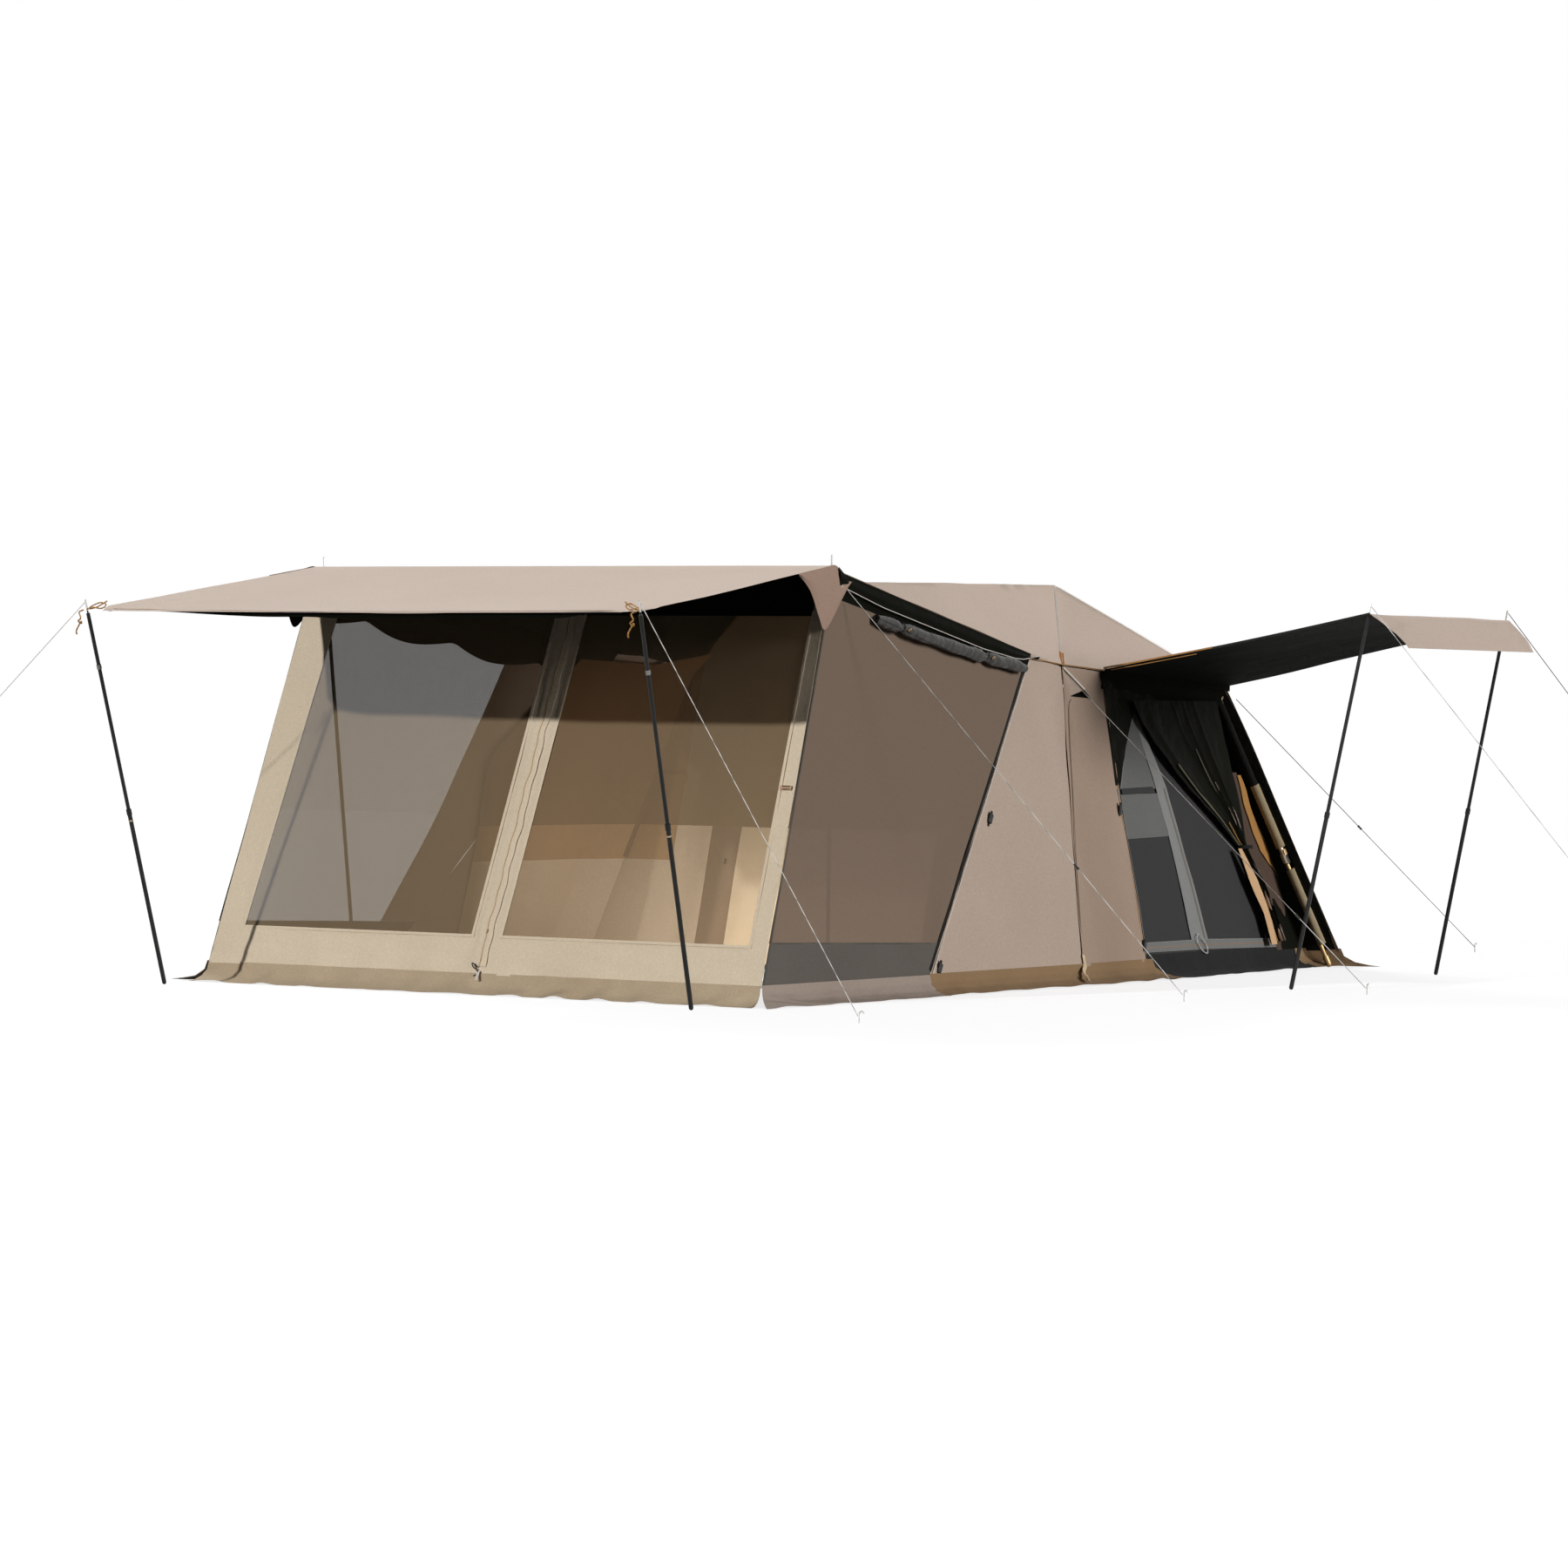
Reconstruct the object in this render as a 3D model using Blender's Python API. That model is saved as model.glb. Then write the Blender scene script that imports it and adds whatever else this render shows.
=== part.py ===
"""Ridge tent: an umbrella frame over the bedroom, a screened hall in front and two propped awnings.

The origin is on the ground under the middle of the ridge. +Z is up, -Y is the hall's front and +X
is the side with the door. All sizes are in metres.
"""

import math

import bmesh
import bpy
from mathutils import Vector

# Plan and heights of the fabric shell
HALL_BASE_HALF_WIDTH = 1.66
HALL_TOP_HALF_WIDTH = 1.57
HALL_BASE_Y = -4.43
HALL_TOP_Y = -3.70
ROOF_Z = 2.10
RIDGE_HALF_LENGTH = 0.66
EAVE_X = 1.25
EAVE_Y = 0.93
FRONT_EAVE_Z = 1.66
REAR_EAVE_Z = 1.56
POST_BASE_X = 1.66
POST_BASE_Y = -1.39
REAR_WALL_BASE_X = 1.70
REAR_WALL_BASE_Y = 1.45
WALL_FOOT_Z = 0.09
SKIRT_SPREAD = 0.12
SKIRT_REST_Z = 0.004

# Meshes
MERGE_DISTANCE = 0.00001
SMOOTH_ANGLE = 35

# Cloth
FABRIC = 0.003
SEAM = 0.004
UNDER_ROOF = 0.014

# Front wall: edges of the two windows, from the sill up to the window head
WINDOW_SILL_Z = 0.28
WINDOW_HEAD_DROP = 0.22
WINDOW_HEAD_Z = ROOF_Z - WINDOW_HEAD_DROP
LEFT_WINDOW_OUTER = (-1.49, -1.36)
LEFT_WINDOW_INNER = (-0.07, 0.01)
RIGHT_WINDOW_INNER = (0.10, 0.18)
RIGHT_WINDOW_OUTER = (1.55, 1.51)

# Hall side walls: the seam between the mesh and the plain panel
SEAM_BASE_Y = -2.91
SEAM_TOP_SHARE = 0.85
ROLL_RADIUS = 0.032
ROLL_WALL_GAP = 0.012
ROLL_HEIGHT_SHARE = 0.93
ROLL_START_SHARE = 0.13
ROLL_END_SHARE = 0.96
ROLL_TIES = (0.16, 0.72)
ROLL_TIE_PINCH = 0.30
ROLL_TIE_HALF_WIDTH = 0.05

# Bedroom: side walls, divider and floor
DOOR_REAR_BASE = (1.50, 1.10)
DOOR_REAR_TOP = (1.19, 0.84)
RETURN_BASE = (1.52, 1.37)
RETURN_TOP = (1.13, 0.89)
WALL_TOP_DROP = 0.10
DIVIDER_FOOT_Z = 0.02
DIVIDER_BASE = (1.52, -1.33)
DIVIDER_EAVE = (1.12, -0.90)
DIVIDER_EAVE_Z = 1.60
DIVIDER_TOP = (0.78, -0.785)
DIVIDER_TOP_Z = 2.03
FLOOR_FRONT = (1.53, -1.28)
FLOOR_REAR = (1.42, 1.06)

# Curtain tied back beside the side door: place along the wall of its two edges at each height
CURTAIN_TOP_Z = 1.50
CURTAIN_TIE_Z = 0.68
CURTAIN_FOOT_Z = 0.12
CURTAIN_TOP_EDGES = (-0.10, 0.78)
CURTAIN_TIE_EDGES = (0.70, 0.84)
CURTAIN_FOOT_EDGES = (0.74, 1.05)
CURTAIN_WALL_GAP = 0.05
CURTAIN_FOLDS = 6
CURTAIN_FOLD_DEPTH = 0.016
CURTAIN_ROWS = 12
CURTAIN_COLUMNS = 36

# Front awning
FRONT_AWNING_TIP = (1.63, -5.44, 1.84)
FRONT_AWNING_SAG = 0.03
FRONT_POLE_FOOT = (1.57, -4.89)

# Side awning
SIDE_AWNING_START_Y = -0.50
SIDE_AWNING_TIP = (2.99, 0.81, 1.93)
SIDE_AWNING_SAG = -0.03
SIDE_NEAR_POLE_FOOT = (2.68, -1.01)
SIDE_FAR_POLE_FOOT = (2.50, 1.03)
FLAP_OUT = 0.18
FLAP_DROP = 0.17
FLAP_NARROWING = 0.08
AWNING_MARGIN = 0.014
AWNING_CELLS = 8

# Frame tubes
TUBE_SIDES = 12
RIDGE_POLE_RADIUS = 0.0125
RIDGE_POLE_DROP = 0.07
HUB_INSET = 0.05
HUB_RADIUS = 0.045
HUB_HEIGHT = 0.05
HUB_EDGE = 0.006
JOINT_GAP = 0.0005
RIB_RADIUS = 0.010
KNUCKLE = (1.205, 0.895)
KNUCKLE_DROP = 0.06
KNUCKLE_RADIUS = 0.028
KNUCKLE_RINGS = 6
FRONT_LEG_FOOT = (1.62, -1.36)
REAR_LEG_FOOT = (1.66, 1.39)
LEG_RADIUS = 0.014
LEG_LOWER_RADIUS = 0.012
LEG_CLEARANCE = 0.0005
LEG_LOWER_SHOWN = 0.62
LEG_OVERLAP = 0.20
LEG_TRAVEL = 0.30
COLLAR_RADIUS = 0.019
COLLAR_LENGTH = 0.055
FOOT_RADIUS = 0.018
FOOT_LENGTH = 0.05
FOOT_RINGS = 4

# Hall poles and awning poles
HALL_POLE_INSET = 0.03
HALL_POLE_FOOT_INSET = 0.22
HALL_POLE_FOOT_SETBACK = 0.20
POLE_RADIUS = 0.0095
POLE_LOWER_RADIUS = 0.0112
POLE_CLEARANCE = 0.0005
POLE_LOWER_SHARE = 0.47
POLE_OVERLAP = 0.15
POLE_TRAVEL = 0.30
POLE_COLLAR_RADIUS = 0.0135
POLE_COLLAR_LENGTH = 0.03
PIN_RADIUS = 0.004
PIN_HOLE_RADIUS = 0.007
PIN_HEIGHT = 0.055
SHOULDER_DROP = 0.012
PIN_CUT_LENGTH = 0.04

# Zip slider on the hall's front strip
ZIP_SLIDER_SIZE = (0.012, 0.006, 0.022)
ZIP_SLIDER_EDGE = 0.0015
ZIP_SLIDER_GAP = 0.0012
ZIP_SLIDER_Z = 0.30

# Guylines: where each starts and where its peg stands
CORD_RADIUS = 0.002
CORD_BEVEL_POINTS = 2
CORD_POINTS = 16
CORD_PIN_GAP = 0.0012
CORD_ABOVE_AWNING = 0.04
PEG_RADIUS = 0.004
PEG_GAP = 0.0015
PEG_HOOK_RADIUS = 0.010
PEG_HOOK_POINTS = 8
LOW_PEG_HEIGHT = 0.045
TALL_PEG_HEIGHT = 0.125
CORD_BELOW_HOOK = 0.012
HALL_GUY_START = (1.60, -3.62, 1.985)
POST_GUY_START = (1.285, -0.945, 1.61)
REAR_GUY_START = (1.285, 0.955, 1.49)
PEG_PLACES = {
    "front_left": (-3.30, -5.90),
    "front_right": (2.70, -5.22),
    "hall_right": (2.85, -2.46),
    "post_right": (3.19, -1.16),
    "rear_right": (1.37, 3.86),
    "side_near": (4.72, -0.92),
    "side_far": (4.40, 1.17),
}
TALL_PEGS = ("front_left", "side_near", "side_far")

# Tensioners, as shares of their guyline's length from its start
TENSIONERS = {"hall_right": 0.68, "post_right": 0.78, "rear_right": 0.50}
TENSIONER_RADIUS = 0.007
TENSIONER_WAIST = 0.0055
TENSIONER_LENGTH = 0.034
TENSIONER_LIP = 0.008
TENSIONER_CLEARANCE = 0.0006

RIGHT = 1
LEFT = -1
SIDE_NAMES = {RIGHT: "right", LEFT: "left"}


def clear_scene():
    for old in list(bpy.data.objects):
        bpy.data.objects.remove(old, do_unlink=True)


def material(name, colour, roughness, metallic=0.0):
    made = bpy.data.materials.new(name)
    made.use_nodes = True
    shader = made.node_tree.nodes["Principled BSDF"]
    shader.inputs["Base Color"].default_value = (*colour, 1.0)
    shader.inputs["Roughness"].default_value = roughness
    shader.inputs["Metallic"].default_value = metallic
    made.diffuse_color = (*colour, 1.0)
    return made


def mirrored(point, side):
    return Vector((side * point[0], point[1], point[2]))


def add_object(name, mesh, finish):
    made = bpy.data.objects.new(name, mesh)
    mesh.materials.append(finish)
    bpy.context.collection.objects.link(made)
    return made


def finished_mesh(name, shape):
    """Turn a bmesh into a mesh whose faces point out."""
    bmesh.ops.recalc_face_normals(shape, faces=shape.faces)
    mesh = bpy.data.meshes.new(name)
    shape.to_mesh(mesh)
    shape.free()
    return mesh


def turned(name, profile, finish, start, along, closed=False):
    """Spin a profile of (radius, height) points about a line that leaves start along a direction."""
    shape = bmesh.new()
    corners = [shape.verts.new((radius, 0, height)) for radius, height in profile]
    edges = [shape.edges.new(pair) for pair in zip(corners, corners[1:])]
    if closed:
        edges.append(shape.edges.new((corners[-1], corners[0])))
    bmesh.ops.spin(
        shape, geom=corners + edges, axis=(0, 0, 1), cent=(0, 0, 0),
        angle=math.tau, steps=TUBE_SIDES, use_merge=True,
    )
    bmesh.ops.remove_doubles(shape, verts=shape.verts, dist=MERGE_DISTANCE)
    made = add_object(name, finished_mesh(name, shape), finish)
    made.data.shade_smooth()
    made.data.set_sharp_from_angle(angle=math.radians(SMOOTH_ANGLE))
    made.rotation_mode = "QUATERNION"
    made.rotation_quaternion = along.to_track_quat("Z", "Y")
    made.location = start
    return made


def dome(radius, rings, centre):
    """Profile points of a dome that starts on the axis below its centre and ends beside it."""
    quarter = [math.pi / 2 * step / rings for step in range(rings + 1)]
    return [(radius * math.sin(turn), centre - radius * math.cos(turn)) for turn in quarter]


def ball_end(radius, tube_radius, rings, centre):
    """Profile points of a ball on a tube's end, from where the tube enters it to its far pole."""
    entry = math.pi - math.asin(tube_radius / radius)
    turns = [entry - entry * step / rings for step in range(rings + 1)]
    return [(radius * math.sin(turn), centre + radius * math.cos(turn)) for turn in turns]


def sheet(name, rows, finish, openings=(), offset=0.0):
    """Cloth of even thickness on a grid of points, with some of its cells left open."""
    shape = bmesh.new()
    grid = [[shape.verts.new(point) for point in row] for row in rows]
    for upper in range(1, len(grid)):
        for right in range(1, len(grid[0])):
            if (upper - 1, right - 1) in openings:
                continue
            low, high = grid[upper - 1], grid[upper]
            shape.faces.new((low[right - 1], low[right], high[right], high[right - 1]))
    made = add_object(name, finished_mesh(name, shape), finish)
    thicken(made, offset)
    return made


def thicken(made, offset=0.0):
    thickness = made.modifiers.new("cloth", "SOLIDIFY")
    thickness.thickness = FABRIC
    thickness.offset = offset
    thickness.use_even_offset = True


def between(start, end, share):
    return Vector(start).lerp(Vector(end), share)


def pierce(made, cutters):
    """Cut a pin hole for each cutter."""
    for cutter in cutters:
        hole = made.modifiers.new("pin hole", "BOOLEAN")
        hole.object = cutter
        hole.operation = "DIFFERENCE"


def pin_cutter(name, tip, along):
    """A guide cylinder round the pin at a pole's tip."""
    start = tip - along * PIN_CUT_LENGTH / 2
    profile = [(0, 0), (PIN_HOLE_RADIUS, 0), (PIN_HOLE_RADIUS, PIN_CUT_LENGTH), (0, PIN_CUT_LENGTH)]
    cutter = turned(name, profile, MATERIALS["steel"], start, along)
    cutter.hide_render = True
    cutter.display_type = "WIRE"
    return cutter


def skirted(columns, outward):
    """Rows of points for a wall that ends in a ground skirt: each column is (foot, heights above)."""
    skirt = []
    for column in columns:
        edge = column[0] + outward * SKIRT_SPREAD
        edge.z = SKIRT_REST_Z
        skirt.append(edge)
    return [skirt] + [list(row) for row in zip(*columns)]


def column_between(foot, head, cells):
    return [between(foot, head, step / cells) for step in range(cells + 1)]


def front_y(z):
    share = (z - WALL_FOOT_Z) / (ROOF_Z - WALL_FOOT_Z)
    return HALL_BASE_Y + (HALL_TOP_Y - HALL_BASE_Y) * share


def front_point(edge, z):
    """A point of the front wall on a line whose x is given at the window sill and head."""
    share = (z - WINDOW_SILL_Z) / (WINDOW_HEAD_Z - WINDOW_SILL_Z)
    return Vector((edge[0] + (edge[1] - edge[0]) * share, front_y(z), z))


def front_edge(side):
    """The front wall's outer edge, as x at the window sill and head."""
    def x_at(z):
        share = (z - WALL_FOOT_Z) / (ROOF_Z - WALL_FOOT_Z)
        width = HALL_BASE_HALF_WIDTH + (HALL_TOP_HALF_WIDTH - HALL_BASE_HALF_WIDTH) * share
        return side * (width - SEAM)

    return x_at(WINDOW_SILL_Z), x_at(WINDOW_HEAD_Z)


def make_front_wall():
    edges = [
        front_edge(LEFT), LEFT_WINDOW_OUTER, LEFT_WINDOW_INNER,
        RIGHT_WINDOW_INNER, RIGHT_WINDOW_OUTER, front_edge(RIGHT),
    ]
    heights = (WALL_FOOT_Z, WINDOW_SILL_Z, WINDOW_HEAD_Z, ROOF_Z - UNDER_ROOF)
    columns = [[front_point(edge, z) for z in heights] for edge in edges]
    window_row = 2
    sheet(
        "front_wall", skirted(columns, Vector((0, -1, 0))), MATERIALS["cream"],
        openings={(window_row, 1), (window_row, 3)},
    )


def make_front_mesh(side):
    inner, outer = {
        LEFT: (LEFT_WINDOW_INNER, LEFT_WINDOW_OUTER),
        RIGHT: (RIGHT_WINDOW_INNER, RIGHT_WINDOW_OUTER),
    }[side]
    low, high = sorted((inner, outer))
    low = tuple(x + SEAM for x in low)
    high = tuple(x - SEAM for x in high)
    heights = (WINDOW_SILL_Z + SEAM, WINDOW_HEAD_Z - SEAM)
    rows = [[front_point(edge, z) for edge in (low, high)] for z in heights]
    sheet(f"front_mesh_{SIDE_NAMES[side]}", rows, MATERIALS["mesh"])


def hall_side_foot(y, side):
    return Vector((side * HALL_BASE_HALF_WIDTH, y, WALL_FOOT_Z))


def hall_side_head(share, side):
    """A point on the hall's eave, from its front top corner to the post, just under the roof."""
    front = mirrored((HALL_TOP_HALF_WIDTH, HALL_TOP_Y, ROOF_Z - UNDER_ROOF), side)
    post = mirrored((EAVE_X, -EAVE_Y, FRONT_EAVE_Z - UNDER_ROOF), side)
    return between(front, post, share)


def mesh_wall_point(along, up, side):
    """A point of the hall's mesh wall: along runs from its front edge to the seam, up from foot to eave."""
    foot = hall_side_foot(HALL_BASE_Y + (SEAM_BASE_Y - HALL_BASE_Y) * along, side)
    return between(foot, hall_side_head(SEAM_TOP_SHARE * along, side), up)


def make_side_mesh(side):
    shares = [SEAM, 0.33, 0.66, 1 - SEAM]
    columns = [[mesh_wall_point(along, step / 4, side) for step in range(5)] for along in shares]
    name = f"side_mesh_{SIDE_NAMES[side]}"
    sheet(name, skirted(columns, Vector((side, 0, 0))), MATERIALS["mesh"])


def make_rolled_cover(side):
    """The mesh wall's outer cover, rolled up under the eave and drawn in by two ties."""
    outward = Vector((side * (ROLL_RADIUS + ROLL_WALL_GAP), 0, 0))
    start = mesh_wall_point(ROLL_START_SHARE, ROLL_HEIGHT_SHARE, side) + outward
    end = mesh_wall_point(ROLL_END_SHARE, ROLL_HEIGHT_SHARE, side) + outward
    length = (end - start).length
    profile = [(0.0, 0.0)]
    stations = 24
    for step in range(stations + 1):
        place = length * step / stations
        pinch = sum(
            math.exp(-(((place - tie * length) / ROLL_TIE_HALF_WIDTH) ** 2)) for tie in ROLL_TIES
        )
        profile.append((ROLL_RADIUS * (1 - ROLL_TIE_PINCH * pinch), place))
    profile.append((0.0, length))
    turned(f"rolled_cover_{SIDE_NAMES[side]}", profile, MATERIALS["roll"], start, end - start)


def post_column(side, inset):
    foot = mirrored((POST_BASE_X, POST_BASE_Y + inset, WALL_FOOT_Z), side)
    head = mirrored((EAVE_X, -EAVE_Y + inset, FRONT_EAVE_Z - UNDER_ROOF), side)
    return column_between(foot, head, 4)


def hall_panel_columns(side):
    """The plain panel between the mesh wall's seam and the post."""
    foot = hall_side_foot(SEAM_BASE_Y + SEAM, side)
    head = hall_side_head(SEAM_TOP_SHARE + SEAM, side)
    return [column_between(foot, head, 4)]


def bedroom_columns(side):
    """The bedroom's side wall behind the post: its rear edge and its return behind the rear leg."""
    top_z = REAR_EAVE_Z - WALL_TOP_DROP
    columns = []
    for base, top in ((DOOR_REAR_BASE, DOOR_REAR_TOP), (RETURN_BASE, RETURN_TOP)):
        foot = mirrored((*base, WALL_FOOT_Z), side)
        columns.append(column_between(foot, mirrored((*top, top_z), side), 4))
    return columns


def make_side_panel():
    columns = hall_panel_columns(RIGHT) + [post_column(RIGHT, -SEAM)]
    sheet("side_panel_right", skirted(columns, Vector((1, 0, 0))), MATERIALS["taupe"])


def make_door_wall():
    columns = [post_column(RIGHT, SEAM)] + bedroom_columns(RIGHT)
    sheet("door_wall_right", skirted(columns, Vector((1, 0, 0))), MATERIALS["dark_mesh"])


def make_left_wall():
    columns = hall_panel_columns(LEFT) + [post_column(LEFT, 0.0)] + bedroom_columns(LEFT)
    sheet("left_wall", skirted(columns, Vector((-1, 0, 0))), MATERIALS["taupe"])


def make_rear_wall():
    head = (EAVE_X - SEAM, EAVE_Y - SEAM, REAR_EAVE_Z - UNDER_ROOF)
    columns = []
    for step in range(5):
        x_share = 1 - step / 2
        foot = Vector((x_share * REAR_WALL_BASE_X, REAR_WALL_BASE_Y, WALL_FOOT_Z))
        columns.append(column_between(foot, Vector((x_share * head[0], head[1], head[2])), 3))
    sheet("rear_wall", skirted(columns, Vector((0, 1, 0))), MATERIALS["taupe"])


def make_divider_wall():
    rows = []
    for (half_width, y), z in (
        (DIVIDER_BASE, DIVIDER_FOOT_Z), (DIVIDER_EAVE, DIVIDER_EAVE_Z), (DIVIDER_TOP, DIVIDER_TOP_Z),
    ):
        rows.append([Vector((half_width * share, y, z)) for share in (-1, 0, 1)])
    sheet("divider_wall", rows, MATERIALS["cream"])


def make_groundsheet():
    rows = [
        [Vector((-FLOOR_FRONT[0], FLOOR_FRONT[1], 0)), Vector((FLOOR_FRONT[0], FLOOR_FRONT[1], 0))],
        [Vector((-FLOOR_REAR[0], FLOOR_REAR[1], 0)), Vector((FLOOR_REAR[0], FLOOR_REAR[1], 0))],
    ]
    floor = sheet("groundsheet", rows, MATERIALS["floor"], offset=1.0)
    return floor


def make_roof(cutters):
    """The fly over the hall and the bedroom, as one folded cloth."""
    shape = bmesh.new()
    points = {
        "front": (HALL_TOP_HALF_WIDTH - SEAM, HALL_TOP_Y + SEAM, ROOF_Z),
        "post": (EAVE_X, -EAVE_Y, FRONT_EAVE_Z),
        "rear": (EAVE_X, EAVE_Y, REAR_EAVE_Z),
        "ridge": (RIDGE_HALF_LENGTH, 0, ROOF_Z),
    }
    corner = {
        (name, side): shape.verts.new(mirrored(place, side))
        for name, place in points.items() for side in (RIGHT, LEFT)
    }
    for side in (RIGHT, LEFT):
        shape.faces.new((corner["front", side], corner["post", side], corner["ridge", side]))
        shape.faces.new((corner["post", side], corner["rear", side], corner["ridge", side]))
    for name in ("front", "rear"):
        shape.faces.new((
            corner[name, LEFT], corner[name, RIGHT], corner["ridge", RIGHT], corner["ridge", LEFT],
        ))
    roof = add_object("roof", finished_mesh("roof", shape), MATERIALS["beige"])
    thicken(roof)
    pierce(roof, cutters)


def awning_grid(inner_left, inner_right, outer_right, outer_left, sag):
    rows = []
    for out in range(AWNING_CELLS + 1):
        left = between(inner_left, outer_left, out / AWNING_CELLS)
        right = between(inner_right, outer_right, out / AWNING_CELLS)
        row = []
        for across in range(AWNING_CELLS + 1):
            share = across / AWNING_CELLS
            point = between(left, right, share)
            point.z -= sag * math.sin(math.pi * share) * math.sin(math.pi * out / AWNING_CELLS)
            row.append(point)
        rows.append(row)
    return rows


def make_front_awning(cutters):
    inner = (HALL_TOP_HALF_WIDTH, HALL_TOP_Y - SEAM, ROOF_Z)
    tip = Vector(FRONT_AWNING_TIP)
    outer = tip + (tip - Vector(inner)).normalized() * AWNING_MARGIN
    outer.x += AWNING_MARGIN
    rows = awning_grid(
        mirrored(inner, LEFT), mirrored(inner, RIGHT), mirrored(outer, RIGHT), mirrored(outer, LEFT),
        FRONT_AWNING_SAG,
    )
    pierce(sheet("front_awning", rows, MATERIALS["beige"]), cutters)


def make_side_awning(cutters):
    start_share = (SIDE_AWNING_START_Y + EAVE_Y) / (2 * EAVE_Y)
    start_z = FRONT_EAVE_Z + (REAR_EAVE_Z - FRONT_EAVE_Z) * start_share
    near = Vector((EAVE_X + 2 * SEAM, SIDE_AWNING_START_Y, start_z))
    far = Vector((EAVE_X + 2 * SEAM, EAVE_Y, REAR_EAVE_Z))
    tip_x, tip_y, tip_z = SIDE_AWNING_TIP
    edge_x = tip_x + AWNING_MARGIN
    edge_y = tip_y + AWNING_MARGIN
    outer_near = Vector((edge_x, -edge_y, tip_z))
    outer_far = Vector((edge_x, edge_y, tip_z))
    rows = awning_grid(near, far, outer_far, outer_near, SIDE_AWNING_SAG)
    flap = Vector((edge_x + FLAP_OUT, edge_y - FLAP_NARROWING, tip_z - FLAP_DROP))
    flap_near = Vector((flap.x, -flap.y, flap.z))
    rows.append([between(flap_near, flap, step / AWNING_CELLS) for step in range(AWNING_CELLS + 1)])
    pierce(sheet("side_awning", rows, MATERIALS["beige"]), cutters)


def curtain_edges(z):
    """Where along the wall the curtain starts and ends at a height."""
    if z > CURTAIN_TIE_Z:
        share = (z - CURTAIN_TIE_Z) / (CURTAIN_TOP_Z - CURTAIN_TIE_Z)
        pairs = zip(CURTAIN_TIE_EDGES, CURTAIN_TOP_EDGES)
    else:
        share = (CURTAIN_TIE_Z - z) / (CURTAIN_TIE_Z - CURTAIN_FOOT_Z)
        pairs = zip(CURTAIN_TIE_EDGES, CURTAIN_FOOT_EDGES)
    return [tied + (free - tied) * share for tied, free in pairs]


def door_wall_x(y, z):
    """The side wall's outer face behind the post, at a place along it and a height."""
    up = (z - WALL_FOOT_Z) / (REAR_EAVE_Z - WALL_TOP_DROP - WALL_FOOT_Z)
    front = between((POST_BASE_X, POST_BASE_Y, 0), (EAVE_X, -EAVE_Y, 0), up)
    rear = between((*DOOR_REAR_BASE, 0), (*DOOR_REAR_TOP, 0), up)
    along = (y - front.y) / (rear.y - front.y)
    return front.x + (rear.x - front.x) * along


def make_door_curtain():
    """The door's outer cover, gathered to its rear edge by a tie and hanging in folds."""
    rows = []
    for row in range(CURTAIN_ROWS + 1):
        z = CURTAIN_FOOT_Z + (CURTAIN_TOP_Z - CURTAIN_FOOT_Z) * row / CURTAIN_ROWS
        start, end = curtain_edges(z)
        points = []
        for column in range(CURTAIN_COLUMNS + 1):
            share = column / CURTAIN_COLUMNS
            y = start + (end - start) * share
            wave = CURTAIN_FOLD_DEPTH * math.sin(math.tau * CURTAIN_FOLDS * share)
            points.append(Vector((door_wall_x(y, z) + CURTAIN_WALL_GAP + wave, y, z)))
        rows.append(points)
    sheet("door_curtain", rows, MATERIALS["taupe"])


def knuckle_place(front, side):
    eave_z = FRONT_EAVE_Z if front else REAR_EAVE_Z
    y = -KNUCKLE[1] if front else KNUCKLE[1]
    return mirrored((KNUCKLE[0], y, eave_z - KNUCKLE_DROP), side)


def hub_centre(side):
    return mirrored((RIDGE_HALF_LENGTH - HUB_INSET, 0, ROOF_Z - RIDGE_POLE_DROP), side)


def make_ridge_pole():
    reach = HUB_RADIUS + JOINT_GAP
    start = hub_centre(LEFT) + Vector((reach, 0, 0))
    length = 2 * (RIDGE_HALF_LENGTH - HUB_INSET - reach)
    profile = [(0, 0), (RIDGE_POLE_RADIUS, 0), (RIDGE_POLE_RADIUS, length), (0, length)]
    turned("ridge_pole", profile, MATERIALS["steel"], start, Vector((1, 0, 0)))


def make_ridge_hub(side):
    base = hub_centre(side) - Vector((0, 0, HUB_HEIGHT / 2))
    edge = HUB_RADIUS - HUB_EDGE
    profile = [
        (0, 0), (edge, 0), (HUB_RADIUS, HUB_EDGE), (HUB_RADIUS, HUB_HEIGHT - HUB_EDGE),
        (edge, HUB_HEIGHT), (0, HUB_HEIGHT),
    ]
    turned(f"ridge_hub_{SIDE_NAMES[side]}", profile, MATERIALS["plastic"], base, Vector((0, 0, 1)))


def make_roof_rib(front, side):
    hub = hub_centre(side)
    knuckle = knuckle_place(front, side)
    along = (knuckle - hub).normalized()
    flat = Vector((along.x, along.y, 0)).length
    start = hub + along * ((HUB_RADIUS + RIB_RADIUS) / flat)
    length = (knuckle - start).length - KNUCKLE_RADIUS - JOINT_GAP
    profile = [(0, 0), (RIB_RADIUS, 0), (RIB_RADIUS, length), (0, length)]
    name = f"roof_rib_{'front' if front else 'rear'}_{SIDE_NAMES[side]}"
    turned(name, profile, MATERIALS["steel"], start, along)


def leg_line(front, side):
    """The leg's foot, with the foot's dome resting on the ground, and the knuckle above it."""
    foot = mirrored((*(FRONT_LEG_FOOT if front else REAR_LEG_FOOT), FOOT_RADIUS), side)
    return foot, knuckle_place(front, side)


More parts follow.
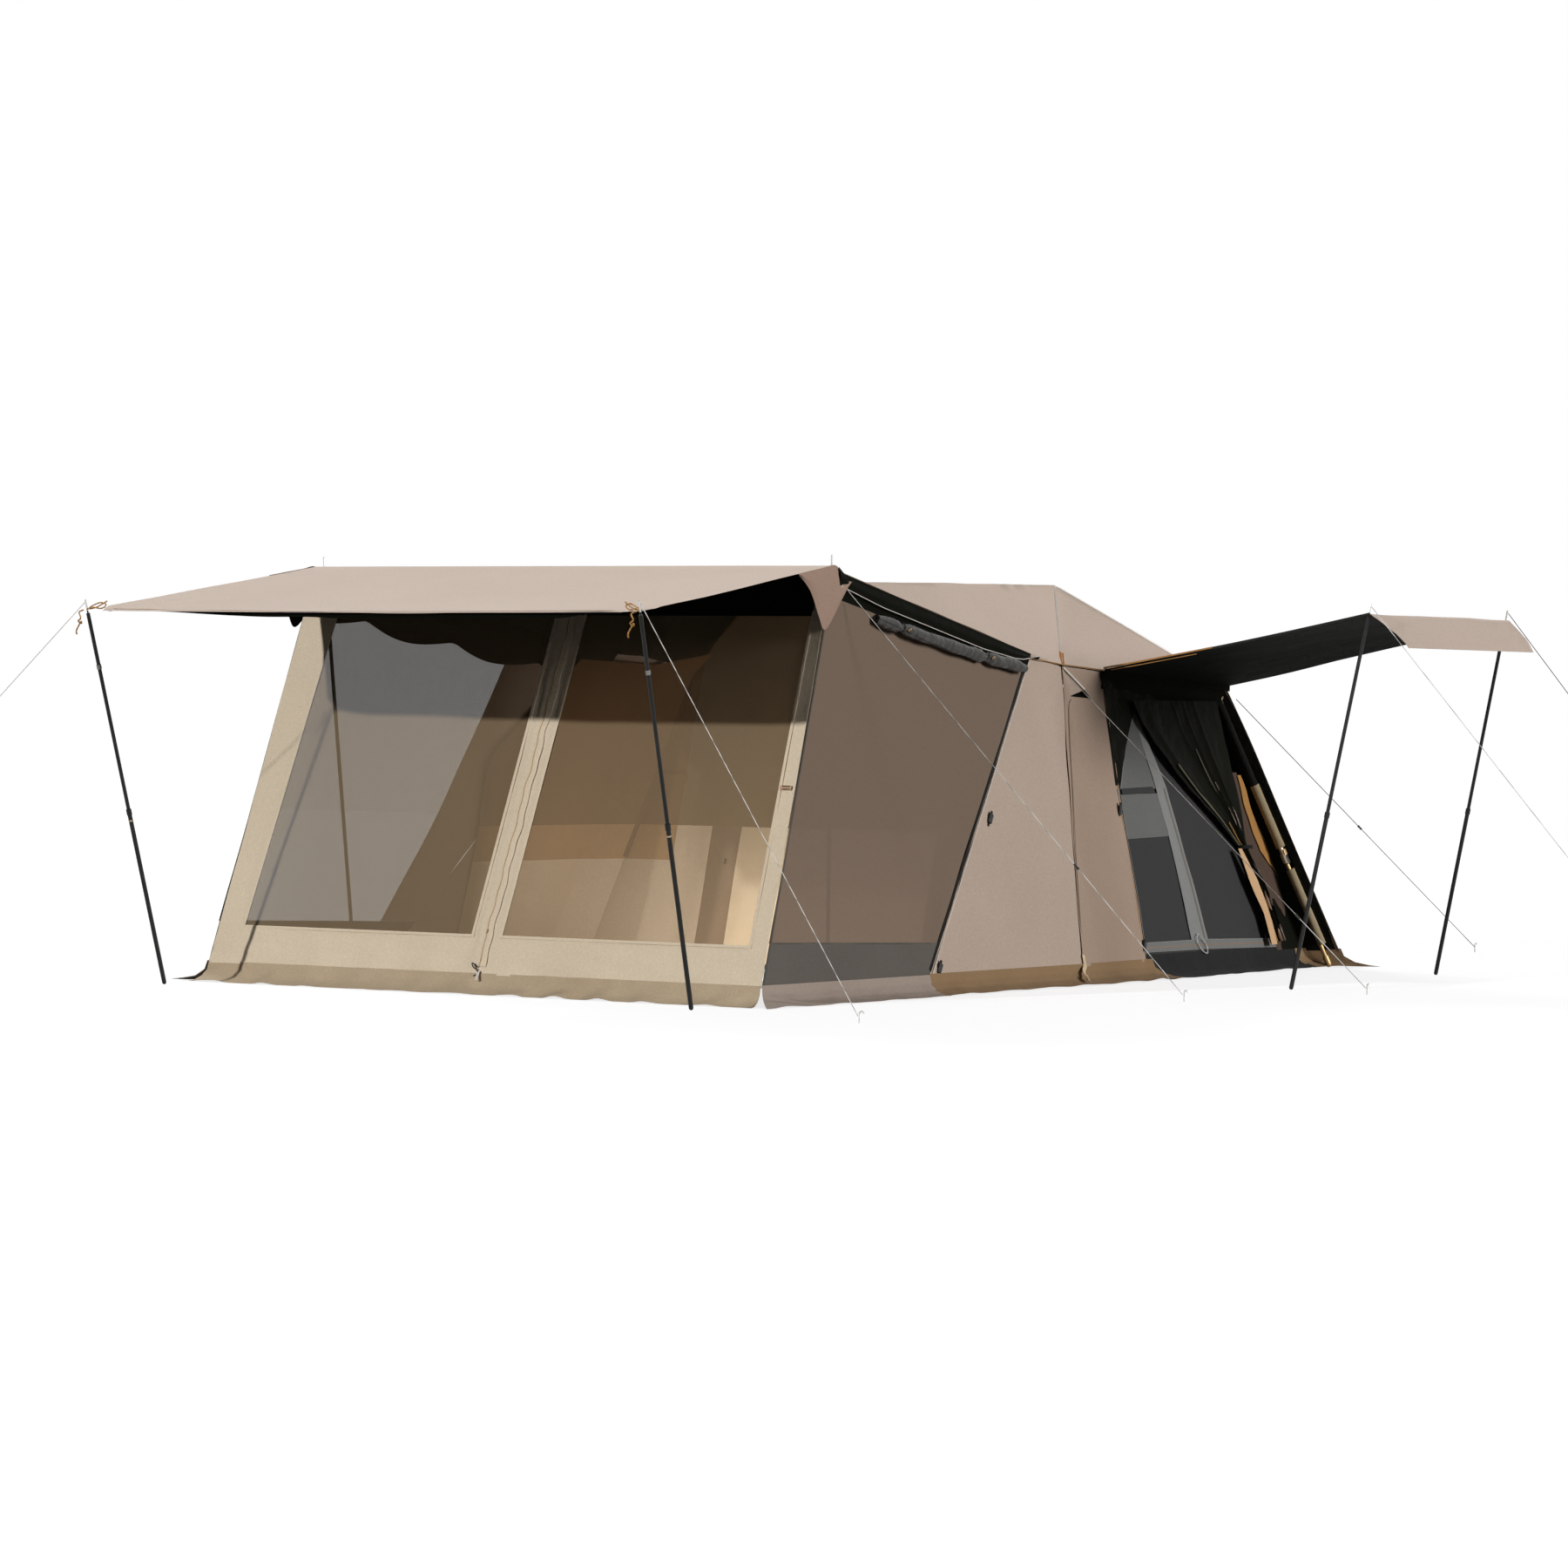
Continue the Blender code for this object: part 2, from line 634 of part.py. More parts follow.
def make_leg(front, side):
    """A leg's upper tube with its knuckle and clamp collar, and the tube that slides up into it."""
    foot, knuckle = leg_line(front, side)
    along = (knuckle - foot).normalized()
    split = foot + along * LEG_LOWER_SHOWN
    upper_length = (knuckle - split).length
    bore = LEG_LOWER_RADIUS + LEG_CLEARANCE
    bore_depth = LEG_OVERLAP + LEG_TRAVEL + LEG_CLEARANCE
    upper = [
        (0, bore_depth), (bore, bore_depth), (bore, 0), (COLLAR_RADIUS, 0),
        (COLLAR_RADIUS, COLLAR_LENGTH), (LEG_RADIUS, COLLAR_LENGTH),
    ]
    upper += ball_end(KNUCKLE_RADIUS, LEG_RADIUS, KNUCKLE_RINGS, upper_length)
    place = f"{'front' if front else 'rear'}_{SIDE_NAMES[side]}"
    turned(f"leg_upper_{place}", upper, MATERIALS["bronze"], split, along)
    lower = dome(FOOT_RADIUS, FOOT_RINGS, 0.0) + [
        (FOOT_RADIUS, FOOT_LENGTH), (LEG_LOWER_RADIUS, FOOT_LENGTH),
        (LEG_LOWER_RADIUS, LEG_LOWER_SHOWN + LEG_OVERLAP), (0, LEG_LOWER_SHOWN + LEG_OVERLAP),
    ]
    turned(f"leg_lower_{place}", lower, MATERIALS["brass"], foot, along)


def pin_end(length):
    """Profile points of a pole's shoulder and the pin on it, for a tube that ends at length."""
    return [
        (POLE_RADIUS, length - SHOULDER_DROP), (PIN_RADIUS, length - SHOULDER_DROP),
        (PIN_RADIUS, length + PIN_HEIGHT), (0, length + PIN_HEIGHT),
    ]


def hall_pole_line(side):
    foot_x = HALL_BASE_HALF_WIDTH - HALL_POLE_FOOT_INSET
    foot = mirrored((foot_x, HALL_TOP_Y + HALL_POLE_FOOT_SETBACK, POLE_RADIUS), side)
    top_x = HALL_TOP_HALF_WIDTH - HALL_POLE_INSET
    return foot, mirrored((top_x, HALL_TOP_Y + HALL_POLE_INSET, ROOF_Z), side)


def make_hall_pole(side):
    foot, tip = hall_pole_line(side)
    profile = dome(POLE_RADIUS, FOOT_RINGS, 0.0) + pin_end((tip - foot).length)
    turned(f"hall_pole_{SIDE_NAMES[side]}", profile, MATERIALS["steel"], foot, tip - foot)


def awning_pole_lines():
    """Foot and tip of each awning pole, by its name."""
    near_tip = Vector((SIDE_AWNING_TIP[0], -SIDE_AWNING_TIP[1], SIDE_AWNING_TIP[2]))
    lines = {
        f"front_awning_pole_{SIDE_NAMES[side]}": (
            mirrored((*FRONT_POLE_FOOT, POLE_LOWER_RADIUS), side), mirrored(FRONT_AWNING_TIP, side),
        )
        for side in (RIGHT, LEFT)
    }
    near_foot = Vector((*SIDE_NEAR_POLE_FOOT, POLE_LOWER_RADIUS))
    far_foot = Vector((*SIDE_FAR_POLE_FOOT, POLE_LOWER_RADIUS))
    lines["side_awning_pole_near"] = (near_foot, near_tip)
    lines["side_awning_pole_far"] = (far_foot, Vector(SIDE_AWNING_TIP))
    return lines


def make_awning_pole(name, foot, tip):
    """The upper tube with its pin, and the lower tube that slides up over it."""
    along = (tip - foot).normalized()
    length = (tip - foot).length
    split = length * POLE_LOWER_SHARE
    start = foot + along * (split - POLE_OVERLAP)
    upper_length = length - split + POLE_OVERLAP
    upper = [(0, 0), (POLE_RADIUS, 0)] + pin_end(upper_length)
    turned(f"{name}_upper", upper, MATERIALS["steel"], start, along)
    bore = POLE_RADIUS + POLE_CLEARANCE
    bore_bottom = split - POLE_OVERLAP - POLE_TRAVEL - POLE_CLEARANCE
    lower = dome(POLE_LOWER_RADIUS, FOOT_RINGS, 0.0) + [
        (POLE_LOWER_RADIUS, split - POLE_COLLAR_LENGTH), (POLE_COLLAR_RADIUS, split - POLE_COLLAR_LENGTH),
        (POLE_COLLAR_RADIUS, split), (bore, split), (bore, bore_bottom), (0, bore_bottom),
    ]
    turned(f"{name}_lower", lower, MATERIALS["steel"], foot, along)


def make_zip_slider():
    """The slider on the zip between the two front windows."""
    middle = tuple((left + right) / 2 for left, right in zip(LEFT_WINDOW_INNER, RIGHT_WINDOW_INNER))
    place = front_point(middle, ZIP_SLIDER_Z)
    up = (front_point(middle, WINDOW_HEAD_Z) - front_point(middle, WINDOW_SILL_Z)).normalized()
    outward = Vector((1, 0, 0)).cross(up).normalized()
    shape = bmesh.new()
    bmesh.ops.create_cube(shape, size=1.0)
    bmesh.ops.scale(shape, vec=ZIP_SLIDER_SIZE, verts=shape.verts)
    bmesh.ops.bevel(shape, geom=shape.edges[:], offset=ZIP_SLIDER_EDGE, segments=1, affect="EDGES")
    slider = add_object("front_zip_slider", finished_mesh("front_zip_slider", shape), MATERIALS["plastic"])
    slider.rotation_mode = "QUATERNION"
    slider.rotation_quaternion = up.to_track_quat("Z", "Y")
    slider.location = place + outward * (FABRIC / 2 + ZIP_SLIDER_GAP + ZIP_SLIDER_SIZE[1] / 2)


def guyline_starts():
    """Where each guyline leaves the tent: at a pole's pin or at a webbing loop on the eave."""
    starts = {
        "hall_right": Vector(HALL_GUY_START),
        "post_right": Vector(POST_GUY_START),
        "rear_right": Vector(REAR_GUY_START),
    }
    poles = awning_pole_lines()
    for guy, pole in (
        ("front_left", "front_awning_pole_left"), ("front_right", "front_awning_pole_right"),
        ("side_near", "side_awning_pole_near"), ("side_far", "side_awning_pole_far"),
    ):
        foot, tip = poles[pole]
        pin = tip + (tip - foot).normalized() * CORD_ABOVE_AWNING
        away = Vector((*PEG_PLACES[guy], pin.z)) - pin
        starts[guy] = pin + away.normalized() * (PIN_RADIUS + CORD_RADIUS + CORD_PIN_GAP)
    return starts


def peg_height(guy):
    return TALL_PEG_HEIGHT if guy in TALL_PEGS else LOW_PEG_HEIGHT


def guyline_end(guy, start):
    """Where a guyline meets its peg, under the hook and just clear of the rod."""
    rod = Vector((*PEG_PLACES[guy], peg_height(guy) - CORD_BELOW_HOOK))
    back = Vector((start.x - rod.x, start.y - rod.y, 0)).normalized()
    return rod + back * (PEG_RADIUS + CORD_RADIUS + PEG_GAP)


def curve_tube(name, points, radius, finish):
    curve = bpy.data.curves.new(name, "CURVE")
    curve.dimensions = "3D"
    curve.bevel_depth = radius
    curve.bevel_resolution = CORD_BEVEL_POINTS
    curve.resolution_u = 1
    curve.render_resolution_u = 0
    curve.use_fill_caps = True
    spline = curve.splines.new("POLY")
    spline.points.add(len(points) - 1)
    for spot, point in zip(spline.points, points):
        spot.co = (*point, 1.0)
    made = bpy.data.objects.new(name, curve)
    curve.materials.append(finish)
    bpy.context.collection.objects.link(made)
    return made


def make_guyline(guy, start):
    """A taut cord from the tent to its peg, and the hooked head of that peg above the ground."""
    end = guyline_end(guy, start)
    points = [between(start, end, step / (CORD_POINTS - 1)) for step in range(CORD_POINTS)]
    curve_tube(f"guyline_{guy}", points, CORD_RADIUS, MATERIALS["cord"])
    foot = Vector((*PEG_PLACES[guy], 0))
    away = Vector((foot.x - start.x, foot.y - start.y, 0)).normalized()
    top = foot + Vector((0, 0, peg_height(guy)))
    hook_centre = top + away * PEG_HOOK_RADIUS
    rod = [foot, top]
    for step in range(1, PEG_HOOK_POINTS + 1):
        turn = math.pi * step / PEG_HOOK_POINTS
        lift = Vector((0, 0, math.sin(turn)))
        rod.append(hook_centre + (lift - away * math.cos(turn)) * PEG_HOOK_RADIUS)
    curve_tube(f"peg_{guy}", rod, PEG_RADIUS, MATERIALS["steel"])
    if guy in TENSIONERS:
        make_tensioner(guy, start, end)


def make_tensioner(guy, start, end):
    """The barrel that grips a guyline, centred on its place along the cord."""
    bore = CORD_RADIUS + TENSIONER_CLEARANCE
    half = TENSIONER_LENGTH / 2
    waist = half - TENSIONER_LIP
    profile = [
        (bore, -half), (TENSIONER_RADIUS, -half), (TENSIONER_WAIST, -waist),
        (TENSIONER_WAIST, waist), (TENSIONER_RADIUS, half), (bore, half),
    ]
    place = between(start, end, TENSIONERS[guy])
    turned(f"tensioner_{guy}", profile, MATERIALS["plastic"], place, end - start, closed=True)


def make_materials():
    return {
        "beige": material("beige_fly", (0.55, 0.46, 0.39), 0.85),
        "taupe": material("taupe_wall", (0.40, 0.31, 0.26), 0.85),
        "cream": material("cream_wall", (0.63, 0.49, 0.37), 0.85),
        "mesh": material("brown_mesh", (0.15, 0.11, 0.08), 0.9),
        "dark_mesh": material("dark_mesh", (0.05, 0.05, 0.05), 0.9),
        "roll": material("rolled_cloth", (0.07, 0.07, 0.065), 0.85),
        "floor": material("groundsheet", (0.12, 0.12, 0.12), 0.7),
        "steel": material("black_steel", (0.02, 0.02, 0.02), 0.35, 0.6),
        "bronze": material("beige_tube", (0.42, 0.36, 0.28), 0.35, 0.5),
        "brass": material("brass_leg", (0.55, 0.40, 0.18), 0.35, 0.8),
        "plastic": material("black_plastic", (0.02, 0.02, 0.02), 0.5),
        "cord": material("white_cord", (0.75, 0.73, 0.68), 0.8),
    }


def make_frame():
    make_ridge_pole()
    for side in (RIGHT, LEFT):
        make_ridge_hub(side)
        make_hall_pole(side)
        for front in (True, False):
            make_roof_rib(front, side)
            make_leg(front, side)
    for name, (foot, tip) in awning_pole_lines().items():
        make_awning_pole(name, foot, tip)


def make_shell():
    hall_cutters = []
    for side in (RIGHT, LEFT):
        foot, tip = hall_pole_line(side)
        cutter = pin_cutter(f"hall_pin_cut_{SIDE_NAMES[side]}", tip, (tip - foot).normalized())
        hall_cutters.append(cutter)
    make_roof(hall_cutters)
    cutters = {
        name: pin_cutter(f"{name}_pin_cut", tip, (tip - foot).normalized())
        for name, (foot, tip) in awning_pole_lines().items()
    }
    make_front_awning([cut for name, cut in cutters.items() if name.startswith("front")])
    make_side_awning([cut for name, cut in cutters.items() if name.startswith("side")])
    make_front_wall()
    for side in (RIGHT, LEFT):
        make_front_mesh(side)
        make_side_mesh(side)
        make_rolled_cover(side)
    make_side_panel()
    make_door_wall()
    make_door_curtain()
    make_left_wall()
    make_rear_wall()
    make_divider_wall()
    make_groundsheet()
    make_zip_slider()


def make_guylines():
    for guy, start in guyline_starts().items():
        make_guyline(guy, start)


clear_scene()
MATERIALS = make_materials()
make_frame()
make_shell()
make_guylines()
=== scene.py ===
"""Looks of a ridge tent: cloth, netting, trims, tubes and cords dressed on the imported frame.

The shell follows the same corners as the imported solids. -Y is the hall's front, +X the side with
the door, and all sizes are in metres.
"""

import logging
import math
from dataclasses import dataclass
from enum import Enum
from typing import Callable, Iterable, Sequence

import bpy
import numpy as np
from mathutils import Matrix, Vector, noise


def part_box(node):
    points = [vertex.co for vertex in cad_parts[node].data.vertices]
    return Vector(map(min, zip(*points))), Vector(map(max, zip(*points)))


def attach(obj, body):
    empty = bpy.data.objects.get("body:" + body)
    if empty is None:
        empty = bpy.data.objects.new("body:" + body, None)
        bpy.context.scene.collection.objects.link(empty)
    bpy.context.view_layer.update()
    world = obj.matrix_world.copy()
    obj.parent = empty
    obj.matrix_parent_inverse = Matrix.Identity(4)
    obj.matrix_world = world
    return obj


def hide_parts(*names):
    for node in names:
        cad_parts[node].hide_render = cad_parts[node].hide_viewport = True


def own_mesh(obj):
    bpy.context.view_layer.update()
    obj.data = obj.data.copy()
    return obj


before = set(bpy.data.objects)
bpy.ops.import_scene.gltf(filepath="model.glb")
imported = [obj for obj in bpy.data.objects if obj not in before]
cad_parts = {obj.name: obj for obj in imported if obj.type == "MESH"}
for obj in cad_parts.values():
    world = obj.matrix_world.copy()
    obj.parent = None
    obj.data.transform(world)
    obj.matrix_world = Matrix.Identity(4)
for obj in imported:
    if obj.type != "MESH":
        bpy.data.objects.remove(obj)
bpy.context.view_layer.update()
ROOT = "tent"
LOG = logging.getLogger("tent")

CLOTH_THICKNESS = 0.0016
THIN_CLOTH = 0.001
NET_THICKNESS = 0.0008
TAPE_THICKNESS = 0.0016
TAPE_PROUD = 0.0012
TAPE_CROWN = 0.3
LOWEST_CLOTH = 0.003
MERGE_GAP = 0.00005
LEAST_AREA_SHARE = 0.301

Colour = tuple[float, float, float, float]
Rows = list[list[Vector]]


class Side(Enum):
    """The tent's two sides, with the sign of X on each."""

    RIGHT = 1
    LEFT = -1

    @property
    def word(self) -> str:
        """The side's name as it stands in node names."""
        return self.name.lower()


@dataclass(frozen=True)
class Plan:
    """Driving sizes of the shell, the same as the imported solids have."""

    hall_base_half_width: float = 1.66
    hall_top_half_width: float = 1.57
    hall_base_y: float = -4.43
    hall_top_y: float = -3.70
    roof_z: float = 2.10
    ridge_half_length: float = 0.66
    eave_x: float = 1.25
    eave_y: float = 0.93
    front_eave_z: float = 1.66
    rear_eave_z: float = 1.56
    post_base: tuple[float, float] = (1.66, -1.39)
    door_rear_base: tuple[float, float] = (1.50, 1.10)
    door_rear_head: tuple[float, float] = (1.19, 0.84)
    return_rear_base: tuple[float, float] = (1.52, 1.37)
    return_rear_head: tuple[float, float] = (1.13, 0.89)
    side_head_drop: float = 0.10
    rear_wall_base: tuple[float, float] = (1.70, 1.45)
    wall_foot_z: float = 0.09
    skirt_spread: float = 0.12
    under_roof: float = 0.014
    seam_base_y: float = -2.91
    seam_top_share: float = 0.85
    front_awning_tip: tuple[float, float, float] = (1.63, -5.44, 1.84)
    front_pole_foot: tuple[float, float] = (1.57, -4.89)
    side_awning_start_y: float = -0.50
    side_awning_tip: tuple[float, float, float] = (2.99, 0.81, 1.93)
    side_near_pole_foot: tuple[float, float] = (2.68, -1.01)
    side_far_pole_foot: tuple[float, float] = (2.50, 1.03)

    def rise(self, z: float) -> float:
        """How far up a height lies, from the walls' foot, 0, to the roof, 1."""
        return (z - self.wall_foot_z) / (self.roof_z - self.wall_foot_z)


PLAN = Plan()


def clamp(value: float, low: float = 0.0, high: float = 1.0) -> float:
    """Keep a value between two limits."""
    return max(low, min(high, value))


def ease(value: float) -> float:
    """A smooth step from 0 to 1 as the value goes from 0 to 1."""
    share = clamp(value)
    return share * share * (3 - 2 * share)


def shares(count: int) -> list[float]:
    """The even steps from 0 to 1, with both ends."""
    return [step / count for step in range(count + 1)]


def linear(code: str) -> Colour:
    """Turn an sRGB hex colour into linear light.

    Args:
        code: six hex digits.

    Returns:
        Red, green, blue and an alpha of 1.
    """
    shares = [int(code[place:place + 2], 16) / 255 for place in (0, 2, 4)]
    light = [c / 12.92 if c <= 0.04045 else ((c + 0.055) / 1.055) ** 2.4 for c in shares]
    return (light[0], light[1], light[2], 1.0)


def add_node(
    tree: bpy.types.NodeTree, kind: str, feeds: dict[str | int, object] | None = None, **settings: object,
) -> bpy.types.Node:
    """Add a shader node with its settings and what feeds it.

    Args:
        tree: the material's or world's nodes.
        kind: the node's type, without its "ShaderNode" start.
        feeds: a value or another node's output socket for each input, by name or place.
        settings: the node's own properties.

    Returns:
        The new node.
    """
    node = tree.nodes.new("ShaderNode" + kind)
    for setting, value in settings.items():
        setattr(node, setting, value)
    for socket, source in (feeds or {}).items():
        if isinstance(source, bpy.types.NodeSocket):
            tree.links.new(source, node.inputs[socket])
        else:
            node.inputs[socket].default_value = source
    return node


FACTOR, FIRST, SECOND, MIXED = 0, 6, 7, 2


def wave_scale(period: float) -> float:
    """The Wave texture's scale for bands that repeat at a period in metres."""
    return math.pi / (10 * period)


@dataclass
class Pattern:
    """What a finish draws: where it is worn, its relief, and what darkens or roughens it."""

    wear: bpy.types.NodeSocket
    relief: bpy.types.NodeSocket
    strength: float
    depth: float
    shade: bpy.types.NodeSocket | None = None
    under: bpy.types.NodeSocket | None = None
    rough: bpy.types.NodeSocket | None = None


@dataclass(frozen=True)
class Finish:
    """A surface with two close colours that it wanders between."""

    name: str
    colour: str
    worn: str

    def draw(self, tree: bpy.types.NodeTree, places: bpy.types.bpy_prop_collection) -> Pattern:
        """Draw the finish's pattern, which each kind of finish does its own way.

        Args:
            tree: the material's nodes.
            places: the outputs of its texture coordinates.

        Returns:
            The pattern.
        """
        raise NotImplementedError

    def settings(self) -> dict[str, float]:
        """The shader's values that are the same all over the surface."""
        raise NotImplementedError

    def make(self) -> bpy.types.Material:
        """Build the material once and give the same one after that.

        Returns:
            The material.
        """
        if self.name in bpy.data.materials:
            return bpy.data.materials[self.name]
        material = bpy.data.materials.new(self.name)
        material.use_nodes = True
        tree = material.node_tree
        shader = tree.nodes["Principled BSDF"]
        drawn = self.draw(tree, add_node(tree, "TexCoord").outputs)
        tones = {FACTOR: drawn.wear, FIRST: linear(self.colour), SECOND: linear(self.worn)}
        colour = add_node(tree, "Mix", tones, data_type="RGBA").outputs[MIXED]
        if drawn.shade:
            shaded = {FACTOR: 1.0, FIRST: colour, SECOND: drawn.shade}
            colour = add_node(tree, "Mix", shaded, data_type="RGBA", blend_type="MULTIPLY").outputs[MIXED]
        tree.links.new(colour, shader.inputs["Base Color"])
        relief = {"Height": drawn.relief, "Strength": drawn.strength, "Distance": drawn.depth}
        if drawn.under:
            relief["Normal"] = drawn.under
        tree.links.new(add_node(tree, "Bump", relief).outputs[0], shader.inputs["Normal"])
        for socket, value in self.settings().items():
            shader.inputs[socket].default_value = value
        if drawn.rough:
            tree.links.new(drawn.rough, shader.inputs["Roughness"])
        return material


@dataclass(frozen=True)
class WovenCloth(Finish):
    """A woven and coated cloth.

    The eye sees a dull, even surface with a fine grain of crossing threads, soft puckers and a
    slight change of tone where the coating took unevenly. The real threads are 0.25 mm apart and
    would vanish at this size, so they are drawn as coarse as thread_gap says.
    """

    roughness: float = 0.85
    sheen: float = 0.04
    gloss: float = 0.06
    thread_gap: float = 0.0024
    pucker: float = 0.25
    pucker_size: float = 0.16
    speckle: float = 0.06
    drift_scale: float = 1.7
    grain_scale: float = 100.0

    def settings(self) -> dict[str, float]:
        """The cloth's dullness, its nap and how little it mirrors."""
        return {"Roughness": self.roughness, "Sheen Weight": self.sheen, "Specular IOR Level": self.gloss}

    def draw(self, tree: bpy.types.NodeTree, places: bpy.types.bpy_prop_collection) -> Pattern:
        """Draw crossing threads over puckers, with a slow drift of tone and a fine grain.

        Args:
            tree: the material's nodes.
            places: the outputs of its texture coordinates.

        Returns:
            The pattern.
        """
        solid = places["Object"]
        threads = [
            add_node(
                tree, "TexWave", {"Vector": places["UV"], "Scale": wave_scale(self.thread_gap)},
                wave_type="BANDS", bands_direction=direction,
            ).outputs["Fac"]
            for direction in ("X", "Y")
        ]
        weave = add_node(tree, "Math", {0: threads[0], 1: threads[1]}, operation="MULTIPLY").outputs[0]
        drift = {"Vector": solid, "Scale": self.drift_scale, "Detail": 3.0}
        tone = add_node(tree, "TexNoise", drift).outputs["Fac"]
        fine = {"Vector": solid, "Scale": self.grain_scale, "Detail": 2.0}
        grain = add_node(tree, "TexNoise", fine).outputs["Fac"]
        spread = {
            "Value": grain, "From Min": 0.3, "From Max": 0.7,
            "To Min": 1 - self.speckle, "To Max": 1 + self.speckle,
        }
        shade = add_node(tree, "MapRange", spread).outputs[0]
        soft = {"Vector": solid, "Scale": 1 / self.pucker_size, "Detail": 4.0, "Roughness": 0.45}
        puckers = add_node(tree, "TexNoise", soft).outputs["Fac"]
        swell = {"Height": puckers, "Strength": self.pucker, "Distance": 0.03}
        under = add_node(tree, "Bump", swell).outputs[0]
        return Pattern(tone, weave, 0.25, 0.0004, shade, under)


@dataclass(frozen=True)
class Netting(Finish):
    """Knitted polyester insect netting.

    The eye sees a thin veil: the light behind it comes through between the threads, and the lit
    threads lay a haze over it. The real holes are 1 mm wide. They are too fine to draw, so the
    share that they let through is an even alpha, and the knit shows as a grain.
    """

    cover: float
    knit_gap: float = 0.005
    speckle: float = 0.05

    def settings(self) -> dict[str, float]:
        """The netting's dullness, and an alpha with which its two faces cover what cover says."""
        return {"Roughness": 0.9, "Specular IOR Level": 0.05, "Alpha": 1 - math.sqrt(1 - self.cover)}

    def draw(self, tree: bpy.types.NodeTree, places: bpy.types.bpy_prop_collection) -> Pattern:
        """Draw the knit's cells with an uneven grain over them.

        Args:
            tree: the material's nodes.
            places: the outputs of its texture coordinates.

        Returns:
            The pattern.
        """
        soft = {"Vector": places["Object"], "Scale": 0.6 / self.knit_gap, "Detail": 2.0, "Roughness": 0.6}
        grain = add_node(tree, "TexNoise", soft).outputs["Fac"]
        knit = {"Vector": places["UV"], "Scale": 1 / self.knit_gap, "Randomness": 0.35}
        cells = add_node(tree, "TexVoronoi", knit).outputs["Distance"]
        spread = {"Value": cells, "From Max": 0.7, "To Min": 1 + self.speckle, "To Max": 1 - self.speckle}
        return Pattern(grain, cells, 0.3, 0.0006, add_node(tree, "MapRange", spread).outputs[0])


@dataclass(frozen=True)
class Webbing(Finish):
    """Woven polyester tape, as straps, bindings and piping are made of.

    The eye sees a dull band with fine ribs across it. The real ribs are 1 mm apart and are drawn
    at rib_gap.
    """

    roughness: float = 0.75
    rib_gap: float = 0.003

    def settings(self) -> dict[str, float]:
        """The tape's dullness."""
        return {"Roughness": self.roughness, "Specular IOR Level": 0.1}

    def draw(self, tree: bpy.types.NodeTree, places: bpy.types.bpy_prop_collection) -> Pattern:
        """Draw ribs across the tape and patches of wear.

        Args:
            tree: the material's nodes.
            places: the outputs of its texture coordinates.

        Returns:
            The pattern.
        """
        ribs = add_node(
            tree, "TexWave", {"Vector": places["UV"], "Scale": wave_scale(self.rib_gap)},
            wave_type="BANDS", bands_direction="Y",
        ).outputs["Fac"]
        patches = {"Vector": places["Object"], "Scale": 14.0, "Detail": 3.0}
        wear = add_node(tree, "TexNoise", patches).outputs["Fac"]
        return Pattern(wear, ribs, 0.35, 0.0004)


@dataclass(frozen=True)
class TubeMetal(Finish):
    """A drawn metal tube with its finish.

    The eye sees a smooth round body with one long soft highlight, faint scratches along it and a
    little dust where hands and earth touch it.
    """

    metallic: float
    roughness: float
    gloss: float = 0.5

    def settings(self) -> dict[str, float]:
        """How metallic the surface is."""
        return {"Metallic": self.metallic, "Specular IOR Level": self.gloss}

    def draw(self, tree: bpy.types.NodeTree, places: bpy.types.bpy_prop_collection) -> Pattern:
        """Draw long scratches and worn spots.

        Args:
            tree: the material's nodes.
            places: the outputs of its texture coordinates.

        Returns:
            The pattern.
        """
        stretch = {"Vector": places["Object"], "Scale": (90.0, 90.0, 2.5)}
        long = add_node(tree, "Mapping", stretch).outputs[0]
        scratches = add_node(tree, "TexNoise", {"Vector": long, "Scale": 1.0, "Detail": 3.0}).outputs["Fac"]
        touched = {"Vector": places["Object"], "Scale": 9.0, "Detail": 5.0}
        wear = add_node(tree, "TexNoise", touched).outputs["Fac"]
        spots = add_node(tree, "MapRange", {"Value": wear, "From Min": 0.55, "From Max": 0.75}).outputs[0]
        spread = {"Value": scratches, "To Min": self.roughness - 0.07, "To Max": self.roughness + 0.12}
        return Pattern(spots, scratches, 0.05, 0.0001, rough=add_node(tree, "MapRange", spread).outputs[0])


@dataclass(frozen=True)
class MouldedPlastic(Finish):
    """Injection-moulded plastic, as clips, toggles and hubs are made of.

    The eye sees a satin surface with a fine spark-eroded grain of about half a millimetre.
    """

    roughness: float = 0.45

    def settings(self) -> dict[str, float]:
        """The plastic's satin."""
        return {"Roughness": self.roughness, "Specular IOR Level": 0.25}

    def draw(self, tree: bpy.types.NodeTree, places: bpy.types.bpy_prop_collection) -> Pattern:
        """Draw the mould's fine grain and a little dust.

        Args:
            tree: the material's nodes.
            places: the outputs of its texture coordinates.

        Returns:
            The pattern.
        """
        fine = {"Vector": places["Object"], "Scale": 1200.0, "Detail": 2.0}
        grain = add_node(tree, "TexNoise", fine).outputs["Fac"]
        dust = {"Vector": places["Object"], "Scale": 30.0, "Detail": 4.0}
        wear = add_node(tree, "TexNoise", dust).outputs["Fac"]
        return Pattern(wear, grain, 0.2, 0.0001)


